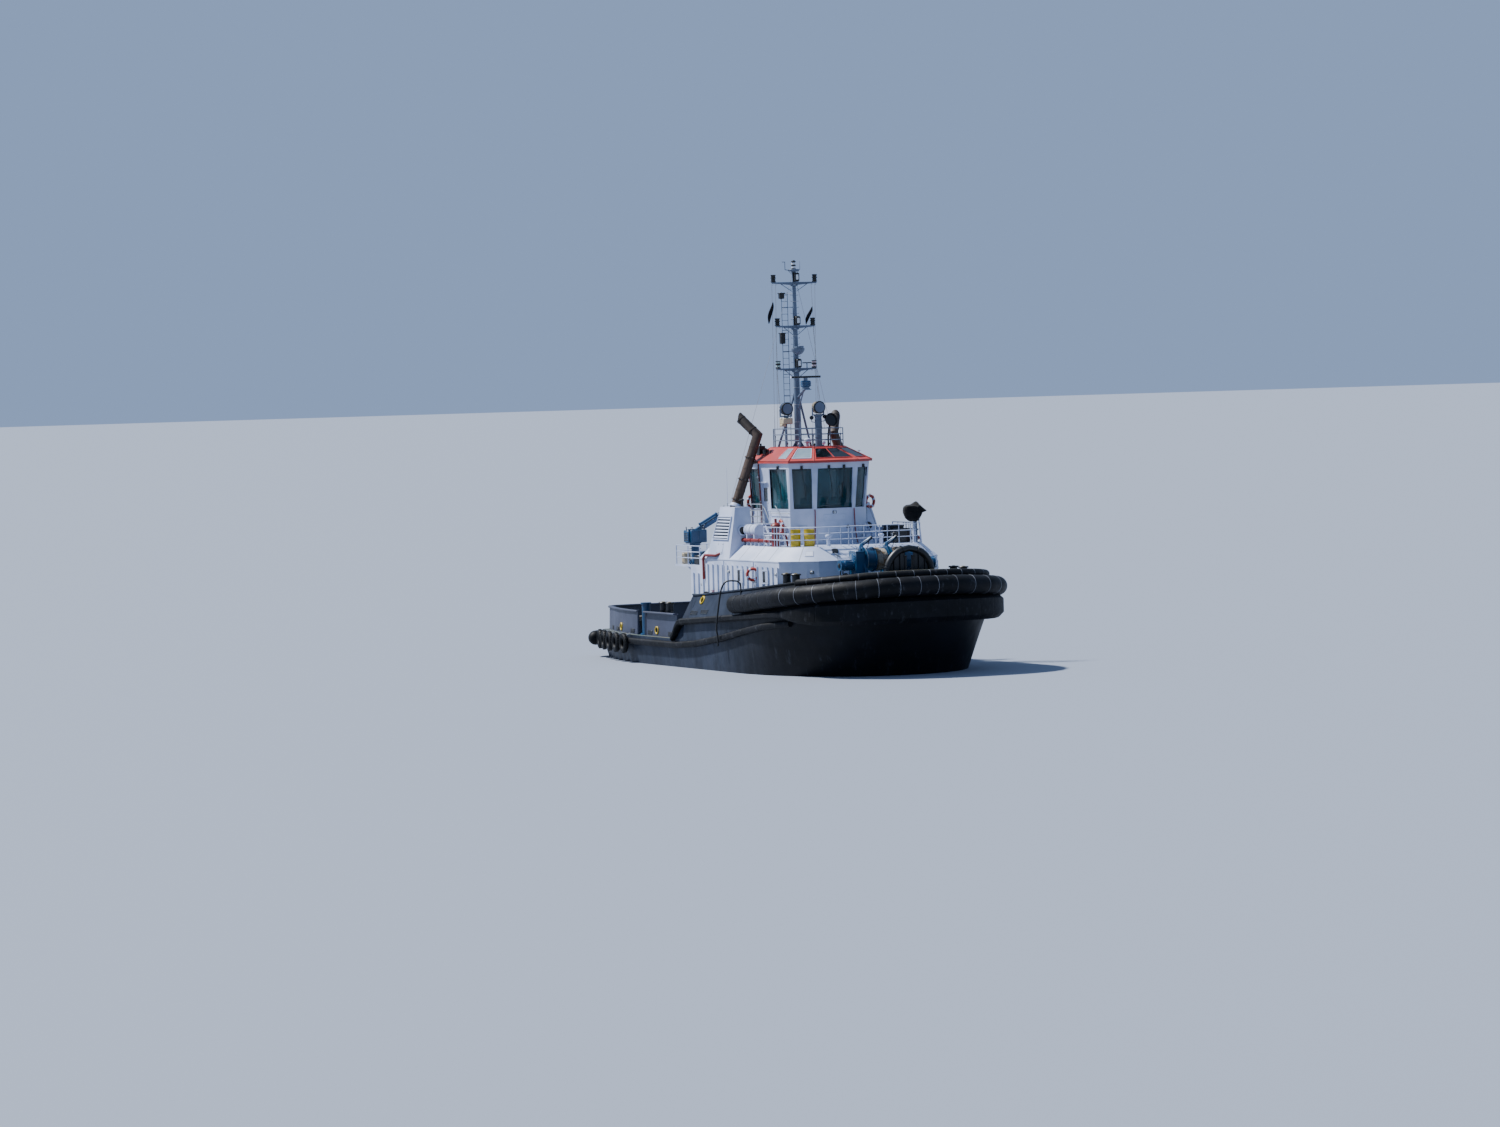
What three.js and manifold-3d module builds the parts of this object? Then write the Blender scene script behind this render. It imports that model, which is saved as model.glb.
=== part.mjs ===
// Harbour tug with two steerable thrusters, millimetres.
// +X is forward, +Y is port, +Z is up; the origin is on the centreline, amidships, at the waterline.
import * as THREE from 'three';
import * as BufferGeometryUtils from 'three/addons/utils/BufferGeometryUtils.js';
import Module from 'manifold-3d';

const wasm = await Module();
wasm.setup();

// Driving dimensions
const seat = 0.3;                 // gap between touching pieces
const mainDeckZ = 1500;           // aft working deck
const stepX = -700;               // where the forecastle deck begins
const stepRun = 260;              // length of the step between the two decks
const foreDeckZ = 2620;           // forecastle deck at the step
const foreDeckRise = 0.062;       // sheer of the forecastle deck
const bowJoinX = 8200;            // side stations end and bow stations begin here
const fenderR = 480;              // big bow fender
const fenderAftX = 5450;
const upperFenderR = 210;
const houseHalf = 4500;           // deckhouse half width
const houseAftX = -3000;
const houseSideX = 8070;
const houseFrontX = 9600;
const houseFrontHalf = 2970;
const wall = 100;                 // deckhouse wall thickness
const knuckleZ = 5700;            // top of the deckhouse walls
const bridgeDeckZ = 6380;
const shoulder = 750;             // how far the sloped shoulder runs inboard
const platformZ = 5300;           // boat deck aft of the funnels
const platformAftX = -5050;
const platformFrontX = -1800;
const sillZ = 8150;               // wheelhouse window band
const eaveZ = 10600;
const roofZ = 11400;
const cabinFloorZ = 7500;
const cabinWall = 80;
const mastX = 1200;
const winchX = 11300;
const winchZ = 5750;
const thrusterX = -11500;
const thrusterY = 2900;
const thrusterZ = -3750;
const wellZ = -2000;              // flat seat under the hull for each thruster
const craneX = -3700;
const craneY = -3900;

// Finishes
const finishes = {
  hullBlack: { color: 0x17181d, roughness: 0.55, metalness: 0.1 },
  bulwarkGrey: { color: 0x3c3d49, roughness: 0.6, metalness: 0.1 },
  rubber: { color: 0x1b1c20, roughness: 0.85, metalness: 0 },
  white: { color: 0xe6e8ee, roughness: 0.45, metalness: 0.05 },
  orange: { color: 0xd9533f, roughness: 0.5, metalness: 0.05 },
  red: { color: 0xa3312b, roughness: 0.5, metalness: 0.05 },
  blue: { color: 0x1c5f8f, roughness: 0.45, metalness: 0.2 },
  mastGrey: { color: 0x8591a5, roughness: 0.5, metalness: 0.2 },
  exhaust: { color: 0x3a2f2b, roughness: 0.8, metalness: 0.3 },
  black: { color: 0x101114, roughness: 0.6, metalness: 0.1 },
  deckGreen: { color: 0x4b5a55, roughness: 0.85, metalness: 0 },
  glass: { color: 0x3d6d74, roughness: 0.08, metalness: 0 },
  bronze: { color: 0xa98a4b, roughness: 0.35, metalness: 0.8 },
  yellow: { color: 0xd6bc22, roughness: 0.5, metalness: 0.05 },
  antifouling: { color: 0x6b2a24, roughness: 0.7, metalness: 0 },
};

const tug = new THREE.Group();
tug.name = 'tug';

function addPiece(name, geometry, finish, parent = tug) {
  const clean = geometry.clone();
  clean.computeVertexNormals();
  const mesh = new THREE.Mesh(clean, new THREE.MeshStandardMaterial(finishes[finish]));
  mesh.name = name;
  parent.add(mesh);
  return mesh;
}

// Solid helpers
function signedVolume(positions, index) {
  let volume = 0;
  const a = new THREE.Vector3();
  const b = new THREE.Vector3();
  const c = new THREE.Vector3();
  for (let i = 0; i < index.length; i += 3) {
    a.fromArray(positions, 3 * index[i]);
    b.fromArray(positions, 3 * index[i + 1]);
    c.fromArray(positions, 3 * index[i + 2]);
    volume += a.dot(b.cross(c)) / 6;
  }
  return volume;
}

function toSolid(geometry) {
  if (geometry.isManifoldSolid) return geometry.solid;
  const bare = geometry.clone();
  for (const key of Object.keys(bare.attributes)) {
    if (key !== 'position') bare.deleteAttribute(key);
  }
  const merged = BufferGeometryUtils.mergeVertices(bare, 0.01);
  const kept = [];
  const all = merged.index.array;
  for (let i = 0; i < all.length; i += 3) {
    const [a, b, c] = [all[i], all[i + 1], all[i + 2]];
    if (a !== b && b !== c && a !== c) kept.push(a, b, c);
  }
  const positions = merged.attributes.position.array;
  if (signedVolume(positions, kept) < 0) {
    for (let i = 0; i < kept.length; i += 3) {
      [kept[i + 1], kept[i + 2]] = [kept[i + 2], kept[i + 1]];
    }
  }
  return new wasm.Manifold(new wasm.Mesh({
    numProp: 3,
    vertProperties: new Float32Array(positions),
    triVerts: new Uint32Array(kept),
  }));
}

function fromSolid(solid) {
  const mesh = solid.getMesh();
  const geometry = new THREE.BufferGeometry();
  geometry.setAttribute('position', new THREE.BufferAttribute(new Float32Array(mesh.vertProperties), 3));
  geometry.setIndex(new THREE.BufferAttribute(new Uint32Array(mesh.triVerts), 1));
  return geometry;
}

function join(...parts) {
  return fromSolid(parts.map(toSolid).reduce((sum, next) => sum.add(next)));
}

function cut(body, ...tools) {
  return fromSolid(tools.map(toSolid).reduce((rest, tool) => rest.subtract(tool), toSolid(body)));
}

function keepInside(body, region) {
  return fromSolid(toSolid(body).intersect(toSolid(region)));
}

function mirrorY(geometry) {
  const copy = geometry.clone();
  copy.scale(1, -1, 1);
  return fromSolid(toSolid(copy));
}

function block(x0, x1, y0, y1, z0, z1) {
  const geometry = new THREE.BoxGeometry(x1 - x0, y1 - y0, z1 - z0);
  return geometry.translate((x0 + x1) / 2, (y0 + y1) / 2, (z0 + z1) / 2);
}

function rod(from, to, radius, sides = 12, radiusEnd = radius) {
  const start = new THREE.Vector3(...from);
  const end = new THREE.Vector3(...to);
  const geometry = new THREE.CylinderGeometry(radiusEnd, radius, start.distanceTo(end), sides);
  const turn = new THREE.Quaternion().setFromUnitVectors(
    new THREE.Vector3(0, 1, 0), end.clone().sub(start).normalize());
  geometry.applyQuaternion(turn);
  const middle = start.clone().add(end).multiplyScalar(0.5);
  return geometry.translate(middle.x, middle.y, middle.z);
}

function prism(points, z0, z1) {
  const shape = new THREE.Shape(points.map(([x, y]) => new THREE.Vector2(x, y)));
  const geometry = new THREE.ExtrudeGeometry(shape, { depth: z1 - z0, bevelEnabled: false });
  return geometry.translate(0, 0, z0);
}

// Plate with an outline in the XZ plane, as thick as y0 to y1
function plateSide(points, y0, y1) {
  const shape = new THREE.Shape(points.map(([x, z]) => new THREE.Vector2(x, z)));
  const geometry = new THREE.ExtrudeGeometry(shape, { depth: y1 - y0, bevelEnabled: false });
  geometry.rotateX(Math.PI / 2);
  return geometry.translate(0, y1, 0);
}

// Closed solid through rings of equal length, with flat fans on both ends
function loft(rings) {
  const count = rings[0].length;
  const positions = rings.flat(2);
  const index = [];
  for (let r = 0; r < rings.length - 1; r += 1) {
    for (let i = 0; i < count; i += 1) {
      const next = (i + 1) % count;
      const [a, b, c, d] = [r * count + i, r * count + next, (r + 1) * count + next, (r + 1) * count + i];
      index.push(a, b, c, a, c, d);
    }
  }
  const last = (rings.length - 1) * count;
  for (let i = 1; i < count - 1; i += 1) {
    index.push(0, i + 1, i);
    index.push(last, last + i, last + i + 1);
  }
  const geometry = new THREE.BufferGeometry();
  geometry.setAttribute('position', new THREE.Float32BufferAttribute(positions, 3));
  geometry.setIndex(index);
  return fromSolid(toSolid(geometry));
}

// Section points are [outward, up] from each path point; outward is to the right of the path in plan
function sweepPlan(path, sectionAt) {
  return loft(path.map((point, i) => {
    const before = path[Math.max(i - 1, 0)];
    const after = path[Math.min(i + 1, path.length - 1)];
    const run = new THREE.Vector2(after[0] - before[0], after[1] - before[1]).normalize();
    return sectionAt(point, i).map(([out, up]) => [
      point[0] + run.y * out, point[1] - run.x * out, point[2] + up]);
  }));
}

function circleSection(radius, sides) {
  return Array.from({ length: sides }, (_, i) => {
    const angle = (2 * Math.PI * i) / sides;
    return [radius * Math.cos(angle), radius * Math.sin(angle)];
  });
}

// Pipe with mitred corners through the given points
function mitredPipe(points, radius, sides = 8, endNormal = null) {
  const stops = points.map((p) => new THREE.Vector3(...p));
  const runs = stops.slice(1).map((p, i) => p.clone().sub(stops[i]).normalize());
  const across = Math.abs(runs[0].z) > 0.9 ? new THREE.Vector3(1, 0, 0) : new THREE.Vector3(0, 0, 1);
  const u = across.cross(runs[0]).normalize();
  const v = runs[0].clone().cross(u);
  let ring = circleSection(radius, sides).map(([a, b]) => stops[0].clone()
    .addScaledVector(u, a).addScaledVector(v, b));
  const rings = [ring];
  for (let i = 1; i < stops.length; i += 1) {
    const run = runs[i - 1];
    let normal = i < runs.length ? run.clone().add(runs[i]).normalize() : run;
    if (i === runs.length && endNormal) normal = new THREE.Vector3(...endNormal).normalize();
    ring = ring.map((p) => {
      const reach = stops[i].clone().sub(p).dot(normal) / run.dot(normal);
      return p.clone().addScaledVector(run, reach);
    });
    rings.push(ring);
  }
  return loft(rings.map((r) => r.map((p) => p.toArray())));
}

function tableAt(rows, x) {
  if (x <= rows[0][0]) return rows[0][1];
  for (let i = 1; i < rows.length; i += 1) {
    if (x <= rows[i][0]) {
      const share = (x - rows[i - 1][0]) / (rows[i][0] - rows[i - 1][0]);
      return rows[i - 1][1] + share * (rows[i][1] - rows[i - 1][1]);
    }
  }
  return rows[rows.length - 1][1];
}

// Hull lines
function foreDeckAt(x) {
  return foreDeckZ + foreDeckRise * (x - stepX);
}

function deckAt(x) {
  if (x >= stepX) return foreDeckAt(x);
  if (x <= stepX - stepRun) return mainDeckZ;
  return mainDeckZ + (foreDeckZ - mainDeckZ) * (x - stepX + stepRun) / stepRun;
}

// Heights along the hull, columns: x, z
const keelZ = [[-13400, -1350], [-9000, -2300], [-3000, -3800], [2000, -4050], [9000, -4050], [11400, -3500]];
const bottomZ = [[-13600, -1250], [-9000, -2150], [-3000, -3550], [2000, -3800], [9000, -3700], [11800,
  -3000]];
const chineZ = [[-14200, -700], [-9000, -1400], [-3000, -1900], [5000, -2000], [12800, -1300]];
const strakeZ = [[-15500, 1180], [-1750, 1180], [700, 1340], [4000, 1730], [7000, 2200], [9100, 2500],
  [12100, 2780], [15000, 2950]];

// Levels from keel to deck edge: half width at the stern, amidships and the bow curve's end and power
const levels = [
  { sternX: -13400, sternHalf: 250, corner: 100, fullX: -9000, half: 250, bowX: 4000, tipX: 11400,
    power: 1.6, z: (x) => tableAt(keelZ, x) },
  { sternX: -13600, sternHalf: 3000, corner: 500, fullX: -6000, half: 3700, bowX: 1500, tipX: 11800,
    power: 1.6, z: (x) => tableAt(bottomZ, x) },
  { sternX: -14200, sternHalf: 4000, corner: 700, fullX: -6500, half: 5400, bowX: 3000, tipX: 12800,
    power: 1.85, z: (x) => tableAt(chineZ, x) },
  { sternX: -14900, sternHalf: 4300, corner: 900, fullX: -6500, half: 5800, bowX: 5500, tipX: 14100,
    power: 2.15, z: () => 0 },
  { sternX: -15500, sternHalf: 4450, corner: 1100, fullX: -6500, half: 5950, bowX: 8000, tipX: 14950,
    power: 2.4, z: (x) => tableAt(strakeZ, x) },
  { sternX: -15500, sternHalf: 4450, corner: 1100, fullX: -6500, half: 5950, bowX: 9200, tipX: 15250,
    power: 2.5, z: deckAt },
];
const sideStations = [-12600, -10500, -8500, -6500, -4500, -2500, stepX - stepRun, stepX, 1500, 4000,
  6300, bowJoinX];
const bowSteps = 12;
const cornerSteps = 4;

function halfWidth(line, x, grow = 0) {
  const { sternX, sternHalf, fullX, half, bowX, power } = line;
  const tipX = line.tipX + grow;
  if (x >= tipX) return 0;
  if (x > bowX) {
    const share = (x - bowX) / (tipX - bowX);
    return (half + grow) * (1 - share ** power) ** (1 / power);
  }
  if (x < fullX) return half + grow - (half - sternHalf) * ((fullX - x) / (fullX - sternX)) ** 2;
  return half + grow;
}

function bowXs(fromX, tipX, steps) {
  return Array.from({ length: steps }, (_,
    k) => fromX + (tipX - fromX) * Math.sin((Math.PI / 2) * (k + 1) / steps));
}

// Plan outline of one level from the stern corner to the stem, port side
function halfOutline(line, grow = 0) {
  const sternX = line.sternX - grow;
  const cornerEnd = halfWidth(line, sternX + line.corner, grow);
  const points = [];
  for (let k = 0; k <= cornerSteps; k += 1) {
    const angle = (Math.PI / 2) * k / cornerSteps;
    points.push([sternX + line.corner * (1 - Math.cos(angle)),
      cornerEnd - line.corner * (1 - Math.sin(angle))]);
  }
  for (const x of sideStations) points.push([x, halfWidth(line, x, grow)]);
  for (const x of bowXs(bowJoinX, line.tipX + grow, bowSteps)) points.push([x, halfWidth(line, x, grow)]);
  return points;
}

// Both sides of the hull as one closed body; grow swells it for cutting its neighbours
function hullBody(grow) {
  const rings = levels.map((line, j) => halfOutline(line, grow).map(([x, y]) => {
    const lift = j === levels.length - 1 ? grow : 0;
    return [x, y, line.z(x) + lift - (j === 0 ? grow : 0)];
  }));
  const count = rings[0].length;
  const positions = [];
  for (const ring of rings) {
    for (const [x, y, z] of ring) positions.push(x, y, z);
    for (const [x, y, z] of ring) positions.push(x, -y, z);
  }
  const at = (j, i, side) => (2 * j + side) * count + i;
  const index = [];
  const quad = (a, b, c, d) => index.push(a, b, c, a, c, d);
  for (let j = 0; j < rings.length - 1; j += 1) {
    for (let i = 0; i < count - 1; i += 1) {
      quad(at(j, i, 1), at(j, i + 1, 1), at(j + 1, i + 1, 1), at(j + 1, i, 1));
      quad(at(j, i + 1, 0), at(j, i, 0), at(j + 1, i, 0), at(j + 1, i + 1, 0));
    }
    quad(at(j, 0, 0), at(j, 0, 1), at(j + 1, 0, 1), at(j + 1, 0, 0));
  }
  const top = rings.length - 1;
  for (let i = 0; i < count - 1; i += 1) {
    quad(at(0, i, 0), at(0, i + 1, 0), at(0, i + 1, 1), at(0, i, 1));
    quad(at(top, i, 1), at(top, i + 1, 1), at(top, i + 1, 0), at(top, i, 0));
  }
  const geometry = new THREE.BufferGeometry();
  geometry.setAttribute('position', new THREE.Float32BufferAttribute(positions, 3));
  geometry.setIndex(index);
  return fromSolid(toSolid(geometry));
}

// Flat pad on a deck, for cargo or a fitting
const padHalf = 300;
const padHeight = 20;
function pad(x, y, z) {
  return block(x - padHalf, x + padHalf, y - padHalf, y + padHalf, z - 10, z + padHeight);
}

const hullEnvelope = hullBody(seat);
const wells = [-1, 1].map((side) => rod(
  [thrusterX, side * thrusterY, wellZ], [thrusterX, side * thrusterY, -900], 750, 24));
const skeg = plateSide([[-9200, -1500], [-8700, -4300], [-1500, -4350], [1500, -3900], [1500, -1500]],
  -160, 160);
const aftPad = pad(-11000, 900, mainDeckZ);
addPiece('hull', join(hullBody(0), skeg, ...wells, aftPad), 'hullBlack');

// Path from the starboard side round the bow to port
function bowPath(line, fromX, steps, zAt, joinX = bowJoinX, bends = bowSteps) {
  const xs = [];
  for (let k = 0; k < steps; k += 1) xs.push(fromX + (joinX - fromX) * k / steps);
  xs.push(joinX);
  xs.push(...bowXs(joinX, line.tipX, bends));
  const half = xs.map((x) => [x, halfWidth(line, x), zAt(x)]);
  const starboard = half.slice(0, -1).map(([x, y, z]) => [x, -y, z]);
  return [...starboard, ...half.reverse()];
}

// Heights of the big bow fender's centre and of the forecastle bulwark's top, columns: x, z
const fenderZ = [[-700, 3120], [6900, 3600], [11100, 4020], [13500, 4230], [15200, 4420], [15700, 4520]];
const bulwarkTopZ = [[-700, 3800], [6900, 4360], [11100, 4720], [13500, 5030], [15200, 5260]];

const fenderLine = { sternX: -15000, sternHalf: 4000, fullX: -6500, half: 5975, bowX: 9600, tipX: 15700,
  power: 2.55 };
const bulwarkFoot = { ...fenderLine, half: 5700, bowX: 9300, tipX: 15080, power: 2.5 };
const bulwarkMid = { ...fenderLine, half: 5480, tipX: 15190 };
const bulwarkTop = { ...fenderLine, half: 5150, tipX: 14850 };
const upperFenderLine = { ...fenderLine, half: 5400, tipX: 15130 };

// Forecastle bulwark: outer foot, outer knuckle, outer top, then the same inside
const bulwarkPlate = 60;
function forecastleBulwark(grow, thick) {
  const xs = [stepX, 2500, fenderAftX, 9000];
  const share = Array.from({ length: bowSteps }, (_, k) => Math.sin((Math.PI / 2) * (k + 1) / bowSteps));
  const rows = [
    { line: bulwarkFoot, z: (x) => foreDeckAt(x) + seat, inset: -grow },
    { line: bulwarkMid, z: (x) => tableAt(fenderZ, x), inset: -grow },
    { line: bulwarkTop, z: (x) => tableAt(bulwarkTopZ, x), inset: -grow },
    { line: bulwarkTop, z: (x) => tableAt(bulwarkTopZ, x), inset: thick },
    { line: bulwarkMid, z: (x) => tableAt(fenderZ, x), inset: thick },
    { line: bulwarkFoot, z: (x) => foreDeckAt(x) + seat, inset: thick },
  ];
  const stations = [...xs.map((x) => ({ x })), ...share.map((s) => ({ s }))];
  const half = stations.map(({ x, s }) => rows.map(({ line, z, inset }) => {
    const inner = { ...line, half: line.half - inset, tipX: line.tipX - inset };
    const px = s === undefined ? x : 9000 + (inner.tipX - 9000) * s;
    return [px, halfWidth(inner, px), z(px)];
  }));
  const starboard = half.slice(0, -1).map((ring) => ring.map(([x, y, z]) => [x, -y, z]));
  return loft([...starboard, ...half.reverse()]);
}
const bulwarkEnvelope = forecastleBulwark(1, 700);

// Wings that carry the bulwark down to the main deck, columns: aft x, front x, z, y of the outer face
const wingRows = [
  [-2450, stepX - seat, mainDeckZ + seat, 5930],
  [-1500, stepX - seat, 2640, 5700],
  [-1400, stepX - seat, 3120, 5480],
  [-1300, stepX - seat, 3800, 5150],
];
function wing(side, grow, thick) {
  const face = (offset) => {
    const edge = (rows, k) => rows.map((row) => [row[k], side * (row[3] + offset), row[2]]);
    return [...edge(wingRows, 1), ...edge([...wingRows].reverse(), 0)];
  };
  const rings = [face(grow), face(-thick)];
  return loft(side < 0 ? rings : rings.reverse());
}
// A short overlap ties each wing to the bulwark ahead of it
const wingTies = [-1, 1].map((side) => loft([stepX - 20, stepX + 20].map((x) => [[5480, 3150], [5180,
  3740], [5120, 3740],
  [5420, 3150]].map(([y, z]) => [x, side * y, z]))));
const wings = cut(join(wing(-1, 0, bulwarkPlate), wing(1, 0, bulwarkPlate)), hullEnvelope);
addPiece('forecastle_bulwark', cut(join(forecastleBulwark(0, bulwarkPlate), wings, ...wingTies),
  rod([250, -6200, 3560], [250, -5000, 3560], 150, 14), rod([250, 5000, 3560], [250, 6200, 3560], 150,
    14)), 'hullBlack');

// Big round bow fender, domed at both ends
const fenderPath = bowPath(fenderLine, fenderAftX, 2, (x) => tableAt(fenderZ, x), 9000);
const domeShare = [0.35, 0.75, 0.94];
function domedPath(path, radius) {
  const first = path[0];
  const last = path[path.length - 1];
  const steps = [0.04, 0.35, 0.75];
  const start = steps.map((s, i) => ({ p: [first[0] + s * radius, first[1], first[2]],
    share: domeShare[i] }));
  const end = steps.map((s, i) => ({ p: [last[0] + s * radius, last[1], last[2]],
    share: domeShare[i] })).reverse();
  const middle = path.slice(1, -1).map((p) => ({ p, share: 1 }));
  return [...start, { p: [first[0] + 1.3 * radius, first[1], first[2] + 25], share: 1 }, ...middle,
    { p: [last[0] + 1.3 * radius, last[1], last[2] + 25], share: 1 }, ...end];
}
function domedFender(path, radius, sides) {
  const stops = domedPath(path, radius);
  return sweepPlan(stops.map((s) => s.p), (p, i) => circleSection(radius * stops[i].share, sides));
}
addPiece('bow_fender', cut(domedFender(fenderPath, fenderR, 12), bulwarkEnvelope), 'rubber');

const upperFenderPath = bowPath(upperFenderLine, 11600, 1, (x) => tableAt(fenderZ, x) + 650, 12000, 9);
addPiece('bow_fender_upper', cut(domedFender(upperFenderPath, upperFenderR, 8), bulwarkEnvelope), 'rubber');

// Block fender under the big one, round the front of the bow
const hullTopLine = levels[levels.length - 1];
const blockAftX = 11200;
const blockFullX = 14700;
const blockPath = bowPath(hullTopLine, blockAftX, 3, (x) => foreDeckAt(x), 13200, 7);
// Its section swells from the strake's to its full size at the stem, columns: out, up
const blockStart = [[-300, -365], [150, -350], [255, -265], [255, -85], [180, 10], [20, 14], [20, 10],
  [-300, -100]];
const blockSection = [[-300, -950], [400, -930], [640, -680], [640, 150], [440, 330], [20, 330], [20,
  10], [-300, -100]];
const blockFender = sweepPlan(blockPath, ([x]) => {
  const share = Math.sin((Math.PI / 2) * Math.min(Math.max((x - blockAftX) / (blockFullX - blockAftX),
    0), 1));
  return blockSection.map(([out, up], k) => [
    blockStart[k][0] + (out - blockStart[k][0]) * share, blockStart[k][1] + (up - blockStart[k][1]) * share]);
});

// Aft bulwark with a gap for the side posts
const aftBulwarkTopZ = 2760;
const aftInset = 300;
const aftLine = { ...hullTopLine, sternX: hullTopLine.sternX + 350, half: hullTopLine.half - aftInset,
  sternHalf: hullTopLine.sternHalf - aftInset };
function aftPath() {
  const side = halfOutline(aftLine).slice(0, cornerSteps + 7);
  const port = side.map(([x, y]) => [x, y, mainDeckZ + seat]);
  const starboard = side.map(([x, y]) => [x, -y, mainDeckZ + seat]);
  return [...port.reverse(), ...starboard];
}
const aftHeight = aftBulwarkTopZ - mainDeckZ;
const aftSection = [[0, 0], [-40, aftHeight], [-40 - bulwarkPlate, aftHeight], [-bulwarkPlate, 0]];
const aftRail = [[40, aftHeight - 60], [40, aftHeight], [-150, aftHeight], [-150, aftHeight - 60]];
const postX = -7150;
const postGap = 560;
const aftBulwark = join(sweepPlan(aftPath(), () => aftSection), sweepPlan(aftPath(), () => aftRail));
const aftHoles = [-5080, -10740].flatMap((x) => [-1, 1].map((side) => rod(
  [x, side * 4600, 1820], [x, side * 6200, 1820], 150, 14)));
const aftWithHoles = cut(aftBulwark, ...aftHoles);
const aftPieces = {
  stern_bulwark: block(-17000, postX - postGap, -7000, 7000, 1000, 3500),
  side_bulwark_starboard: block(postX + postGap, 0, -7000, 0, 1000, 3500),
  side_bulwark_port: block(postX + postGap, 0, 0, 7000, 1000, 3500),
};
for (const [name, region] of Object.entries(aftPieces)) {
  addPiece(name, keepInside(aftWithHoles, region), 'bulwarkGrey');
}
for (const [side, label] of [[-1, 'starboard'], [1, 'port']]) {
  const foot = [postX, side * 5350, mainDeckZ + seat];
  const collar = rod(foot, [postX, side * 5350, mainDeckZ + 80], 330, 20);
  const post = rod(foot, [postX, side * 5350, 3150], 230, 20);
  const cap = rod([postX, side * 5350, 3140], [postX, side * 5350, 3230], 290, 20);
  addPiece(`side_post_${label}`, join(collar, post, cap), 'blue');
}

// Side strakes with tyres hung over the lower ones
function sidePath(line, xs, zAt, side) {
  const path = xs.map((x) => [x, side * halfWidth(line, x), zAt(x)]);
  return side < 0 ? path : path.reverse();
}
const strakeSection = [[-120, -170], [150, -170], [250, -90], [250, 90], [150, 170], [-120, 170]];
const lowerXs = [-14300, ...sideStations.slice(0, -1), 8200, 9500, 10500, 11450];
// Strake height down the wing, columns: x, z
const wingStrakeZ = [[-2150, 1545], [-1850, 1780], [-1550, 2130], [-1300, 2340], [-1050, 2420], [stepX,
  2445]];
const upperXs = [-2150, -1850, -1550, -1300, -1050, stepX, 1500, 4000, 6300, 8200, 9500, 10700, 11700,
  12600, 13300];
const strakeLine = levels[4];
const tyreXs = [-13700, -12350, -11000, -9650, -8300];
for (const [side, label] of [[-1, 'starboard'], [1, 'port']]) {
  const tyres = tyreXs.map((x) => {
    const torus = new THREE.TorusGeometry(390, 150, 6, 12);
    torus.rotateX(Math.PI / 2);
    const slope = (halfWidth(strakeLine, x + 300) - halfWidth(strakeLine, x - 300)) / 600;
    torus.rotateZ(side * Math.atan(slope));
    return torus.translate(x, side * (halfWidth(strakeLine, x) + 330), tableAt(strakeZ, x) - 130);
  });
  const lower = sweepPlan(sidePath(strakeLine, lowerXs, (x) => tableAt(strakeZ, x), side),
    () => strakeSection);
  addPiece(`lower_strake_${label}`, cut(join(lower, ...tyres), hullEnvelope), 'rubber');
}
const wingSection = strakeSection.map(([out, up]) => [out < 0 ? -320 : out, up]);
const upperStrakes = [-1, 1].map((side) => sweepPlan(
  sidePath(hullTopLine, upperXs, (x) => (x < stepX ? tableAt(wingStrakeZ, x) : foreDeckAt(x) - 175), side),
  ([x]) => (x <= stepX ? wingSection : strakeSection)));
const wingEnvelope = join(wing(-1, seat, 900), wing(1, seat, 900));
const fenderEnvelope = domedFender(fenderPath, fenderR + 2, 12);
addPiece('upper_strake', cut(join(blockFender, ...upperStrakes), hullEnvelope, fenderEnvelope,
  wingEnvelope), 'rubber');

// Stern fender round the transom and its corners
const sternLine = levels[4];
function sternPath() {
  const out = halfOutline({ ...sternLine, sternX: sternLine.sternX - 330, half: sternLine.half + 330,
    sternHalf: sternLine.sternHalf + 330, corner: sternLine.corner + 330 });
  const corner = out.slice(0, cornerSteps + 1).map(([x, y]) => [x, y, 1050]);
  return [...[...corner].reverse(), ...corner.map(([x, y, z]) => [x, -y, z])];
}
const sternFender = sweepPlan(sternPath(), () => circleSection(390, 14));
addPiece('stern_fender', cut(sternFender, hullEnvelope,
  ...[-1, 1].map((side) => block(-14600, -13000, side < 0 ? -7000 : 4300, side < 0 ? -4300 : 7000, 0,
    2000))), 'rubber');

// Deckhouse
function housePlan(inset, aftX = houseAftX) {
  const half = houseHalf - inset;
  const front = houseFrontX - inset;
  const corner = houseSideX - 0.4 * inset;
  const frontHalf = houseFrontHalf - 0.4 * inset;
  return [[aftX, -half], [corner, -half], [front, -frontHalf], [front, frontHalf], [corner, half], [aftX,
    half]];
}
const doorW = 760;
const doorH = 1900;
const doorSill = 250;
const aftDoorYs = [-2600, 2600];
const doorClear = 6;
const hingeR = 14;
const houseDoorCuts = aftDoorYs.map((y) => block(houseAftX - 300, houseAftX + 300, y - doorW / 2,
  y + doorW / 2,
  mainDeckZ + doorSill, mainDeckZ + doorSill + doorH));
const houseWalls = cut(
  prism(housePlan(0), 1000, knuckleZ),
  prism(housePlan(wall, houseAftX + wall), 900, knuckleZ + 10),
  block(houseAftX - 100, platformFrontX, -5000, 5000, platformZ - 100, knuckleZ + 10),
  hullEnvelope, ...houseDoorCuts);
addPiece('deckhouse', houseWalls, 'white');
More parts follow.
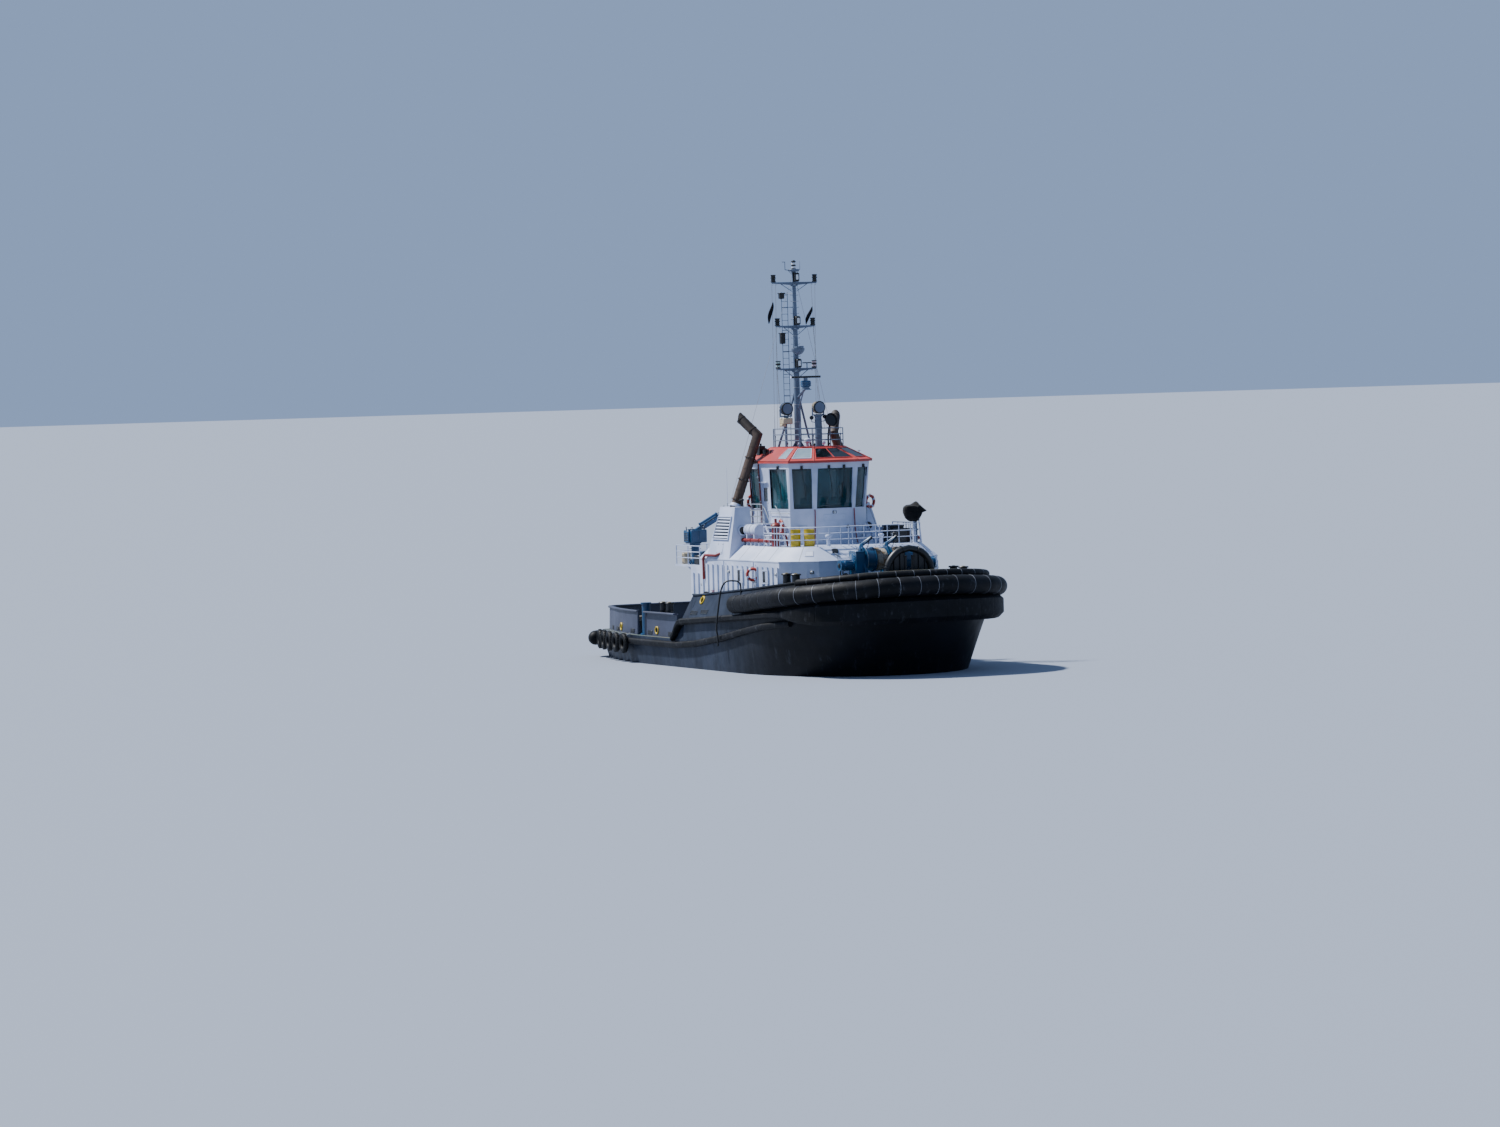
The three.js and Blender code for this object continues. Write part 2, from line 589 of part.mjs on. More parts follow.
for (const [i, label] of [[0, 'starboard'], [1, 'port']]) {
  const y = aftDoorYs[i];
  const panel = block(houseAftX + 5, houseAftX + 65, y - doorW / 2 + doorClear, y + doorW / 2 - doorClear,
    mainDeckZ + doorSill + doorClear, mainDeckZ + doorSill + doorH - doorClear);
  const edge = y + (i === 0 ? -1 : 1) * (doorW / 2 + doorClear);
  const hinges = [300, 1450].flatMap((z) => {
    const low = mainDeckZ + doorSill + z;
    const inner = y + (i === 0 ? -1 : 1) * (doorW / 2 - 60);
    return [rod([houseAftX - hingeR - seat, edge, low], [houseAftX - hingeR - seat, edge, low + 160],
      hingeR, 12),
      block(houseAftX - 16, houseAftX - 3, Math.min(edge, inner), Math.max(edge, inner), low + 20, low + 140),
      block(houseAftX - 16, houseAftX + 15, Math.min(inner, inner + (i === 0 ? 45 : -45)),
        Math.max(inner, inner + (i === 0 ? 45 : -45)), low + 20, low + 140)];
  });
  addPiece(`deckhouse_door_${label}`, join(panel, ...hinges), 'white');
}

// Boat deck platform aft of the funnels
addPiece('boat_deck', join(pad(-3400, 2000, platformZ), block(platformAftX, platformFrontX - seat,
  -houseHalf, houseHalf, platformZ - 100 + seat, platformZ),
  ...[-3900, 0, 3900].map((y) => plateSide([[houseAftX - 5, 4500], [houseAftX - 5, platformZ - 90],
    [platformAftX + 150, platformZ - 90]], y - 30, y + 30))), 'white');

// Bridge deck with its sloped shoulders
function frustum(planLow, zLow, planHigh, zHigh) {
  return loft([planLow.map(([x, y]) => [x, y, zLow]), planHigh.map(([x, y]) => [x, y, zHigh])]);
}
function bridgeShell(grow) {
  return frustum(housePlan(-2 * grow, platformFrontX - grow), knuckleZ + seat - grow,
    housePlan(shoulder - 2 * grow, platformFrontX - grow), bridgeDeckZ + grow);
}
const bridgeInner = frustum(housePlan(wall, platformFrontX + wall), knuckleZ - 10,
  housePlan(shoulder + 40, platformFrontX + wall), bridgeDeckZ - 80);
const aftWallHalf = houseHalf - wall - seat;
const aftWall = block(platformFrontX, platformFrontX + wall, -aftWallHalf, aftWallHalf, platformZ - 100,
  knuckleZ + 50);
addPiece('bridge_deck', join(cut(bridgeShell(0), bridgeInner), aftWall), 'white');

// Funnel casings, exhaust pipes
// columns: z, x aft, x forward, y inboard, y outboard
const casingRows = [
  [knuckleZ + seat, -950, 1950, 3100, 4500],
  [7000, -600, 1800, 3080, 4220],
  [7800, -330, 1660, 3060, 4030],
  [8350, -330, 1520, 3050, 3900],
];
for (const [side, label] of [[-1, 'starboard'], [1, 'port']]) {
  const casing = loft(casingRows.map(([z, aft, fore, inner, outer]) => [
    [aft, side * inner, z], [fore, side * inner, z], [fore, side * outer, z], [aft, side * outer, z]]));
  const louvres = [0, 1, 2, 3, 4, 5].map((i) => block(-60 - 40 * (5 - i), 1150, side < 0 ? -4700 : 3900,
    side < 0 ? -3900 : 4700, 6900 + 170 * i, 6900 + 170 * i + 95));
  addPiece(`funnel_casing_${label}`, cut(casing, bridgeShell(seat), ...louvres), 'white');
  const foot = [800, side * 3650, 8100];
  const knee = [900, side * 2200, 12070];
  const mouth = [30, side * 2750, 12950];
  const outer = mitredPipe([foot, knee, mouth], 250, 14, [-1, side * 0.6, 0]);
  const toward = new THREE.Vector3(...mouth).sub(new THREE.Vector3(...knee)).normalize();
  const start = new THREE.Vector3(...mouth).addScaledVector(toward, -700).toArray();
  const beyond = new THREE.Vector3(...mouth).addScaledVector(toward, 400).toArray();
  addPiece(`exhaust_${label}`, cut(join(outer, rod([800, side * 3530, 8300], [800, side * 3530, 8440],
    300, 14)),
    block(0, 1600, side < 0 ? -4500 : 2500, side < 0 ? -2500 : 4500, 7800, 8350 + seat),
    mitredPipe([start, beyond], 228, 14, [-1, side * 0.6, 0])), 'exhaust');
}

// Wheelhouse
// columns: x, y of the port half, from aft to front
const cabinSill = [[-600, 1450], [-120, 2170], [4600, 2170], [5350, 1100]];
const cabinHead = [[-670, 1520], [-150, 2300], [4870, 2300], [5642, 1198.6]];
function ringFromHalf(half, inset = 0) {
  const inner = half.map(([x, y]) => [x + (x < 2000 ? inset : -inset), y - inset]);
  return [...inner.map(([x, y]) => [x, -y]), ...inner.reverse()];
}
const cabinDoor = { x0: 1300, x1: 2060, z0: cabinFloorZ + 60, z1: cabinFloorZ + 60 + 1950 };
const doorTools = [-1, 1].map((side) => block(cabinDoor.x0, cabinDoor.x1, side < 0 ? -3000 : 1700,
  side < 0 ? -1700 : 3000, cabinDoor.z0, cabinDoor.z1));

const windowZ0 = sillZ + 90;
const windowZ1 = eaveZ - 290;
// columns: centre x, centre y, width, turn of the outward direction in degrees
const windows = [
  [5480, 0, 2000, 0], [5110, -1670, 1020, -35], [5110, 1670, 1020, 35],
  [3400, -2230, 2150, -90], [3400, 2230, 2150, 90],
  [480, -2230, 1180, -90], [480, 2230, 1180, 90],
  [-640, -700, 1050, 180], [-640, 700, 1050, 180],
];
const windowCuts = windows.map(([x, y, width, turn]) => {
  const tool = new THREE.BoxGeometry(500, width, windowZ1 - windowZ0);
  tool.rotateZ(turn * Math.PI / 180);
  return tool.translate(x, y, (windowZ0 + windowZ1) / 2);
});
function cabinLean(z) {
  return (z - sillZ) / (eaveZ - sillZ);
}
function cabinBand(inset, z0, z1) {
  const at = (z) => cabinSill.map(([x, y], i) => [
    x + (cabinHead[i][0] - x) * cabinLean(z), y + (cabinHead[i][1] - y) * cabinLean(z)]);
  return frustum(ringFromHalf(at(z0), inset), z0, ringFromHalf(at(z1), inset), z1);
}
function cabinShape(inset, lowZ, highZ) {
  const high = cabinSill.map(([x, y], i) => [
    x + (cabinHead[i][0] - x) * cabinLean(highZ), y + (cabinHead[i][1] - y) * cabinLean(highZ)]);
  return loft([[cabinSill, lowZ], [cabinSill, sillZ], [high, highZ]].map(([half,
    z]) => ringFromHalf(half, inset)
    .map(([x, y]) => [x, y, z])));
}
addPiece('wheelhouse_walls', cut(cabinShape(0, bridgeDeckZ + seat, eaveZ),
  cabinShape(cabinWall, bridgeDeckZ - 50, eaveZ + 50), ...windowCuts, ...doorTools), 'white');

const glassBand = cut(cabinBand(cabinWall + seat, sillZ + 40, eaveZ - 60),
  cabinBand(cabinWall + seat + 14, sillZ - 50, eaveZ + 50));
addPiece('wheelhouse_glass_front', keepInside(glassBand, block(cabinDoor.x1 + 60, 7000, -3000, 3000,
  8000, 11000)), 'glass');
addPiece('wheelhouse_glass_aft', keepInside(glassBand, block(-2000, cabinDoor.x0 - 60, -3000, 3000, 8000,
  11000)), 'glass');
for (const [side, label] of [[-1, 'starboard'], [1, 'port']]) {
  const panel = block(cabinDoor.x0 + doorClear, cabinDoor.x1 - doorClear, 2110, 2165,
    cabinDoor.z0 + doorClear, cabinDoor.z1 - doorClear);
  const pane = block(cabinDoor.x0 + 150, cabinDoor.x1 - 150, 2000, 2300, cabinDoor.z0 + 1050,
    cabinDoor.z1 - 180);
  const hinges = [90, 430].flatMap((z) => {
    const low = cabinDoor.z0 + z;
    return [rod([cabinDoor.x0 - doorClear, 2170 + hingeR + seat, low], [cabinDoor.x0 - doorClear,
      2170 + hingeR + seat,
      low + 120], hingeR, 12),
    block(cabinDoor.x0 - doorClear, cabinDoor.x0 + 60, 2173, 2186, low + 15, low + 105),
    block(cabinDoor.x0 + 20, cabinDoor.x0 + 60, 2150, 2186, low + 15, low + 105)];
  });
  const door = join(cut(panel, pane), ...hinges);
  addPiece(`wheelhouse_door_${label}`, side > 0 ? door : mirrorY(door), 'white');
}
addPiece('wheelhouse_floor', join(
  prism(ringFromHalf(cabinSill, cabinWall + seat), cabinFloorZ - 40, cabinFloorZ),
  block(3900, 4450, -1500, 1500, cabinFloorZ - 10, cabinFloorZ + 950),
  block(2400, 3950, -1500, -1000, cabinFloorZ - 10, cabinFloorZ + 900),
  block(2400, 3950, 1000, 1500, cabinFloorZ - 10, cabinFloorZ + 900),
  rod([2900, 0, cabinFloorZ - 10], [2900, 0, cabinFloorZ + 60], 260, 16),
  rod([2900, 0, cabinFloorZ + 10], [2900, 0, cabinFloorZ + 560], 60, 12),
  block(2650, 3150, -250, 250, cabinFloorZ + 520, cabinFloorZ + 640),
  block(2590, 2700, -240, 240, cabinFloorZ + 560, cabinFloorZ + 1350)), 'black');

const roofTop = [[500, 700], [700, 1350], [3950, 1350], [4350, 620]];
const roofEave = cabinHead.map(([x, y]) => [x + (x < 2000 ? -190 : 150), y + 110]);
addPiece('wheelhouse_roof', cut(join(pad(2600, 900, roofZ),
  frustum(ringFromHalf(roofEave), eaveZ + seat, ringFromHalf(roofEave), eaveZ + 90),
  frustum(ringFromHalf(roofEave), eaveZ + 85, ringFromHalf(roofTop), roofZ)),
  frustum(ringFromHalf(cabinHead, 150), eaveZ - 10, ringFromHalf(roofTop, 60), roofZ - 80)), 'orange');

// Landings and ladders beside the wheelhouse doors
for (const [side, label] of [[-1, 'starboard'], [1, 'port']]) {
  const y0 = 2170 + seat;
  const y1 = 3020;
  const deckPlate = block(cabinDoor.x0 - 250, 3050, y0, y1, cabinFloorZ - 60, cabinFloorZ);
  const legs = [[1150, 2950], [2980, 2950]].map(([x, y]) => rod([x, y, bridgeDeckZ + seat], [x, y,
    cabinFloorZ - 50], 35, 8));
  const strings = [2350, 2900].map((y) => plateSide([[3040, cabinFloorZ - 10], [3040, cabinFloorZ - 190],
    [4000, bridgeDeckZ + seat], [4170, bridgeDeckZ + seat]], y - 20, y + 20));
  const treads = [0, 1, 2, 3].map((i) => block(3180 + 230 * i, 3390 + 230 * i, 2340, 2910,
    cabinFloorZ - 260 - 225 * i, cabinFloorZ - 225 - 225 * i));
  const landing = join(deckPlate, ...legs, ...strings, ...treads);
  addPiece(`wheelhouse_landing_${label}`, side > 0 ? landing : mirrorY(landing), 'white');
}

// Mast
// columns: z, half span
const spreaders = [[15450, 1130], [17680, 1110], [19950, 1280]];
const mastParts = [
  rod([mastX, 0, roofZ + seat], [mastX, 0, 15600], 190, 16, 150),
  rod([mastX, 0, 15550], [mastX, 0, 20600], 145, 14, 85),
  rod([mastX, 0, 20560], [mastX, 0, 20640], 290, 16),
  rod([mastX, 0, 20600], [mastX, 0, 21150], 75, 12),
  mitredPipe([[740, -970, 11300], [mastX - 60, -60, 14300]], 60, 8),
  mitredPipe([[740, 970, 11300], [mastX - 60, 60, 14300]], 60, 8),
  block(mastX - 60, mastX + 700, -130, 130, 16560, 16660),
  mitredPipe([[mastX, 0, 13900], [2300, 0, 14450]], 65, 8),
  rod([2300, 0, 14400], [2300, 0, 14520], 190, 14),
  rod([2300, 0, 14500], [2300, 0, 14860], 150, 14),
];
for (const [z, half] of spreaders) {
  mastParts.push(loft([
    [[mastX - 60, -half, z], [mastX + 60, -half, z], [mastX + 60, -half, z + 60], [mastX - 60, -half,
      z + 60]],
    [[mastX - 80, 0, z - 110], [mastX + 80, 0, z - 110], [mastX + 80, 0, z + 60], [mastX - 80, 0, z + 60]],
    [[mastX - 60, half, z], [mastX + 60, half, z], [mastX + 60, half, z + 60], [mastX - 60, half, z + 60]],
  ]));
  for (const side of [-1, 1]) {
    mastParts.push(rod([mastX, side * (half - 90), z + 50], [mastX, side * (half - 90), z + 420], 105, 8));
  }
}
addPiece('mast', cut(join(...mastParts), block(0, 2000, -1500, 1500, 11000, roofZ + seat)), 'mastGrey');
addPiece('radar_scanner', join(
  block(2230, 2370, -850, 850, 14980, 15090),
  rod([2300, 0, 14860 + seat], [2300, 0, 15000], 90, 14)), 'white');

// Searchlights on their posts
function searchlight(x, y, z) {
  const drum = rod([x - 150, y, z], [x + 230, y, z], 300, 18);
  const lens = rod([x + 200, y, z], [x + 260, y, z], 270, 18);
  const yoke = block(x - 40, x + 40, y - 345, y + 345, z - 420, z - 350);
  const arms = [-1, 1].map((s) => block(x - 40, x + 40, y + s * 320 - 25, y + s * 320 + 25, z - 400, z + 60));
  const pins = rod([x, y - 330, z], [x, y + 330, z], 40, 10);
  return join(drum, lens, yoke, ...arms, pins);
}
addPiece('searchlight_main', join(
  rod([3700, 0, roofZ + seat], [3700, 0, roofZ + 90], 250, 18),
  rod([3700, 0, roofZ + 50], [3700, 0, 13050], 185, 18),
  searchlight(3700, 0, 13440)), 'mastGrey');
addPiece('searchlight_second', join(
  rod([1850, -980, roofZ + seat], [1850, -980, 12650], 60, 10),
  block(1600, 2100, -1200, -760, 12620, 12900),
  rod([1850, -980, 12880], [1850, -980, 13040], 110, 12),
  searchlight(1850, -980, 13400)), 'mastGrey');

// Railings: posts and three rails, joined at every crossing
function railing(points, height, radius, closed = false) {
  const parts = [];
  const stops = closed ? [...points, points[0]] : points;
  const post = (x, y, z) => parts.push(rod([x, y, z], [x, y, z + height + 7], radius * 1.25, 5));
  for (let i = 0; i < stops.length - 1; i += 1) {
    const [x0, y0, z0] = stops[i];
    const [x1, y1] = stops[i + 1];
    const length = Math.hypot(x1 - x0, y1 - y0);
    const bays = Math.max(1, Math.round(length / 1700));
    for (let k = 0; k < bays; k += 1) post(x0 + (k / bays) * (x1 - x0), y0 + (k / bays) * (y1 - y0), z0);
    const [ex, ey] = [11 * (x1 - x0) / length, 11 * (y1 - y0) / length];
    [0.36, 0.68, 1].forEach((level) => {
      const z = z0 + level * height + 3 * (i % 2);
      parts.push(rod([x0 - ex, y0 - ey, z], [x1 + ex, y1 + ey, z], radius, 5));
    });
  }
  if (!closed) post(...points[points.length - 1]);
  return join(...parts);
}
const roofRail = [[640, -1080], [900, -1280], [4000, -1250], [4000, 1250], [900, 1280], [640,
  1080]].map(([x, y]) => [x, y, roofZ + seat]);
addPiece('roof_railing', railing(roofRail, 950, 22, true), 'mastGrey');
const bridgeRail = [[4600, -3690], [7760, -3690], [8790, -2640], [8790, 2640], [7760, 3690], [4600, 3690]]
  .map(([x, y]) => [x, y, bridgeDeckZ + seat]);
addPiece('bridge_railing', railing(bridgeRail, 1000, 24), 'white');
const boatRail = [[-1950, -4430], [-4980, -4430], [-4980, 4430], [-1950, 4430]].map(([x, y]) => [x, y,
  platformZ + seat]);
addPiece('boat_deck_railing', railing(boatRail, 1000, 24), 'white');

// Foredeck winch
const winchFrames = [-1400, 0, 1400].map((y) => plateSide([[winchX - 900, 4000], [winchX + 900, 4000],
  [winchX + 260, winchZ + 320], [winchX - 260, winchZ + 320]], y - 45, y + 45));
const bed = cut(block(winchX - 1000, winchX + 1000, -2000, 2000, 3000, 4050), hullEnvelope);
const gearCase = (side) => join(
  block(winchX - 420, winchX + 420, side < 0 ? -1900 : 1430, side < 0 ? -1430 : 1900, 4000, winchZ + 420),
  rod([winchX, side * 1850, winchZ - 250], [winchX, side * 2650, winchZ - 250], 240, 16));
addPiece('winch_frame', cut(join(bed, ...winchFrames, gearCase(-1), gearCase(1)),
  ...[-1, 1].map((side) => rod([winchX, side * -50, winchZ], [winchX, side * 1445, winchZ], 95, 18))),
    'blue');
for (const [side, label] of [[-1, 'starboard'], [1, 'port']]) {
  const y = (v) => side * v;
  addPiece(`winch_drum_${label}`, join(
    rod([winchX, y(30), winchZ], [winchX, y(1375), winchZ], 89, 18),
    rod([winchX, y(45 + seat), winchZ], [winchX, y(70), winchZ], 150, 16),
    rod([winchX, y(60), winchZ], [winchX, y(110), winchZ], 640, 24),
    rod([winchX, y(1290), winchZ], [winchX, y(1340), winchZ], 640, 24),
    rod([winchX, y(100), winchZ], [winchX, y(1300), winchZ], 470, 24)), 'blue');
}

// Towing staple on the foredeck
const stapleX = 13850;
const stapleZ = 5080;
const stapleHalf = 1250;
function archPoints() {
  const points = [[stapleX, -stapleHalf, 3200]];
  for (let k = 0; k <= 8; k += 1) {
    const angle = Math.PI * (1 - k / 8);
    points.push([stapleX, stapleHalf * Math.cos(angle), stapleZ + stapleHalf * Math.sin(angle)]);
  }
  points.push([stapleX, stapleHalf, 3200]);
  return points;
}
addPiece('towing_staple', cut(join(mitredPipe(archPoints(), 165, 12),
  rod([stapleX, -stapleHalf, 4350], [stapleX, stapleHalf, 4350], 130, 12)), hullEnvelope), 'black');

// Bollards
function bollards(x, y, z0, z1, spread, along) {
  const ends = [-1, 1].map((s) => [x + (along ? s * spread : 0), y + (along ? 0 : s * spread)]);
  const posts = ends.flatMap(([px, py]) => [rod([px, py, z0], [px, py, z1], 190, 16),
    rod([px, py, z1 - 60], [px, py, z1], 250, 16)]);
  const base = block(x - (along ? spread + 300 : 300), x + (along ? spread + 300 : 300),
    y - (along ? 300 : spread + 300), y + (along ? 300 : spread + 300), z0 - 400, z0 + 60);
  return cut(join(...posts, base), hullEnvelope);
}
for (const [side, label] of [[-1, 'starboard'], [1, 'port']]) {
  addPiece(`aft_bollards_${label}`, bollards(-5300, side * 4950, mainDeckZ, 3280, 420, true), 'black');
}

const foreBollardX = 10000;
const foreBollardTopZ = 5150;
for (const [side, label] of [[-1, 'starboard'], [1, 'port']]) {
  const y = side * 4720;
  addPiece(`fore_bollards_${label}`, cut(join(...[-550, 550].flatMap((dx) => [
    rod([foreBollardX + dx, y, 3000], [foreBollardX + dx, y, foreBollardTopZ], 200, 16),
    rod([foreBollardX + dx, y, foreBollardTopZ - 60], [foreBollardX + dx, y, foreBollardTopZ], 235, 16)]),
  block(foreBollardX - 850, foreBollardX + 850, y - 260, y + 260, 3000, foreDeckAt(foreBollardX) + 120)),
  hullEnvelope), 'black');
}

// Foredeck hatch with a hinged lid
const hatchX = 12900;
const hatchTopZ = foreDeckAt(hatchX) + 420;
const hatchSize = 720;
addPiece('hatch_coaming', cut(
  block(hatchX - hatchSize / 2, hatchX + hatchSize / 2, -hatchSize / 2, hatchSize / 2, 3000, hatchTopZ),
  block(hatchX - hatchSize / 2 + 40, hatchX + hatchSize / 2 - 40, -hatchSize / 2 + 40, hatchSize / 2 - 40,
    2900, hatchTopZ + 10), hullEnvelope), 'deckGreen');
addPiece('hatch_lid', join(
  block(hatchX - hatchSize / 2 - 30, hatchX + hatchSize / 2 + 30, -hatchSize / 2 - 30, hatchSize / 2 + 30,
    hatchTopZ + seat, hatchTopZ + 46),
  rod([hatchX - hatchSize / 2 - 45, -200, hatchTopZ + 30], [hatchX - hatchSize / 2 - 45, 200,
    hatchTopZ + 30], 22, 10)), 'deckGreen');

// Life raft canister on its cradle
addPiece('raft_canister', join(
  rod([2000, -3350, 7180], [3400, -3350, 7180], 310, 16),
  block(2200, 2300, -3600, -3100, bridgeDeckZ + seat, 7000),
  block(3100, 3200, -3600, -3100, bridgeDeckZ + seat, 7000)), 'white');

// Aft working deck: towing bitt and capstan
const bittX = -9000;
addPiece('towing_bitt', join(
  block(bittX - 500, bittX + 500, -1100, 1100, mainDeckZ + seat, mainDeckZ + 60),
  rod([bittX, -750, mainDeckZ + 50], [bittX, -750, 2900], 190, 18),
  rod([bittX, 750, mainDeckZ + 50], [bittX, 750, 2900], 190, 18),
  rod([bittX, -1150, 2450], [bittX, 1150, 2450], 140, 16)), 'blue');
const capstanX = -12600;
addPiece('capstan_base', join(
  rod([capstanX, 0, mainDeckZ + seat], [capstanX, 0, mainDeckZ + 180], 520, 24),
  rod([capstanX, 0, mainDeckZ + 150], [capstanX, 0, mainDeckZ + 900], 110, 18)), 'blue');
const capstanProfile = [[130, 180 + seat], [480, 180 + seat], [480, 260], [300, 400], [270, 640], [330,
  820], [430, 880],
  [430, 930], [0, 960], [0, 910], [130, 905]];
const capstanHead = new THREE.LatheGeometry(capstanProfile.concat([capstanProfile[0]])
  .map(([r, z]) => new THREE.Vector2(r, z)), 18);
capstanHead.rotateX(Math.PI / 2);
capstanHead.translate(capstanX, 0, mainDeckZ);
addPiece('capstan_head', fromSolid(toSolid(capstanHead)), 'blue');

// Deck crane on the boat deck
const cranePivotZ = 7000;
const boomLift = 28 * Math.PI / 180;
const boomLength = 2600;
const boomTip = [craneY + boomLength * Math.cos(boomLift), cranePivotZ + boomLength * Math.sin(boomLift)];
addPiece('crane_pedestal', join(
  rod([craneX, craneY, platformZ + seat], [craneX, craneY, platformZ + 60], 330, 18),
  rod([craneX, craneY, platformZ + 40], [craneX, craneY, 6330], 210, 18),
  rod([craneX, craneY, 6290], [craneX, craneY, 6350], 290, 18)), 'blue');
addPiece('crane_house', cut(join(
  rod([craneX, craneY, 6350 + seat], [craneX, craneY, 6440], 290, 18),
  block(craneX - 300, craneX + 300, craneY - 420, craneY + 240, 6400, 6700),
  block(craneX - 300, craneX - 190, craneY - 260, craneY + 190, 6650, cranePivotZ + 160),
  block(craneX + 190, craneX + 300, craneY - 260, craneY + 190, 6650, cranePivotZ + 160),
  rod([craneX - 300, craneY, cranePivotZ], [craneX + 300, craneY, cranePivotZ], 50, 14)),
  block(craneX - 60, craneX + 60, craneY - 10, craneY + 10, 6000, 6100)), 'blue');
function beamYZ(from, to, halfX, halfDepth) {
  const start = new THREE.Vector3(craneX, from[0], from[1]);
  const end = new THREE.Vector3(craneX, to[0], to[1]);
  const length = start.distanceTo(end);
  const beam = new THREE.BoxGeometry(2 * halfX, length, 2 * halfDepth);
  beam.rotateX(Math.atan2(end.z - start.z, end.y - start.y));
  const middle = start.add(end).multiplyScalar(0.5);
  return beam.translate(middle.x, middle.y, middle.z);
}
const boomHub = rod([craneX - 190 + seat, craneY, cranePivotZ], [craneX + 190 - seat, craneY,
  cranePivotZ], 150, 16);
const boomBeam = beamYZ([craneY, cranePivotZ], [boomTip[0] - 150 * Math.cos(boomLift),
  boomTip[1] - 150 * Math.sin(boomLift)], 110, 130);
const tipCheeks = [-1, 1].map((s) => {
  const cheek = beamYZ([boomTip[0] - 420 * Math.cos(boomLift), boomTip[1] - 420 * Math.sin(boomLift)],
    [boomTip[0] + 90, boomTip[1] + 50], 20, 110);
  return cheek.translate(s * 110, 0, 0);
});
const tipPin = rod([craneX - 125, ...boomTip], [craneX + 125, ...boomTip], 35, 12);
addPiece('crane_boom', cut(join(boomHub, cut(boomBeam, rod([craneX - 200, ...boomTip], [craneX + 200,
  ...boomTip], 260, 16)),
  ...tipCheeks, tipPin), rod([craneX - 400, craneY, cranePivotZ], [craneX + 400, craneY, cranePivotZ],
    56, 14)), 'blue');
const jibEnd = [boomTip[0], boomTip[1] - 1650];
addPiece('crane_jib', cut(join(
  rod([craneX - 90 + seat, ...boomTip], [craneX + 90 - seat, ...boomTip], 130, 14),
  beamYZ(boomTip, jibEnd, 75, 90),
  rod([craneX, jibEnd[0], jibEnd[1] - 130], [craneX, jibEnd[0], jibEnd[1] + 50], 60, 10)),
  rod([craneX - 200, ...boomTip], [craneX + 200, ...boomTip], 41, 12)), 'blue');

// Steerable thrusters and propellers
function thruster(side) {
  const y = side * thrusterY;
  const stem = rod([thrusterX, y, wellZ - seat], [thrusterX, y, -2250], 560, 20);
  const leg = loft([[-2200, 420, 260], [-3500, 330, 190]].map(([z, a, b]) => Array.from({ length: 14 },
    (_, i) => {
    const angle = (2 * Math.PI * i) / 14;
    return [thrusterX + a * Math.cos(angle), y + b * Math.sin(angle), z];
  })));
  const podProfile = [[0, -1000], [200, -960], [330, -760], [400, -300], [400, 250], [330, 560], [250,
    640], [0, 640]];
  const pod = new THREE.LatheGeometry(podProfile.map(([r, x]) => new THREE.Vector2(r, x)), 20);
  pod.rotateZ(-Math.PI / 2);
  pod.translate(thrusterX, y, thrusterZ);
  const ringProfile = [[1250, 500], [1235, 900], [1250, 1400], [1290, 1420], [1350, 1000], [1420, 560],
    [1380, 470],
    [1310, 450], [1250, 500]];
  const ring = new THREE.LatheGeometry(ringProfile.map(([r, x]) => new THREE.Vector2(r, x)), 24);
  ring.rotateZ(-Math.PI / 2);
  ring.translate(thrusterX, y, thrusterZ);
  const struts = [60, 180, 300].map((degrees) => {
    const strut = new THREE.BoxGeometry(260, 70, 1050);
    strut.translate(0, 0, 810);
    strut.rotateX(degrees * Math.PI / 180);
    return strut.translate(thrusterX + 480, y, thrusterZ);
  });
  const bracket = block(thrusterX + 200, thrusterX + 780, y - 60, y + 60, thrusterZ + 1280, -2240);
  return join(stem, leg, pod, fromSolid(toSolid(ring)), ...struts, bracket);
}
function propeller(side) {
  const y = side * thrusterY;
  const hubProfile = [[0, 0], [240, 0], [235, 260], [170, 440], [60, 520], [0, 530]];
  const hub = new THREE.LatheGeometry(hubProfile.map(([r, x]) => new THREE.Vector2(r, x)), 18);
  hub.rotateZ(-Math.PI / 2);
  const blades = [0, 1, 2, 3].map((k) => {
    // columns: radius, half chord, pitch angle in degrees, half thickness
    const rows = [[180, 210, 62, 38], [500, 330, 45, 28], [850, 390, 33, 18], [1120, 340, 26, 11], [1200,
      200, 24, 8]];
    const blade = loft(rows.map(([r, chord, pitch, thick]) => {
      const turn = pitch * Math.PI / 180;
      return [[-1, 0], [-0.4, -1], [0.4, -1], [1, 0], [0.4, 1], [-0.4, 1]].map(([c, t]) => {
        const along = c * chord;
        const across = t * thick;
        return [along * Math.sin(turn) + across * Math.cos(turn) + 230,
          side * (along * Math.cos(turn) - across * Math.sin(turn)), r];
      });
    }));
    return blade.rotateX(k * Math.PI / 2);
  });
  const wheel = join(fromSolid(toSolid(hub)), ...blades);
  return wheel.translate(thrusterX + 640 + seat, y, thrusterZ);
}
for (const [side, label] of [[-1, 'starboard'], [1, 'port']]) {
  addPiece(`thruster_${label}`, thruster(side), 'antifouling');
  addPiece(`propeller_${label}`, propeller(side), 'bronze');
}

export default tug;
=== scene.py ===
import bmesh
import bpy
from math import acos, atan, copysign, cos, pi, radians, sin, sqrt
from mathutils import Matrix, Quaternion, Vector


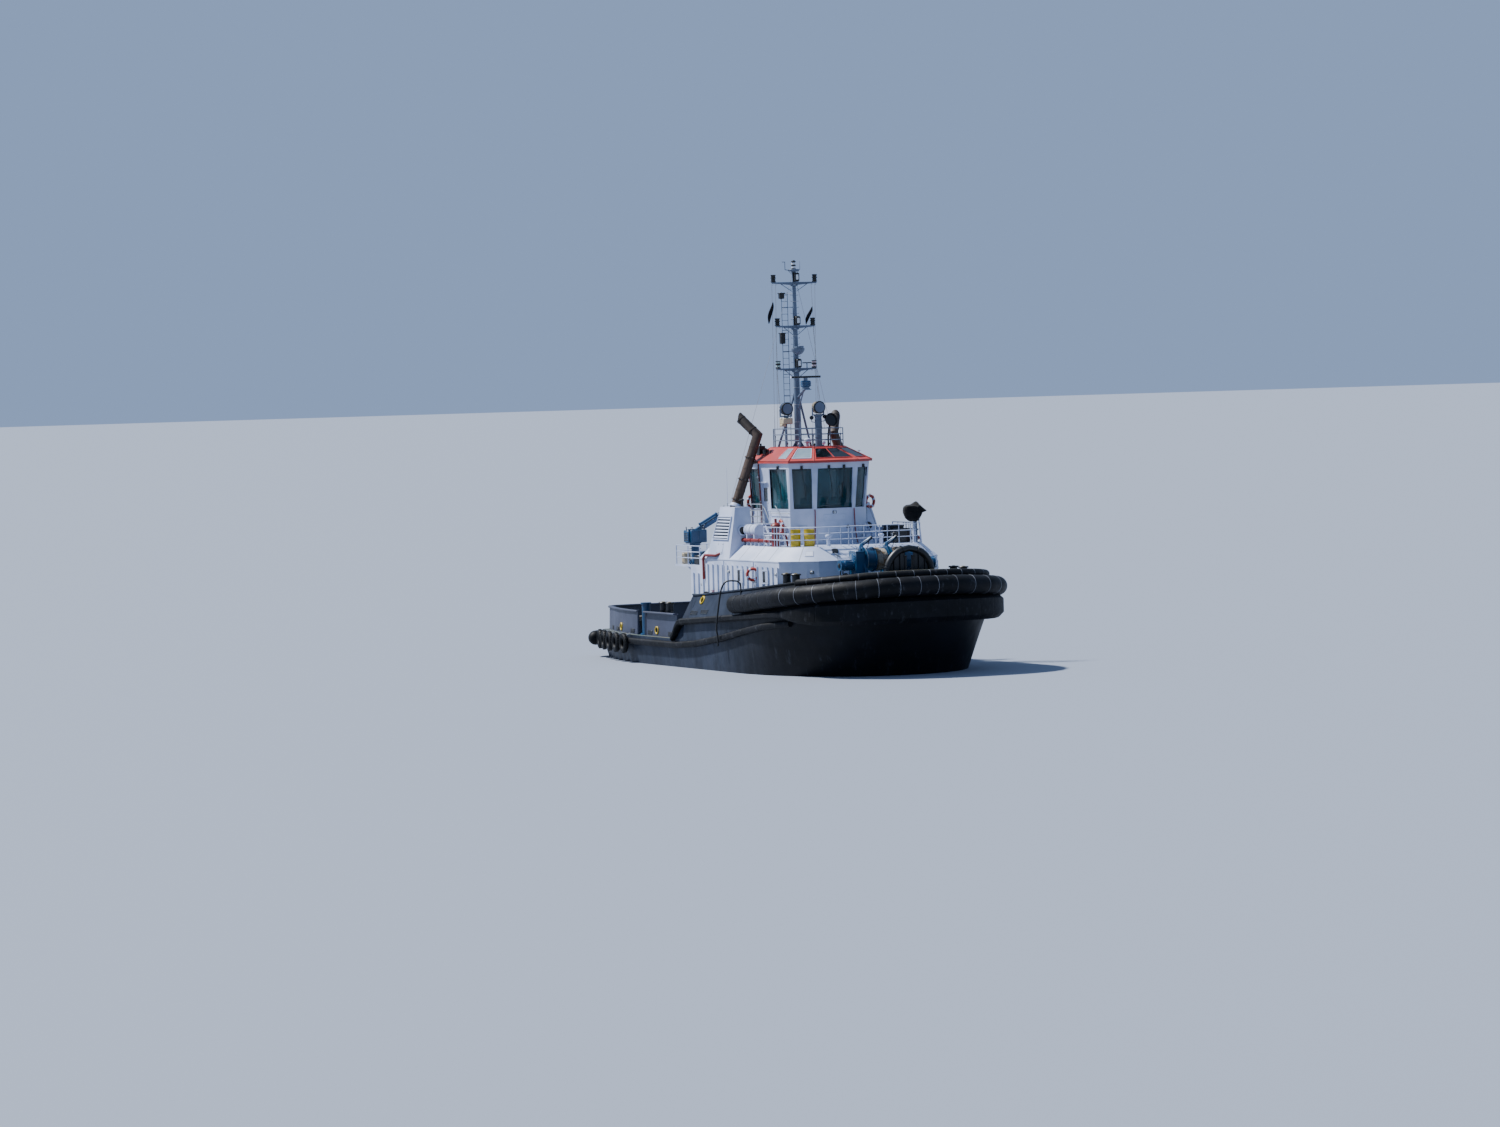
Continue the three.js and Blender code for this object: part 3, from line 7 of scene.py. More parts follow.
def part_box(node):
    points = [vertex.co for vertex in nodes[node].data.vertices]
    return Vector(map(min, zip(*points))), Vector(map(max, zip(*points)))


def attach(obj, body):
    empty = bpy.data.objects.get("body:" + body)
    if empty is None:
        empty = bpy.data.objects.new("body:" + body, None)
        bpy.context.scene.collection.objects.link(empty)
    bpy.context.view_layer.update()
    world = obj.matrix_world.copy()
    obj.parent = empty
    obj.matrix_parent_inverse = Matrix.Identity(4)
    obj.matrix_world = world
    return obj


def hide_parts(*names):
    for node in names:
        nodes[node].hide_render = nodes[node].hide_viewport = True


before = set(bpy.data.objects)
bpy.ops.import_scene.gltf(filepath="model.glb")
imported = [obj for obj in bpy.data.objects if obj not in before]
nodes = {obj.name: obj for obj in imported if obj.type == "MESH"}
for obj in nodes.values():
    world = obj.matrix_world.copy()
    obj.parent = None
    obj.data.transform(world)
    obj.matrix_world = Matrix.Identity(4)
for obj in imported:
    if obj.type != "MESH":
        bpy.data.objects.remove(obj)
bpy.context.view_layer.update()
print("frame loaded", len(nodes), "nodes")

# Photograph: size, place of the waterline origin, height of the horizon
photoWidth = 1500
photoHeight = 1127
originPixel = (792, 665)
focalPixels = 4850
cameraSpec = {"azimuth": 65, "distance": 255, "height": 14.7, "horizonY": 385, "roll": 1.6}


# A vector straight up
def lift(height):
    return Vector((0, 0, height))


def makeCamera(spec):
    data = bpy.data.cameras.new("photoCamera")
    data.sensor_width = 36
    data.lens = focalPixels / photoWidth * 36
    data.clip_start = 1
    data.clip_end = 6000
    camera = bpy.data.objects.new("photoCamera", data)
    bpy.context.scene.collection.objects.link(camera)
    turn = radians(spec["azimuth"])
    back = Vector((sin(turn), -cos(turn), 0))
    camera.location = back * spec["distance"] + lift(spec["height"])
    # The horizon's height gives the pitch, and the origin's pixel gives the heading
    pitch = atan((photoHeight / 2 - spec["horizonY"]) / focalPixels)
    heading = atan((originPixel[0] - photoWidth / 2) / focalPixels)
    side = back.cross(lift(1)).normalized()
    forward = -back * cos(heading) + side * sin(heading)
    forward = forward * cos(pitch) + lift(-sin(pitch))
    camera.rotation_mode = "QUATERNION"
    turnTo = forward.normalized().to_track_quat("-Z", "Y")
    rolled = Quaternion((0, 0, 1), radians(-spec["roll"]))
    camera.rotation_quaternion = turnTo @ rolled
    bpy.context.scene.camera = camera
    return camera


camera = makeCamera(cameraSpec)


# Materials: each is one node tree whose noise follows the ship's own coordinates in metres,
# and this class holds short names for building its nodes
class Tree:
    def __init__(self, name):
        self.material = bpy.data.materials.new(name)
        self.material.use_nodes = True
        self.tree = self.material.node_tree
        self.tree.nodes.clear()
        self.out = self.node("ShaderNodeOutputMaterial")
        self.shader = self.node("ShaderNodeBsdfPrincipled")
        self.link(self.shader.outputs[0], self.out.inputs[0])
        self.coords = self.node("ShaderNodeTexCoord").outputs["Object"]

    def node(self, kind, **settings):
        made = self.tree.nodes.new(kind)
        for key, value in settings.items():
            setattr(made, key, value)
        return made

    def link(self, source, target):
        self.tree.links.new(source, target)

    # A number or a colour is set on the socket itself, and a node's output is linked to it
    def give(self, socket, value):
        if isinstance(value, (int, float)):
            socket.default_value = value
        elif isinstance(value, tuple):
            socket.default_value = (*value, 1)
        else:
            self.link(value, socket)

    def shade(self, name, value):
        self.give(self.shader.inputs[name], value)

    # Noise with this many features a metre, along each axis or along all
    def noise(self, factors, detail=4, roughness=0.6):
        mapping = self.node("ShaderNodeMapping")
        mapping.inputs["Scale"].default_value = factors if isinstance(factors, tuple) else (factors,) * 3
        self.link(self.coords, mapping.inputs["Vector"])
        made = self.node("ShaderNodeTexNoise")
        self.link(mapping.outputs[0], made.inputs["Vector"])
        for name, value in (("Scale", 1), ("Detail", detail), ("Roughness", roughness)):
            made.inputs[name].default_value = value
        return made.outputs["Fac"]

    def ramp(self, source, low, high):
        made = self.node("ShaderNodeMapRange", interpolation_type="SMOOTHSTEP")
        made.inputs["From Min"].default_value = low
        made.inputs["From Max"].default_value = high
        self.link(source, made.inputs["Value"])
        return made.outputs[0]

    def maths(self, operation, a, b=None):
        made = self.node("ShaderNodeMath", operation=operation)
        self.give(made.inputs[0], a)
        if b is not None:
            self.give(made.inputs[1], b)
        return made.outputs[0]

    def times(self, a, b):
        return self.maths("MULTIPLY", a, b)

    def plus(self, a, b):
        return self.maths("ADD", a, b)

    # A sine wave along a value, folded upwards
    def wave(self, value, factor):
        return self.maths("ABSOLUTE", self.maths("SINE", self.times(value, factor)))

    def mix(self, factor, a, b):
        made = self.node("ShaderNodeMix", data_type="RGBA")
        for index, value in ((0, factor), (6, a), (7, b)):
            self.give(made.inputs[index], value)
        return made.outputs[2]

    # Two tones that take turns in soft patches
    def patches(self, factors, detail, low, high, first, second, roughness=0.6):
        share = self.ramp(self.noise(factors, detail, roughness), low, high)
        return self.mix(share, rgb(first), rgb(second))

    # A value that drifts upwards from its base by up to an amount
    def varied(self, factors, amount, base):
        return self.plus(self.times(self.noise(factors), amount), base)

    def part(self, index, of="coords"):
        source = self.coords if of == "coords" else self.node("ShaderNodeNewGeometry").outputs["Normal"]
        made = self.node("ShaderNodeSeparateXYZ")
        self.link(source, made.inputs[0])
        return made.outputs[index]

    def bump(self, height, strength, distance):
        made = self.node("ShaderNodeBump")
        made.inputs["Strength"].default_value = strength
        made.inputs["Distance"].default_value = distance
        self.link(height, made.inputs["Height"])
        self.link(made.outputs[0], self.shader.inputs["Normal"])


def rgb(code):
    values = [int(code[i:i + 2], 16) / 255 for i in (0, 2, 4)]
    return tuple(v / 12.92 if v <= 0.04045 else ((v + 0.055) / 1.055) ** 2.4 for v in values)


# Paints, columns: colour, second tone, rust or grime colour, how much of it, roughness, bump in metres
paints = {
    "white": ("bfc7dc", "a6b1c9", "7d7469", 0.18, 0.36, 0.004),
    "orange": ("ad3d37", "97312d", "61302a", 0.26, 0.46, 0.004),
    "red": ("7c1f1a", "651915", "3f221c", 0.3, 0.42, 0.003),
    "blue": ("0d466e", "0a3655", "4b3225", 0.25, 0.34, 0.004),
    "mastGrey": ("5c6a7e", "4d5a6d", "433f3a", 0.25, 0.42, 0.003),
    "black": ("08090b", "0f1013", "4a3a30", 0.18, 0.42, 0.004),
    # Dark grey paint, its bluish lightness also standing for a painted reflection of the sky on the inward-leaning
    # bulwark plating
    "bulwarkGrey": ("363b4e", "2d3142", "51453f", 0.28, 0.48, 0.006),
    "deckGreen": ("4f5c58", "424d4a", "6a5141", 0.45, 0.8, 0.008),
    "yellow": ("b99e14", "a0890f", "5c4d24", 0.25, 0.42, 0.003),
    "grey": ("8b929b", "7a8088", "5f5348", 0.3, 0.5, 0.004),
    "beige": ("b7a98c", "a09278", "6b5a48", 0.3, 0.55, 0.003),
    "antifouling": ("6d2c25", "58231e", "59624a", 0.55, 0.7, 0.008),
    "galvanised": ("a8adb2", "8f959b", "6f675c", 0.25, 0.4, 0.003),
    "strap": ("7a7d85", "474951", "26262a", 0.6, 0.5, 0.004),
    "strapWorn": ("3d4048", "2c2d33", "1d1e21", 0.6, 0.55, 0.004),
    "darkGlass": ("070b0e", "0d1418", "161c20", 0.2, 0.1, 0.001),
    # pale glass for roof panes: a painted reflection of the sky
    "skylight": ("6f838f", "8b9ba3", "5c6a72", 0.3, 0.14, 0.001),
    "lifebuoy": ("9e2413", "8a1f10", "5b2c20", 0.2, 0.5, 0.003),
}


def makePaint(name, row):
    base, second, grime, amount, roughness, bump = row
    t = Tree(name)
    colour = t.patches(0.55, 3, 0.35, 0.68, base, second)
    # Runs of dirt and rust fall down the vertical faces
    streaks = t.ramp(t.noise((5.5, 5.5, 0.32), 5, 0.68), 0.6, 0.8)
    where = t.ramp(t.noise((0.9, 0.9, 0.5)), 0.44, 0.66)
    specks = t.ramp(t.noise(11, 5, 0.7), 0.64, 0.76)
    dirt = t.times(t.maths("MAXIMUM", t.times(streaks, where), t.times(specks, 0.6)), amount)
    t.shade("Base Color", t.mix(dirt, colour, rgb(grime)))
    t.shade("Roughness", t.varied(2.3, 0.22, roughness - 0.11))
    t.bump(t.plus(t.times(t.noise(9, 5, 0.7), 0.3), t.noise(1.6, 2)), 0.35, bump * 3)
    return t.material


def makeHullPaint():
    t = Tree("hullPaint")
    t.shade("Specular IOR Level", 0.16)
    x, z, up = t.part(0), t.part(2), t.part(2, "normal")
    tone = t.patches((0.35, 0.35, 0.6), 4, 0.35, 0.7, "06080c", "0d1017")
    # The hull is painted lighter and bluer towards the stern: painted sunlight on the after side, with the bow left
    # dark as painted shade
    sunlitAft = t.patches((0.9, 0.9, 0.35), 5, 0.3, 0.75, "1a212e", "303848", 0.7)
    tone = t.mix(t.ramp(x, 10.5, 1), tone, sunlitAft)
    # Light vertical streaks, strongest towards the waterline: painted glints of sunlight on the plating
    glintStreaks = t.ramp(t.noise((2.6, 2.6, 0.22), 6, 0.7), 0.56, 0.74)
    tone = t.mix(t.times(glintStreaks, t.times(t.ramp(z, 2.6, 0.2), 0.42)), tone, rgb("4c505a"))
    rust = t.ramp(t.noise((4.5, 4.5, 0.4), 6, 0.72), 0.62, 0.78)
    tone = t.mix(t.times(rust, 0.4), tone, rgb("4a3027"))
    fouling = t.patches((1.4, 1.4, 2.2), 5, 0.45, 0.7, "6a2b25", "4d4438")
    wet = t.ramp(t.plus(z, t.times(t.noise((1.2, 1.2, 0.1), 3), 0.1)), 0, -0.04)
    tone = t.mix(wet, tone, fouling)
    deck = t.patches(1.1, 5, 0.4, 0.65, "4e5a57", "5d5a50")
    onDeck = t.times(t.ramp(up, 0.75, 0.85), t.ramp(z, 1.2, 1.3))
    t.shade("Base Color", t.mix(onDeck, tone, deck))
    t.shade("Roughness", t.plus(t.varied(1.7, 0.3, 0.36), t.times(onDeck, 0.2)))
    # Plating pulled in between the frames, and butt welds
    frames = t.times(t.wave(x, pi / 0.6), 0.25)
    welds = t.times(t.ramp(t.wave(x, pi / 4.2), 0.02, 0), 0.3)
    t.bump(t.plus(t.plus(frames, t.times(t.noise(0.8), 0.8)), welds), 0.5, 0.02)
    return t.material


def makeRubber(name, base, worn, amount, joints=0):
    t = Tree(name)
    t.shade("Specular IOR Level", 0.16)
    colour = t.patches(0.9, 5, 0.35, 0.7, base, worn)
    scuffs = t.times(t.ramp(t.noise((3.2, 3.2, 1.4), 6, 0.75), 0.55, 0.72), amount)
    t.shade("Base Color", t.mix(scuffs, colour, rgb("6d6f76")))
    t.shade("Roughness", t.varied(4, 0.3, 0.42))
    height = t.noise(7, 6, 0.75)
    if joints:
        # Vertical joints between the blocks across the stem
        groove = t.times(t.ramp(t.wave(t.part(1), pi / joints), 0, 0.09), 2.5)
        height = t.plus(height, t.times(groove, t.ramp(t.part(0), 11.4, 12)))
    t.bump(height, 0.5, 0.02)
    return t.material


def makeGlass():
    t = Tree("windowGlass")
    t.shade("Base Color", t.patches((0.8, 0.8, 0.4), 3, 0.3, 0.7, "0a2229", "255661"))
    t.shade("Roughness", 0.04)
    t.shade("IOR", 1.5)
    t.shade("Alpha", 0.62)
    t.bump(t.noise(1.1, 2), 0.08, 0.01)
    return t.material


def makeExhaust():
    t = Tree("sootedSteel")
    colour = t.patches((2.2, 2.2, 0.8), 6, 0.35, 0.7, "544339", "35291f", 0.7)
    soot = t.times(t.ramp(t.part(2), 11.6, 12.9), 0.85)
    t.shade("Base Color", t.mix(soot, colour, rgb("1a1817")))
    t.shade("Metallic", 0.25)
    t.shade("Roughness", t.varied(5, 0.3, 0.5))
    t.bump(t.noise(8, 6, 0.75), 0.5, 0.012)
    return t.material


def makeBronze():
    t = Tree("castBronze")
    t.shade("Base Color", t.patches(3, 5, 0.35, 0.7, "a8864a", "6f6a48"))
    t.shade("Metallic", 0.85)
    t.shade("Roughness", t.varied(6, 0.25, 0.25))
    t.bump(t.noise(9), 0.25, 0.005)
    return t.material


def makeRope():
    t = Tree("lineRope")
    lay = t.node("ShaderNodeTexWave", wave_type="BANDS", bands_direction="DIAGONAL")
    lay.inputs["Scale"].default_value = 9
    lay.inputs["Distortion"].default_value = 1.5
    t.link(t.coords, lay.inputs["Vector"])
    colour = t.mix(lay.outputs["Fac"], rgb("a9a59c"), rgb("6a6358"))
    t.shade("Base Color", t.mix(t.ramp(t.noise(3, 5), 0.42, 0.6), colour, rgb("6f5a40")))
    t.shade("Roughness", 0.85)
    t.bump(lay.outputs["Fac"], 0.6, 0.02)
    return t.material


def makeCloth(name, base, second):
    t = Tree(name)
    t.shade("Base Color", t.patches(2.4, 5, 0.35, 0.7, base, second))
    t.shade("Roughness", 0.8)
    t.shade("Sheen Weight", 0.04)
    t.shade("Specular IOR Level", 0.25)
    t.bump(t.noise(5, 6, 0.7), 0.5, 0.03)
    return t.material


def makeLamp(name, base):
    t = Tree(name)
    ribs = t.wave(t.part(2), 90)
    t.shade("Base Color", t.mix(ribs, rgb(base), rgb("d8dde2")))
    t.shade("Roughness", 0.12)
    t.bump(ribs, 0.4, 0.01)
    return t.material


materials = {name: makePaint(name, row) for name, row in paints.items()}
materials.update({
    "hull": makeHullPaint(), "glass": makeGlass(), "exhaust": makeExhaust(), "bronze": makeBronze(),
    "rope": makeRope(), "rubber": makeRubber("rubber", "060709", "101116", 0.25),
    "blockRubber": makeRubber("blockRubber", "050608", "0d0e13", 0.22, joints=1.05),
    "tyre": makeRubber("tyre", "090a0b", "131417", 0.2), "cover": makeCloth("coverCloth", "040406", "0a0a0d"),
    "flag": makeCloth("flagCloth", "1b1c24", "30323d"), "seat": makeCloth("seatCloth", "1c1f26", "2a2e37"),
    "lens": makeLamp("lampLens", "e9edf0"), "redLens": makeLamp("redLens", "b3201c"),
    "greenLens": makeLamp("greenLens", "1d8f4a"),
})
print("materials", len(materials))


# CAD nodes: smooth across soft edges, and each gets its finish
def softEdges(angle):
    group = bpy.data.node_groups.new("softEdges", "GeometryNodeTree")
    group.interface.new_socket("Geometry", in_out="INPUT", socket_type="NodeSocketGeometry")
    group.interface.new_socket("Geometry", in_out="OUTPUT", socket_type="NodeSocketGeometry")
    enter = group.nodes.new("NodeGroupInput")
    leave = group.nodes.new("NodeGroupOutput")
    merge = group.nodes.new("GeometryNodeMergeByDistance")
    merge.inputs["Distance"].default_value = 0.0005
    faces = group.nodes.new("GeometryNodeSetShadeSmooth")
    faces.domain = "FACE"
    edges = group.nodes.new("GeometryNodeSetShadeSmooth")
    edges.domain = "EDGE"
    edges.inputs["Shade Smooth"].default_value = False
    measure = group.nodes.new("GeometryNodeInputMeshEdgeAngle")
    compare = group.nodes.new("FunctionNodeCompare")
    compare.data_type = "FLOAT"
    compare.operation = "GREATER_THAN"
    compare.inputs[1].default_value = radians(angle)
    group.links.new(enter.outputs[0], merge.inputs["Geometry"])
    group.links.new(merge.outputs[0], faces.inputs["Geometry"])
    group.links.new(faces.outputs[0], edges.inputs["Geometry"])
    group.links.new(measure.outputs[0], compare.inputs[0])
    group.links.new(compare.outputs[0], edges.inputs["Selection"])
    group.links.new(edges.outputs[0], leave.inputs[0])
    return group


softGroup = softEdges(38)
# The nodes that take each finish; a star stands for one on each side
finishNodes = {
    "hull": "hull forecastle_bulwark",
    "rubber": "bow_fender bow_fender_upper stern_fender lower_strake*",
    "blockRubber": "upper_strake",
    "bulwarkGrey": "stern_bulwark side_bulwark*",
    "white": "deckhouse boat_deck bridge_deck wheelhouse_walls radar_scanner bridge_railing boat_deck_railing "
             "raft_canister deckhouse_door* funnel_casing* wheelhouse_door* wheelhouse_landing*",
    "glass": "wheelhouse_glass_front wheelhouse_glass_aft",
    "orange": "wheelhouse_roof",
    "mastGrey": "mast searchlight_main searchlight_second roof_railing",
    "black": "wheelhouse_floor towing_staple aft_bollards* fore_bollards*",
    "blue": "winch_frame winch_drum* side_post* towing_bitt capstan_base capstan_head crane_pedestal crane_house "
            "crane_boom crane_jib",
    "deckGreen": "hatch_coaming hatch_lid",
    "exhaust": "exhaust*",
    "antifouling": "thruster*",
    "bronze": "propeller*",
}
nodeFinish = {}
for finish, names in finishNodes.items():
    for name in names.split():
        ends = ("_starboard", "_port") if name.endswith("*") else ("",)
        nodeFinish.update({name.rstrip("*") + end: finish for end in ends})
for name, item in nodes.items():
    item.data.materials.clear()
    item.data.materials.append(materials[nodeFinish[name]])
    modifier = item.modifiers.new("softEdges", "NODES")
    modifier.node_group = softGroup
print("CAD nodes finished")


# Radius that closes a turned shape to a point
tip = 0.0001


# Mesh building: points, faces and the finish of each face
class Shape:
    def __init__(self):
        self.points, self.faces, self.slots, self.finishes = [], [], [], []

    def add(self, points, faces, finish, at=None):
        if finish not in self.finishes:
            self.finishes.append(finish)
        start = len(self.points)
        at = placed(at) if isinstance(at, tuple) else at
        self.points += [tuple(at @ Vector(p)) if at else tuple(p) for p in points]
        self.faces += [tuple(i + start for i in face) for face in faces]
        self.slots += [self.finishes.index(finish)] * len(faces)
        return self

    # A box between two corners with its edges chamfered
    def box(self, low, high, finish, bevel=0.012, at=None):
        low, high = [min(a, b) for a, b in zip(low, high)], [max(a, b) for a, b in zip(low, high)]
        bevel = min(bevel, min(b - a for a, b in zip(low, high)) * 0.3)
        points, index = [], {}
        for corner in range(8):
            signs = [corner >> k & 1 for k in range(3)]
            for axis in range(3):
                p = []
                for k in range(3):
                    edge = high[k] if signs[k] else low[k]
                    p.append(edge if k == axis else edge - bevel * (1 if signs[k] else -1))
                index[corner, axis] = len(points)
                points.append(p)
        faces = []
        for axis in range(3):
            u, v = [k for k in range(3) if k != axis]
            for side in (0, 1):
                loop = [(side << axis) | (a << u) | (b << v) for a, b in ((0, 0), (1, 0), (1, 1), (0, 1))]
                faces.append([index[c, axis] for c in loop])
            for a in (0, 1):
                for b in (0, 1):
                    first = (a << u) | (b << v)
                    second = first | (1 << axis)
                    faces.append([index[first, u], index[second, u], index[second, v], index[first, v]])
        for corner in range(8):
            faces.append([index[corner, axis] for axis in range(3)])
        return self.add(points, faces, finish, at)

    # A box given by its middle, its half widths and its two heights
    def block(self, middle, half, low, high, finish, bevel=0.012, at=None):
        (x, y), (a, b) = middle, half
        return self.box((x - a, y - b, low), (x + a, y + b, high), finish, bevel, at)

    # Rings of points joined into a tube, open or closed lengthways
    def rings(self, rings, finish, at=None, closed=False, caps=True):
        count, sides = len(rings), len(rings[0])
        faces = []
        for i in range(count if closed else count - 1):
            j = (i + 1) % count
            for k in range(sides):
                m = (k + 1) % sides
                faces.append((i * sides + k, i * sides + m, j * sides + m, j * sides + k))
        if caps and not closed:
            faces.append(tuple(range(sides)))
            faces.append(tuple((count - 1) * sides + k for k in range(sides)))
        return self.add([p for ring in rings for p in ring], faces, finish, at)

    # A round or shaped section swept along points; the radius may change along the way
    def tube(self, path, radius, finish, sides=6, closed=False, section=None, up=None, at=None):
        path = [Vector(p) for p in path]
        count = len(path)
        radii = radius if isinstance(radius, (list, tuple)) else [radius] * count
        out, normal = [], None
        for i, p in enumerate(path):
            before = path[i - 1] if i or closed else None
            after = path[(i + 1) % count] if i < count - 1 or closed else None
            a = (p - before).normalized() if before is not None else (after - p).normalized()
            b = (after - p).normalized() if after is not None else a
            tangent = (a + b).normalized()
            if normal is None or up is not None:
                guide = Vector(up) if up is not None else (lift(1) if abs(tangent.z) < 0.9 else Vector((1, 0, 0)))
                normal = (guide - tangent * guide.dot(tangent)).normalized()
            else:
                normal = (normal - tangent * normal.dot(tangent)).normalized()
            side = tangent.cross(normal)
            stretch = 1 / max((tangent.dot(a)), 0.5)
            bend = b - a
            bend = bend.normalized() if bend.length > 1e-4 else None
            shape = section or [(cos(2 * pi * k / sides), sin(2 * pi * k / sides)) for k in range(sides)]
            ring = []
            for u, v in shape:
                offset = side * (u * radii[i]) + normal * (v * radii[i])
                if bend is not None:
                    offset += bend * offset.dot(bend) * (stretch - 1)
                ring.append(p + offset)
            out.append(ring)
        return self.rings(out, finish, closed=closed, at=at)

    # A profile of (radius, height) turned about the local Z axis
    def lathe(self, profile, finish, at=None, steps=24, closed=False):
        rings = [[(r * cos(2 * pi * k / steps), r * sin(2 * pi * k / steps), z)
                  for k in range(steps)] for r, z in profile]
        return self.rings(rings, finish, closed=closed, caps=not closed, at=at)

    # A flat band between two radii and two heights
    def collar(self, inner, outer, low, high, finish, at, steps):
        profile = [(inner, low), (outer, low), (outer, high), (inner, high)]
        return self.lathe(profile, finish, at, steps, closed=True)

    # A plain round with a slightly raised top
    def stud(self, radius, height, top, finish, at, steps=6):
        return self.lathe([(radius, 0), (radius, height), (tip, top)], finish, at, steps)

    # An upright round bar
    def post(self, x, y, low, high, radius, finish, sides=8):
        return self.tube([(x, y, low), (x, y, high)], radius, finish, sides)

    # A round bar bent into a full circle
    def ring(self, major, minor, finish, at=None, steps=32, sides=10):
        circle = [(major * cos(2 * pi * k / steps), major * sin(2 * pi * k / steps), 0) for k in range(steps)]
        return self.tube(circle, minor, finish, sides, closed=True, up=(0, 0, 1), at=at)

    # The mesh object, on the part's body
    def build(self, name, body, slot=None, replaces=(), smooth=38):
        mesh = bpy.data.meshes.new(name)
        mesh.from_pydata(self.points, [], self.faces)
        for finish in self.finishes:
            mesh.materials.append(materials[finish])
        mesh.polygons.foreach_set("material_index", self.slots)
        work = bmesh.new()
        work.from_mesh(mesh)
        bmesh.ops.recalc_face_normals(work, faces=work.faces)
        work.to_mesh(mesh)
        work.free()
        mesh.polygons.foreach_set("use_smooth", [True] * len(mesh.polygons))
        mesh.set_sharp_from_angle(angle=radians(smooth))
        piece = bpy.data.objects.new(name, mesh)
        bpy.context.scene.collection.objects.link(piece)
        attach(piece, body)
        if replaces:
            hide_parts(*replaces)
        return piece


# A place whose local Z runs along an axis and whose local Y leans towards up
def placed(at, axis=(0, 0, 1), up=(0, 0, 1)):
    z = Vector(axis).normalized()
    guide = Vector(up) if abs(Vector(up).normalized().dot(z)) < 0.99 else Vector((1, 0, 0))
    y = (guide - z * guide.dot(z)).normalized()
    x = y.cross(z)
    return Matrix.Translation(at) @ Matrix((x, y, z)).transposed().to_4x4()


# Places spread evenly round an axis, each moved outwards along its own X and then along the axis
def around(place, count, first=0, reach=0, height=0):
    for k in range(count):
        turn = Matrix.Rotation(2 * pi / count * k + first, 4, "Z")
        yield place @ turn @ Matrix.Translation((reach, 0, height))


# Bolt heads in a circle
def bolts(shape, place, count, reach, size=0.014, height=0.016, top=None):
    for bolt in around(place, count, reach=reach):
        shape.stud(size, height, height * 1.05 if top is None else top, "galvanised", bolt)


# Upright three-cornered plates round a foot
def gussets(shape, place, count, first, inner, outer, height, half, finish):
    for turn in around(place, count, first):
        shape.rings([[(inner, y, 0), (outer, y, 0), (inner, y, height)] for y in (-half, half)], finish, turn)


# A smooth curve through all its points
def softPath(points, steps=6):
    points = [Vector(p) for p in points]
    run = []
    for i in range(len(points) - 1):
        p0, p1 = points[max(i - 1, 0)], points[i]
        p2, p3 = points[i + 1], points[min(i + 2, len(points) - 1)]
        for k in range(steps):
            t = k / steps
            square = (2 * p0 - 5 * p1 + 4 * p2 - p3) * t * t
            run.append(0.5 * (2 * p1 + (p2 - p0) * t + square + (3 * p1 - p0 - 3 * p2 + p3) * t ** 3))
    return run + [points[-1]]


def tableAt(rows, x):
    if x <= rows[0][0]:
        return rows[0][1]
    for (x0, v0), (x1, v1) in zip(rows, rows[1:]):
        if x <= x1:
            return v0 + (v1 - v0) * (x - x0) / (x1 - x0)
    return rows[-1][1]


# Plan lines of the hull, in metres
deckLine = {"sternX": -15.5, "sternHalf": 4.45, "corner": 1.1, "fullX": -6.5, "half": 5.95, "bowX": 9.2,
            "tipX": 15.25, "power": 2.5}
strakeLine = {**deckLine, "bowX": 8, "tipX": 14.95, "power": 2.4}
fenderLine = {"sternX": -15, "sternHalf": 4, "corner": 1.1, "fullX": -6.5, "half": 5.975, "bowX": 9.6, "tipX": 15.7,
              "power": 2.55}
upperFenderLine = {**fenderLine, "half": 5.4, "tipX": 15.13}
bulwarkTopLine = {**fenderLine, "half": 5.15, "tipX": 14.85}
bulwarkFootLine = {**fenderLine, "half": 5.7, "bowX": 9.3, "tipX": 15.08, "power": 2.5}
fenderZ = [(-0.7, 3.12), (6.9, 3.6), (11.1, 4.02), (13.5, 4.23), (15.2, 4.42), (15.7, 4.52)]
bulwarkTopZ = [(-0.7, 3.8), (6.9, 4.36), (11.1, 4.72), (13.5, 5.03), (15.2, 5.26)]
strakeZ = [(-15.5, 1.18), (-1.75, 1.18), (0.7, 1.34), (4, 1.73), (7, 2.2), (9.1, 2.5), (12.1, 2.78), (15, 2.95)]


def foreDeckAt(x):
    return 2.62 + 0.062 * (x + 0.7)


def halfWidth(line, x, grow=0):
    half = line["half"] + grow
    tip = line["tipX"] + grow
    if x > line["bowX"]:
        share = min((x - line["bowX"]) / (tip - line["bowX"]), 1)
        return half * (1 - share ** line["power"]) ** (1 / line["power"])
    if x < line["fullX"]:
        share = (line["fullX"] - x) / (line["fullX"] - line["sternX"])
        return half - (line["half"] - line["sternHalf"]) * share ** 2
    return half


# Starboard side from startX round the bow to port, in steps of about the same length
def bowRun(line, startX, zAt, pitch=0.1, grow=0):
    half = line["half"] + grow
    tip = line["tipX"] + grow
    fine = [(startX + (line["bowX"] - startX) * k / 60, half) for k in range(60)] if startX < line["bowX"] else []
    for k in range(241):
        angle = pi / 2 * k / 240
        x = line["bowX"] + (tip - line["bowX"]) * sin(angle) ** (2 / line["power"])
        if x >= startX:
            fine.append((x, half * max(cos(angle), 0) ** (2 / line["power"])))
    run = [Vector((x, -y, zAt(x))) for x, y in fine]
    run += [Vector((x, y, zAt(x))) for x, y in reversed(fine[:-1])]
    return evenly(run, pitch)


# Half an outline along the starboard side, then back along the port side
def bothSides(half, z):
    return [Vector((x, -y, z)) for x, y in half] + [Vector((x, y, z)) for x, y in reversed(half)]


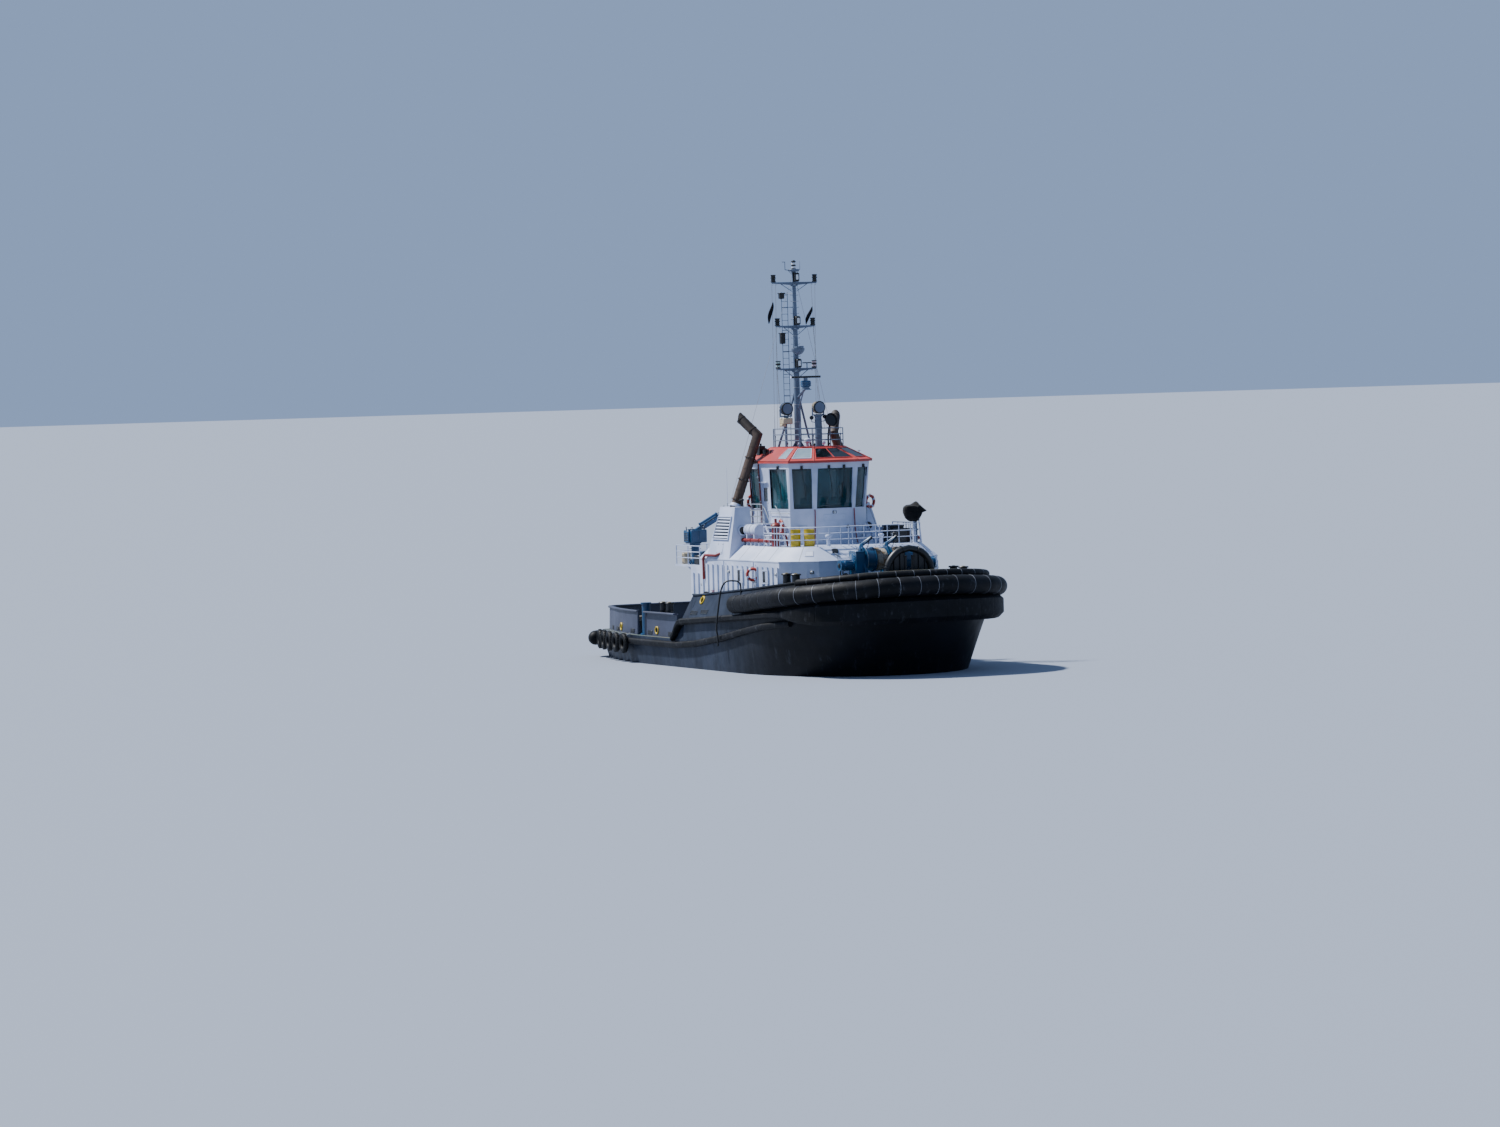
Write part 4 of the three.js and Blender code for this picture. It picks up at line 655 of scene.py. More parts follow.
def evenly(run, pitch):
    run = [Vector(p) for p in run]
    lengths = [0]
    for a, b in zip(run, run[1:]):
        lengths.append(lengths[-1] + (b - a).length)
    count = max(round(lengths[-1] / pitch), 1)
    out, k = [], 0
    for i in range(count + 1):
        goal = lengths[-1] * i / count
        while k < len(run) - 2 and lengths[k + 1] < goal:
            k += 1
        share = (goal - lengths[k]) / max(lengths[k + 1] - lengths[k], 1e-9)
        out.append(run[k].lerp(run[k + 1], min(max(share, 0), 1)))
    return out


# Outward direction, level, at each point of a run that turns anticlockwise round the ship
def outward(run, i):
    a, b = run[max(i - 1, 0)], run[min(i + 1, len(run) - 1)]
    along = b - a
    return Vector((along.y, -along.x, 0)).normalized()


# Big round fenders: swollen between their straps, with domed ends
def roundFender(shape, run, radius, strapEvery, sides=28, brightFrom=-99):
    lengths = [0]
    for a, b in zip(run, run[1:]):
        lengths.append(lengths[-1] + (b - a).length)
    total = lengths[-1]
    count = round(total / strapEvery)
    pitch = total / count
    path, radii = [], []
    for p, s in zip(run, lengths):
        end = min(s, total - s)
        dome = sqrt(max(1 - (1 - min(end / (radius * 0.9), 1)) ** 2, 0)) if end < radius * 0.9 else 1
        swell = 1 - 0.022 * (abs(cos(pi * s / pitch)) ** 6)
        path.append(p)
        radii.append(max(radius * swell * dome, radius * 0.12))
    shape.tube(path, radii, "rubber", sides, up=(0, 0, 1))
    for n in range(1, count):
        i = min(range(len(run)), key=lambda k: abs(lengths[k] - pitch * n))
        along = (run[min(i + 1, len(run) - 1)] - run[max(i - 1, 0)]).normalized()
        # Straps aft of brightFrom take a darker paint than the straps round the bow
        shape.lathe([(radius - 0.03, -0.014), (radius + 0.003, -0.01), (radius + 0.003, 0.01),
                     (radius - 0.03, 0.014)],
                    "strap" if run[i].x > brightFrom else "strapWorn", placed(run[i], along), 32, closed=True)


fenderSpec = {"radius": 0.474, "strapEvery": 1.05, "startX": 5.42, "brightFrom": 11.2, "upperRadius": 0.203,
              "upperStartX": 11.62}
bowFender = Shape()
bowRunPath = bowRun(fenderLine, fenderSpec["startX"], lambda x: tableAt(fenderZ, x), 0.075)
roundFender(bowFender, bowRunPath, fenderSpec["radius"], fenderSpec["strapEvery"],
            brightFrom=fenderSpec["brightFrom"])
bowFender.build("bowFender", "vessel", "rubber", ["bow_fender"])
upperFender = Shape()
upperRun = bowRun(upperFenderLine, fenderSpec["upperStartX"], lambda x: tableAt(fenderZ, x) + 0.65, 0.05)
roundFender(upperFender, upperRun, fenderSpec["upperRadius"], 0.92, sides=20)
upperFender.build("bowFenderUpper", "vessel", "rubber", ["bow_fender_upper"])


# Stern outline a set distance outside the strake line, port corner to starboard corner
def sternRun(grow, fromX, z, line=strakeLine, pitch=0.075):
    wide = {**line, "sternX": line["sternX"] - grow, "half": line["half"] + grow,
            "sternHalf": line["sternHalf"] + grow, "corner": line["corner"] + grow}
    corner, sternX = wide["corner"], wide["sternX"]
    cornerEnd = halfWidth(wide, sternX + corner)
    side = []
    for k in range(13):
        angle = pi / 2 * k / 12
        side.append((sternX + corner * (1 - cos(angle)), cornerEnd - corner * (1 - sin(angle))))
    x = sternX + corner
    while x < fromX:
        x = min(x + 0.2, fromX)
        side.append((x, halfWidth(wide, x)))
    points = [(x, y, z) for x, y in reversed(side)] + [(x, -y, z) for x, y in side]
    return evenly(points, pitch)


sternSpec = {"radius": 0.385, "height": 1.05, "startX": -14.35, "strapEvery": 0.8}
sternFender = Shape()
roundFender(sternFender, sternRun(0.33, sternSpec["startX"], sternSpec["height"]), sternSpec["radius"],
            sternSpec["strapEvery"])
sternFender.build("sternFender", "vessel", "rubber", ["stern_fender"])
print("round fenders")

# Side strakes with a rounded face, and the tyres hung over them
strakeSpec = {"tyreXs": (-13.7, -12.35, -11, -9.65, -8.3), "tyreRadius": 0.385, "tyreTube": 0.145}
strakeSection = [(-0.12, -0.165), (0.12, -0.165), (0.19, -0.14), (0.228, -0.095), (0.243, -0.04), (0.245, 0),
                 (0.243, 0.04), (0.228, 0.095), (0.19, 0.14), (0.12, 0.165), (-0.12, 0.165)]


def sideRun(line, xs, zAt, side):
    run = [Vector((x, side * halfWidth(line, x), zAt(x))) for x in xs]
    return run if side < 0 else list(reversed(run))


# Level direction away from a plan line
def awayFrom(line, x, side):
    slope = (halfWidth(line, x + 0.3) - halfWidth(line, x - 0.3)) / 0.6
    return Vector((-slope, side, 0)).normalized()


def sweepLevel(shape, run, section, finish):
    rings = []
    for i, p in enumerate(run):
        out = outward(run, i)
        rings.append([p + out * a + lift(b) for a, b in section])
    shape.rings(rings, finish)


def tyre(shape, at, axis, radius, tube):
    place = placed(at, axis)
    profile = []
    for k in range(20):
        angle = 2 * pi * k / 20
        flat = 1.04 if k % 2 else 1
        profile.append((radius + tube * cos(angle) * flat, tube * 0.93 * sin(angle) * flat))
    shape.lathe(profile, "tyre", place, 36, closed=True)
    reach = radius + tube
    for turn in around(place, 24):
        shape.box((reach - 0.03, -0.022, -tube * 0.55), (reach + 0.004, 0.022, tube * 0.55), "tyre", 0.006, turn)


for side, label in ((-1, "Starboard"), (1, "Port")):
    strake = Shape()
    xs = [-14.3 + 0.35 * k for k in range(74)]
    xs = [x for x in xs if x < 11.4] + [11.45]
    run = sideRun(strakeLine, xs, lambda x: tableAt(strakeZ, x), side)
    hullFace = [(a if a > 0 else 0, b) for a, b in strakeSection]
    sweepLevel(strake, run, hullFace, "rubber")
    for x in strakeSpec["tyreXs"]:
        out = awayFrom(strakeLine, x, side)
        y = side * (halfWidth(strakeLine, x) + 0.33)
        z = tableAt(strakeZ, x) - 0.13
        tyre(strake, (x, y, z), out, strakeSpec["tyreRadius"], strakeSpec["tyreTube"])
        for dx in (-0.18, 0.18):
            eye = Vector((x + dx * 1.25, side * (halfWidth(strakeLine, x) - 0.12), 1.56))
            low = Vector((x + dx, y, z + 0.3))
            over = Vector((x + dx * 1.1, side * (halfWidth(strakeLine, x) + 0.2), 1.5))
            strake.tube([eye, over, low], 0.022, "galvanised")
    strake.build(f"lowerStrake{label}", "vessel", "rubber", [f"lower_strake_{label.lower()}"])
print("side strakes and tyres")

# Forecastle bulwark: rounded cap rail, inner stanchions, chock rims and freeing ports
bulwarkSpec = {"stanchionEvery": 0.95, "stanchionStartX": 0.9, "chock": (0.25, 3.56), "portXs": (-0.28, 1.05)}
fore = Shape()


def bulwarkAt(side, x, share, inset=0):
    # A point of the bulwark's plate: 0 at its foot, 0.5 at its knuckle and 1 at its top
    rows = [(bulwarkFootLine, foreDeckAt(x)), ({**fenderLine, "half": 5.48, "tipX": 15.19}, tableAt(fenderZ, x)),
            (bulwarkTopLine, tableAt(bulwarkTopZ, x))]
    (lineA, za), (lineB, zb) = rows[:2] if share <= 0.5 else rows[1:]
    part = (share if share <= 0.5 else share - 0.5) * 2
    ya, yb = halfWidth(lineA, x, -inset), halfWidth(lineB, x, -inset)
    return Vector((x, side * (ya + (yb - ya) * part), za + (zb - za) * part))


capRun = bowRun(bulwarkTopLine, -1.28, lambda x: tableAt(bulwarkTopZ, x) + 0.01, 0.22, grow=-0.03)
sweepLevel(fore, capRun,
           [(-0.11, -0.045), (-0.11, 0.02), (-0.08, 0.045), (0.08, 0.045), (0.11, 0.02), (0.11, -0.045)], "hull")
for side in (-1, 1):
    x = bulwarkSpec["stanchionStartX"]
    while x < 13.3:
        foot = bulwarkAt(side, x, 0, 0.065)
        knuckle = bulwarkAt(side, x, 0.5, 0.065)
        top = bulwarkAt(side, x, 0.97, 0.065)
        base = foot + Vector((0, -side * 0.42, 0))
        mid = knuckle + Vector((0, -side * 0.16, 0))
        head = top + Vector((0, -side * 0.05, 0))
        outline = [foot, knuckle, top, head, mid, base]
        rings = [[p + Vector((dx, 0, 0.002)) for p in outline] for dx in (-0.012, 0.012)]
        fore.rings(rings, "bulwarkGrey")
        x += bulwarkSpec["stanchionEvery"]
    cx, cz = bulwarkSpec["chock"]
    out = Vector((0, side, 0.48)).normalized()
    middle = Vector((cx, side * 5.3, cz))
    fore.ring(0.19, 0.045, "yellow", placed(middle + out * 0.02, out), 28, 10)
    fore.ring(0.185, 0.035, "black", placed(middle - out * 0.07, out), 28, 8)
    for px in bulwarkSpec["portXs"]:
        low = bulwarkAt(side, px, 0.16)
        lean = (bulwarkAt(side, px, 0.42) - low).normalized()
        outwards = Vector((0, side, 0)) - lean * (side * lean.y)
        place = placed(low + lean * 0.1 + outwards.normalized() * 0.004, outwards, lean)
        fore.block((0, 0), (0.4, 0.085), -0.01, 0.012, "black", 0.01, place)
        for u0, u1, v0, v1 in ((-0.43, -0.4, -0.115, 0.115), (0.4, 0.43, -0.115, 0.115),
                               (-0.43, 0.43, 0.085, 0.115), (-0.43, 0.43, -0.115, -0.085)):
            fore.box((u0, v0, -0.012), (u1, v1, 0.022), "hull", 0.006, place)
fore.build("bulwarkFittings", "vessel", "hull_black")

# Aft bulwark: stanchions, cap rail, yellow rims and black freeing ports
aftLine = {**deckLine, "sternX": -15.15, "half": 5.65, "sternHalf": 4.15}
aftSpec = {"chockXs": (-5.08, -10.74),
           "chockZ": 1.82, "stanchionXs": (-3.1, -4, -6.1, -8.2, -9.2, -10.1, -11.5, -12.5, -13.4)}
aft = Shape()
for side in (-1, 1):
    for x in aftSpec["chockXs"]:
        y = side * (halfWidth(aftLine, x) - 0.012)
        out = awayFrom(aftLine, x, side)
        aft.ring(0.185, 0.04, "yellow", placed(Vector((x, y, aftSpec["chockZ"])) + out * 0.015, out), 28, 10)
        aft.ring(0.18, 0.03, "black", placed(Vector((x, y, aftSpec["chockZ"])) - out * 0.08, out), 28, 8)
    for x in aftSpec["stanchionXs"]:
        y = halfWidth(aftLine, x) - 0.075
        outline = [(y, 1.503), (y - 0.035, 2.7), (y - 0.11, 2.7), (y - 0.14, 2.3), (y - 0.42, 1.503)]
        aft.rings([[(x + dx, side * a, b) for a, b in outline] for dx in (-0.012, 0.012)], "bulwarkGrey")
    for x in (-3.3, -6, -8.6, -11.7, -13.2):
        y = side * halfWidth(aftLine, x)
        place = placed((x, y + side * 0.004, 1.68), awayFrom(aftLine, x, side))
        aft.block((0, 0), (0.3, 0.11), -0.01, 0.01, "black", 0.01, place)
    # Rubbing pads on the panels' free ends
    for x in (-6.59, -7.71):
        y = halfWidth(aftLine, x)
        aft.tube([(x, side * y, 1.51), (x, side * (y - 0.04), 2.74)], 0.055, "bulwarkGrey", 10)
railSection = [(-0.16, -0.04), (-0.16, 0.01), (-0.13, 0.035), (0.02, 0.035), (0.05, 0.01), (0.05, -0.04)]
railRun = sternRun(0, -7.74, 2.765, line=aftLine, pitch=0.25)
sweepLevel(aft, railRun, railSection, "bulwarkGrey")
for side in (-1, 1):
    sideRail = sideRun(aftLine, [-2.52, -3.5, -4.5, -5.5, -6.56], lambda x: 2.765, side)
    sweepLevel(aft, sideRail, railSection, "bulwarkGrey")
aft.build("aftBulwarkFittings", "vessel", "bulwark_grey")
print("bulwark fittings")

# Bollards: welded horns and yellow tops on the plain posts
posts = Shape()
bollardSpec = {"foreX": (9.45, 10.55), "foreY": 4.72, "foreTop": 5.15, "aftX": (-5.72, -4.88),
               "aftY": 4.95, "aftTop": 3.28}
for side in (-1, 1):
    for xs, y, top, foot, radius in ((bollardSpec["foreX"], bollardSpec["foreY"], bollardSpec["foreTop"], 3.4, 0.2),
                                     (bollardSpec["aftX"], bollardSpec["aftY"], bollardSpec["aftTop"], 1.57, 0.19)):
        for x in xs:
            at = placed((x, side * y, top))
            posts.lathe([(radius + 0.06, -0.075), (radius + 0.07, -0.06), (radius + 0.07, -0.02),
                         (radius + 0.045, 0.006), (tip, 0.018)], "black", at, 28)
            posts.lathe([(0.085, 0.012), (0.085, 0.028), (tip, 0.032)], "yellow", at, 20)
            for z in (0.42, 0.8):
                posts.lathe([(radius + 0.012, -z - 0.02), (radius + 0.016, -z), (radius + 0.012, -z + 0.02)],
                            "black", at, 28)
            posts.tube([(x - radius - 0.14, side * y, top - 0.5), (x + radius + 0.14, side * y, top - 0.5)],
                       0.045, "black", 12)
        if foot > 3:
            bar = top - 0.9
            posts.tube([(xs[0], side * y, bar), (xs[1], side * y, bar)], 0.09, "black", 16)
        for x in (xs[0] - 0.22, xs[1] + 0.22):
            posts.box((x - 0.012, side * (y - 0.2), foot - 0.1), (x + 0.012, side * (y + 0.2), foot + 0.16),
                      "black", 0.004)
posts.build("bollardTops", "vessel", "black")
print("bollards")


# A flat or leaning four-cornered face, and slabs laid on parts of it
class Face:
    def __init__(self, a, b, c, d):
        self.corners = [Vector(p) for p in (a, b, c, d)]
        self.normal = (self.corners[1] - self.corners[0]).cross(self.corners[3] - self.corners[0]).normalized()

    def at(self, u, v, out=0):
        a, b, c, d = self.corners
        return a.lerp(b, u).lerp(d.lerp(c, u), v) + self.normal * out

    def slab(self, shape, u0, u1, v0, v1, low, high, finish):
        ring = [(u0, v0), (u1, v0), (u1, v1), (u0, v1)]
        shape.rings([[self.at(u, v, h) for u, v in ring] for h in (low, high)], finish)

    def frame(self, shape, u0, u1, v0, v1, wide, low, high, finish):
        a, b, _, d = self.corners
        du, dv = wide / (b - a).length, wide / (d - a).length
        outer = [(u0 - du, v0 - dv), (u1 + du, v0 - dv), (u1 + du, v1 + dv), (u0 - du, v1 + dv)]
        inner = [(u0, v0), (u1, v0), (u1, v1), (u0, v1)]
        for k in range(4):
            m = (k + 1) % 4
            ring = [outer[k], outer[m], inner[m], inner[k]]
            shape.rings([[self.at(u, v, h) for u, v in ring] for h in (low, high)], finish)

    def place(self, u, v, out=0):
        return placed(self.at(u, v, out), self.normal, self.corners[3] - self.corners[0])


def lifebuoy(shape, at, axis):
    place = placed(at, axis)
    shape.ring(0.29, 0.075, "lifebuoy", place, 36, 14)
    for turn in around(place, 4, 0.5):
        shape.lathe([(0.078, -0.05), (0.081, -0.045), (0.081, 0.045), (0.078, 0.05)], "white",
                    turn @ placed((0.29, 0, 0), (0, 1, 0)), 16, closed=True)
    rope = [((0.37 + 0.035 * cos(8 * a)) * cos(a), (0.37 + 0.035 * cos(8 * a)) * sin(a), 0)
            for a in (2 * pi * k / 64 for k in range(64))]
    shape.tube(rope, 0.01, "rope", closed=True, up=(0, 0, 1), at=place)
    shape.block((0, 0), (0.02, 0.02), -0.1, -0.02, "galvanised", 0.004, place @ Matrix.Translation((0, 0.29, 0)))
    shape.block((0, 0), (0.02, 0.02), -0.1, -0.02, "galvanised", 0.004, place @ Matrix.Translation((0, -0.29, 0)))


def porthole(shape, at, axis, radius, rim):
    place = placed(at, axis)
    shape.ring(radius, rim, "white", place, 28, 8)
    shape.lathe([(radius - 0.01, -0.002), (radius - 0.01, 0.008), (tip, 0.014)], "darkGlass", place, 28)


def bulkheadLight(shape, at, axis):
    place = placed(at, axis)
    shape.block((0, 0), (0.11, 0.07), -0.005, 0.03, "black", 0.01, place)
    shape.lathe([(0.075, 0.03), (0.072, 0.06), (0.05, 0.085), (tip, 0.095)], "lens", place, 16)
    for dx in (-0.05, 0, 0.05):
        shape.tube([(dx, -0.07, 0.03), (dx, -0.05, 0.09), (dx, 0.05, 0.09), (dx, 0.07, 0.03)],
                   0.005, "black", 5, at=place)


def roundVent(shape, at, height, radius, finish):
    place = placed(at)
    shape.lathe([(radius * 0.62, 0), (radius * 0.62, height * 0.72), (radius * 0.95, height * 0.76),
                 (radius, height * 0.82), (radius, height * 0.9), (radius * 0.8, height * 0.97), (tip, height)],
                finish, place, 24)
    shape.lathe([(radius * 0.85, 0), (radius * 0.85, 0.012), (radius * 0.62, 0.016)], finish, place, 24)
    bolts(shape, place @ Matrix.Translation(lift(0.012)), 8, radius * 0.74, 0.012, 0.014, 0.016)


# Deckhouse: stiffened sides, windows, storm rails, lifebuoy and the aft face's fittings
houseSpec = {"half": 4.5, "aftX": -3, "sideX": 8.07, "frontX": 9.6, "frontHalf": 2.97, "knuckle": 5.7,
             "ribPitch": 0.62, "ribOut": 0.075, "ribTop": 5.4, "windowXs": (3.4, 6.5), "doorY": 2.6}
house = Shape()
ribOutline = [(-0.16, 0), (-0.11, houseSpec["ribOut"]), (0.11, houseSpec["ribOut"]), (0.16, 0), (0.17, -0.01),
              (-0.17, -0.01)]
for side in (-1, 1):
    y = side * houseSpec["half"]
    x = houseSpec["aftX"] + 0.35
    while x < houseSpec["sideX"] - 0.1:
        top = houseSpec["ribTop"] if x > -1.7 else 4.9
        foot = (foreDeckAt(x) if x > -0.9 else 1.5) + 0.06
        if -1.1 < x < -0.55:
            foot = 2.75
        rings = [[(x + a, y + side * b, z + (0.05 - b) * k) for a, b in ribOutline]
                 for z, k in ((foot, 0.8), (top, -0.8))]
        house.rings(rings, "white")
        x += houseSpec["ribPitch"]
    for wx in houseSpec["windowXs"]:
        ends = (wx - 0.27, wx + 0.27) if side < 0 else (wx + 0.27, wx - 0.27)
        pane = Face((ends[0], y, 4.6), (ends[1], y, 4.6), (ends[1], y, 5.18), (ends[0], y, 5.18))
        pane.slab(house, 0, 1, 0, 1, -0.005, 0.066, "darkGlass")
        pane.frame(house, 0, 1, 0, 1, 0.07, -0.005, 0.085, "white")
        pane.frame(house, 0.03, 0.97, 0.03, 0.97, 0.02, 0.06, 0.078, "black")
        for u in (0, 1):
            for v in (0.2, 0.8):
                house.stud(0.018, 0.012, 0.016, "galvanised", pane.place(u, v, 0.085))
    # Storm rail on short brackets
    rail = [(k, y + side * 0.12, foreDeckAt(k) + 1.12) for k in (0.2, 2, 4, 6, 7.9)]
    house.tube(rail, 0.019, "galvanised", 8)
    for p in rail:
        house.tube([(p[0], y, p[2]), p], 0.012, "galvanised")
    bulkheadLight(house, (-1.5, y, 4.3), (0, side, 0))
    bulkheadLight(house, (2, y + side * 0.05, 5.05), (0, side, 0))
    bulkheadLight(house, (7.85, y + side * 0.05, 5.05), (0, side, 0))
    # Drain pipe and cable run
    for px in (1.45, 5.15):
        house.tube([(px, y + side * 0.09, 5.62), (px, y + side * 0.09, foreDeckAt(px) + 0.25),
                    (px + 0.1, y + side * 0.14, foreDeckAt(px) + 0.14)],
                   0.035, "white", 10)
        for z in (5.3, 4.4, 3.5):
            house.box((px - 0.06, y, z - 0.015), (px + 0.06, y + side * 0.115, z + 0.015), "galvanised", 0.004)
    # Knuckle moulding under the shoulder
    edge = [(-1.75, y), (houseSpec["sideX"], y), (houseSpec["frontX"], side * houseSpec["frontHalf"]),
            (houseSpec["frontX"], 0)]
    run = [Vector((a, b, houseSpec["knuckle"] - 0.03)) for a, b in edge]
    run = run if side < 0 else list(reversed(run))
    sweepLevel(house, run, [(-0.01, -0.03), (0.018, -0.03), (0.026, 0), (0.018, 0.03), (-0.01, 0.03)], "white")
lifebuoy(house, (5.3, -4.7, 5), (0.75, -0.66, 0))
house.box((5.15, -4.66, 4.58), (5.45, -4.5, 4.63), "galvanised", 0.006)
# Front face: seams, two portholes and a fire hose box
for fy in (-2, -1, 0, 1, 2):
    house.box((9.597, fy - 0.02, 3.35), (9.607, fy + 0.02, 5.62), "white", 0.003)
for fy in (-1.5, 1.5):
    porthole(house, (9.6, fy, 4.85), (1, 0, 0), 0.21, 0.03)
for side in (-1, 1):
    a = Vector((houseSpec["sideX"], side * houseSpec["half"], 0))
    b = Vector((houseSpec["frontX"], side * houseSpec["frontHalf"], 0))
    corner = (a, b) if side < 0 else (b, a)
    panel = Face(*(p + lift(z) for p, z in ((corner[0], 3.3), (corner[1], 3.3), (corner[1], 5.6), (corner[0], 5.6))))
    for u in (0.3, 0.68):
        panel.slab(house, u - 0.012, u + 0.012, 0.02, 0.99, -0.004, 0.008, "white")
    panel.slab(house, 0.4, 0.6, 0.34, 0.56, -0.004, 0.14, "red")
    panel.frame(house, 0.42, 0.58, 0.36, 0.54, 0.01, 0.135, 0.15, "red")
    bulkheadLight(house, panel.at(0.82, 0.8), panel.normal)
# Aft face: door sills, lights, portholes, ladder, seams and hose reel
aftX = houseSpec["aftX"]
for side in (-1, 1):
    y = side * houseSpec["doorY"]
    house.box((aftX - 0.035, y - 0.47, 1.52), (aftX + 0.005, y + 0.47, 1.72), "white", 0.01)
    bulkheadLight(house, (aftX, y, 3.95), (-1, 0, 0))
    porthole(house, (aftX, side * 3.7, 4.4), (-1, 0, 0), 0.19, 0.028)
for k in range(11):
    z = 1.75 + 0.31 * k
    rung = [(aftX, -0.22, z), (aftX - 0.14, -0.22, z), (aftX - 0.14, 0.22, z), (aftX, 0.22, z)]
    house.tube(rung, 0.014, "white", 8)
for fy in (-3.8, -1.3, 1.3, 3.8):
    house.box((aftX - 0.006, fy - 0.02, 1.6), (aftX + 0.004, fy + 0.02, 5.1), "white", 0.002)
reel = placed((aftX - 0.05, 1.25, 2.6), (-1, 0, 0))
house.lathe([(0.27, 0), (0.27, 0.02), (0.12, 0.03), (0.12, 0.16), (0.27, 0.17), (0.27, 0.19), (tip, 0.19)],
            "red", reel, 28)
for k in range(4):
    house.ring(0.15 + 0.028 * k, 0.018, "red", reel @ Matrix.Translation((0, 0, 0.06 + 0.025 * (k % 2))), 32, 6)
house.build("deckhouseFittings", "vessel", "white")

# Small gear on the fore side deck: vent, hydrant and the black hoop over the bulwark
sideGear = Shape()
for side in (-1, 1):
    roundVent(sideGear, (-0.35, side * 4.82, foreDeckAt(-0.35) + 0.003), 1.35, 0.16, "black")
    sideGear.lathe([(0.09, 0), (0.09, 1), (0.13, 1.03), (0.13, 1.12), (0.06, 1.18), (0.06, 1.3), (tip, 1.32)], "red",
                   (0.45, side * 4.8, foreDeckAt(0.45) + 0.003), 20)
    sideGear.tube([(0.45, side * 4.8, foreDeckAt(0.45) + 1), (0.45, side * 5, foreDeckAt(0.45) + 1)],
                  0.045, "red", 12)
    sideGear.ring(0.09, 0.014, "red", (0.45, side * 4.8, foreDeckAt(0.45) + 1.36), 20, 6)
hoopX = 4.9
hoop = [(hoopX, -5.22, 2.96), (hoopX, -5.22, 4.35), (hoopX - 0.02, -5.27, 4.58), (hoopX - 0.15, -5.42, 4.68),
        (hoopX - 0.4, -5.78, 4.68), (hoopX - 0.5, -5.98, 4.5), (hoopX - 0.55, -6.12, 4.1), (hoopX - 0.6, -6.26, 3.2),
        (hoopX - 0.62, -6.34, 2.6), (hoopX - 0.65, -6.36, 2.2), (hoopX - 0.68, -6.3, 1.9), (hoopX - 0.7, -6.28, 1.35)]
sideGear.tube(softPath(hoop, 5), 0.045, "black", 12)
sideGear.lathe([(0.11, 0), (0.11, 0.02), (0.05, 0.03)], "black", (hoopX, -5.22, foreDeckAt(hoopX) + 0.003), 20)
sideGear.build("sideDeckGear", "vessel", "black")
print("deckhouse fittings")

# Shoulder and bridge deck: seams, hatches, pipes, lockers, drums and the covered monitor
deckTop = 6.38
shoulder = Shape()
shoulderSpec = {"seamYs": (-1.9, -0.6, 0.6, 1.9), "sideSeamXs": (-0.4, 1.4, 3.2, 5, 6.8)}
for side in (-1, 1):
    low = [Vector((-1.8, side * 4.5, 5.7)), Vector((8.07, side * 4.5, 5.7)), Vector((9.6, side * 2.97, 5.7))]
    high = [Vector((-1.8, side * 3.75, 6.38)), Vector((7.77, side * 3.75, 6.38)), Vector((8.85, side * 2.67, 6.38))]
    flip = side > 0
    sideFace = Face(low[1], low[0], high[0], high[1]) if flip else Face(low[0], low[1], high[1], high[0])
    cornerFace = Face(low[2], low[1], high[1], high[2]) if flip else Face(low[1], low[2], high[2], high[1])
    for x in shoulderSpec["sideSeamXs"]:
        u = (x + 1.8) / 9.87
        u = 1 - u if flip else u
        sideFace.slab(shoulder, u - 0.0015, u + 0.0015, 0.02, 0.98, -0.002, 0.008, "grey")
    cornerFace.slab(shoulder, 0.49, 0.51, 0.02, 0.98, -0.002, 0.008, "grey")
    cornerFace.slab(shoulder, 0.62, 0.86, 0.34, 0.72, -0.004, 0.03, "white")
    cornerFace.frame(shoulder, 0.64, 0.84, 0.38, 0.68, 0.01, 0.03, 0.036, "grey")
frontFace = Face((9.6, -2.97, 5.7), (9.6, 2.97, 5.7), (8.85, 2.67, 6.38), (8.85, -2.67, 6.38))
for y in shoulderSpec["seamYs"]:
    u = (y + 2.97) / 5.94
    frontFace.slab(shoulder, u - 0.003, u + 0.003, 0.02, 0.98, -0.002, 0.008, "grey")
frontFace.slab(shoulder, 0.14, 0.2, 0.52, 0.8, -0.004, 0.05, "black")
frontFace.slab(shoulder, 0.12, 0.22, 0.46, 0.5, -0.004, 0.03, "white")
frontFace.slab(shoulder, 0.68, 0.82, 0.3, 0.75, -0.004, 0.04, "white")
frontFace.frame(shoulder, 0.69, 0.81, 0.34, 0.71, 0.02, 0.04, 0.048, "grey")
shoulder.tube([frontFace.at(0.16, 0.5, 0.03), frontFace.at(0.18, 0.36, 0.05), frontFace.at(0.21, 0.2, 0.04)],
              0.03, "galvanised", 8)
shoulder.build("shoulderFittings", "vessel", "white")

bridge = Shape()
bridgeSpec = {"drums": ((6.9, -3), (7.25, -2.38)), "cylinder": (5.55, -3.45), "monitor": (8, 3.3)}
for x, y in bridgeSpec["drums"]:
    place = placed((x, y, deckTop + 0.002))
    bridge.lathe([(0.27, 0), (0.29, 0.02), (0.285, 0.05), (0.285, 0.28), (0.298, 0.3), (0.285, 0.32), (0.285, 0.56),
                  (0.298, 0.58), (0.285, 0.6), (0.285, 0.84), (0.29, 0.88), (0.27, 0.885), (0.26, 0.865),
                  (tip, 0.865)], "yellow", place, 32)
    bridge.lathe([(0.03, 0.86), (0.03, 0.885), (tip, 0.885)], "galvanised", place @ Matrix.Translation((0.15, 0, 0)),
                 12)
cx, cy = bridgeSpec["cylinder"]
bridge.lathe([(0.25, 0), (0.25, 0.03), (0.21, 0.04), (0.21, 1.02), (0.25, 1.04), (0.25, 1.1), (0.16, 1.2),
              (0.07, 1.24), (0.07, 1.42), (tip, 1.44)],
             "red", (cx, cy, deckTop + 0.002), 28)
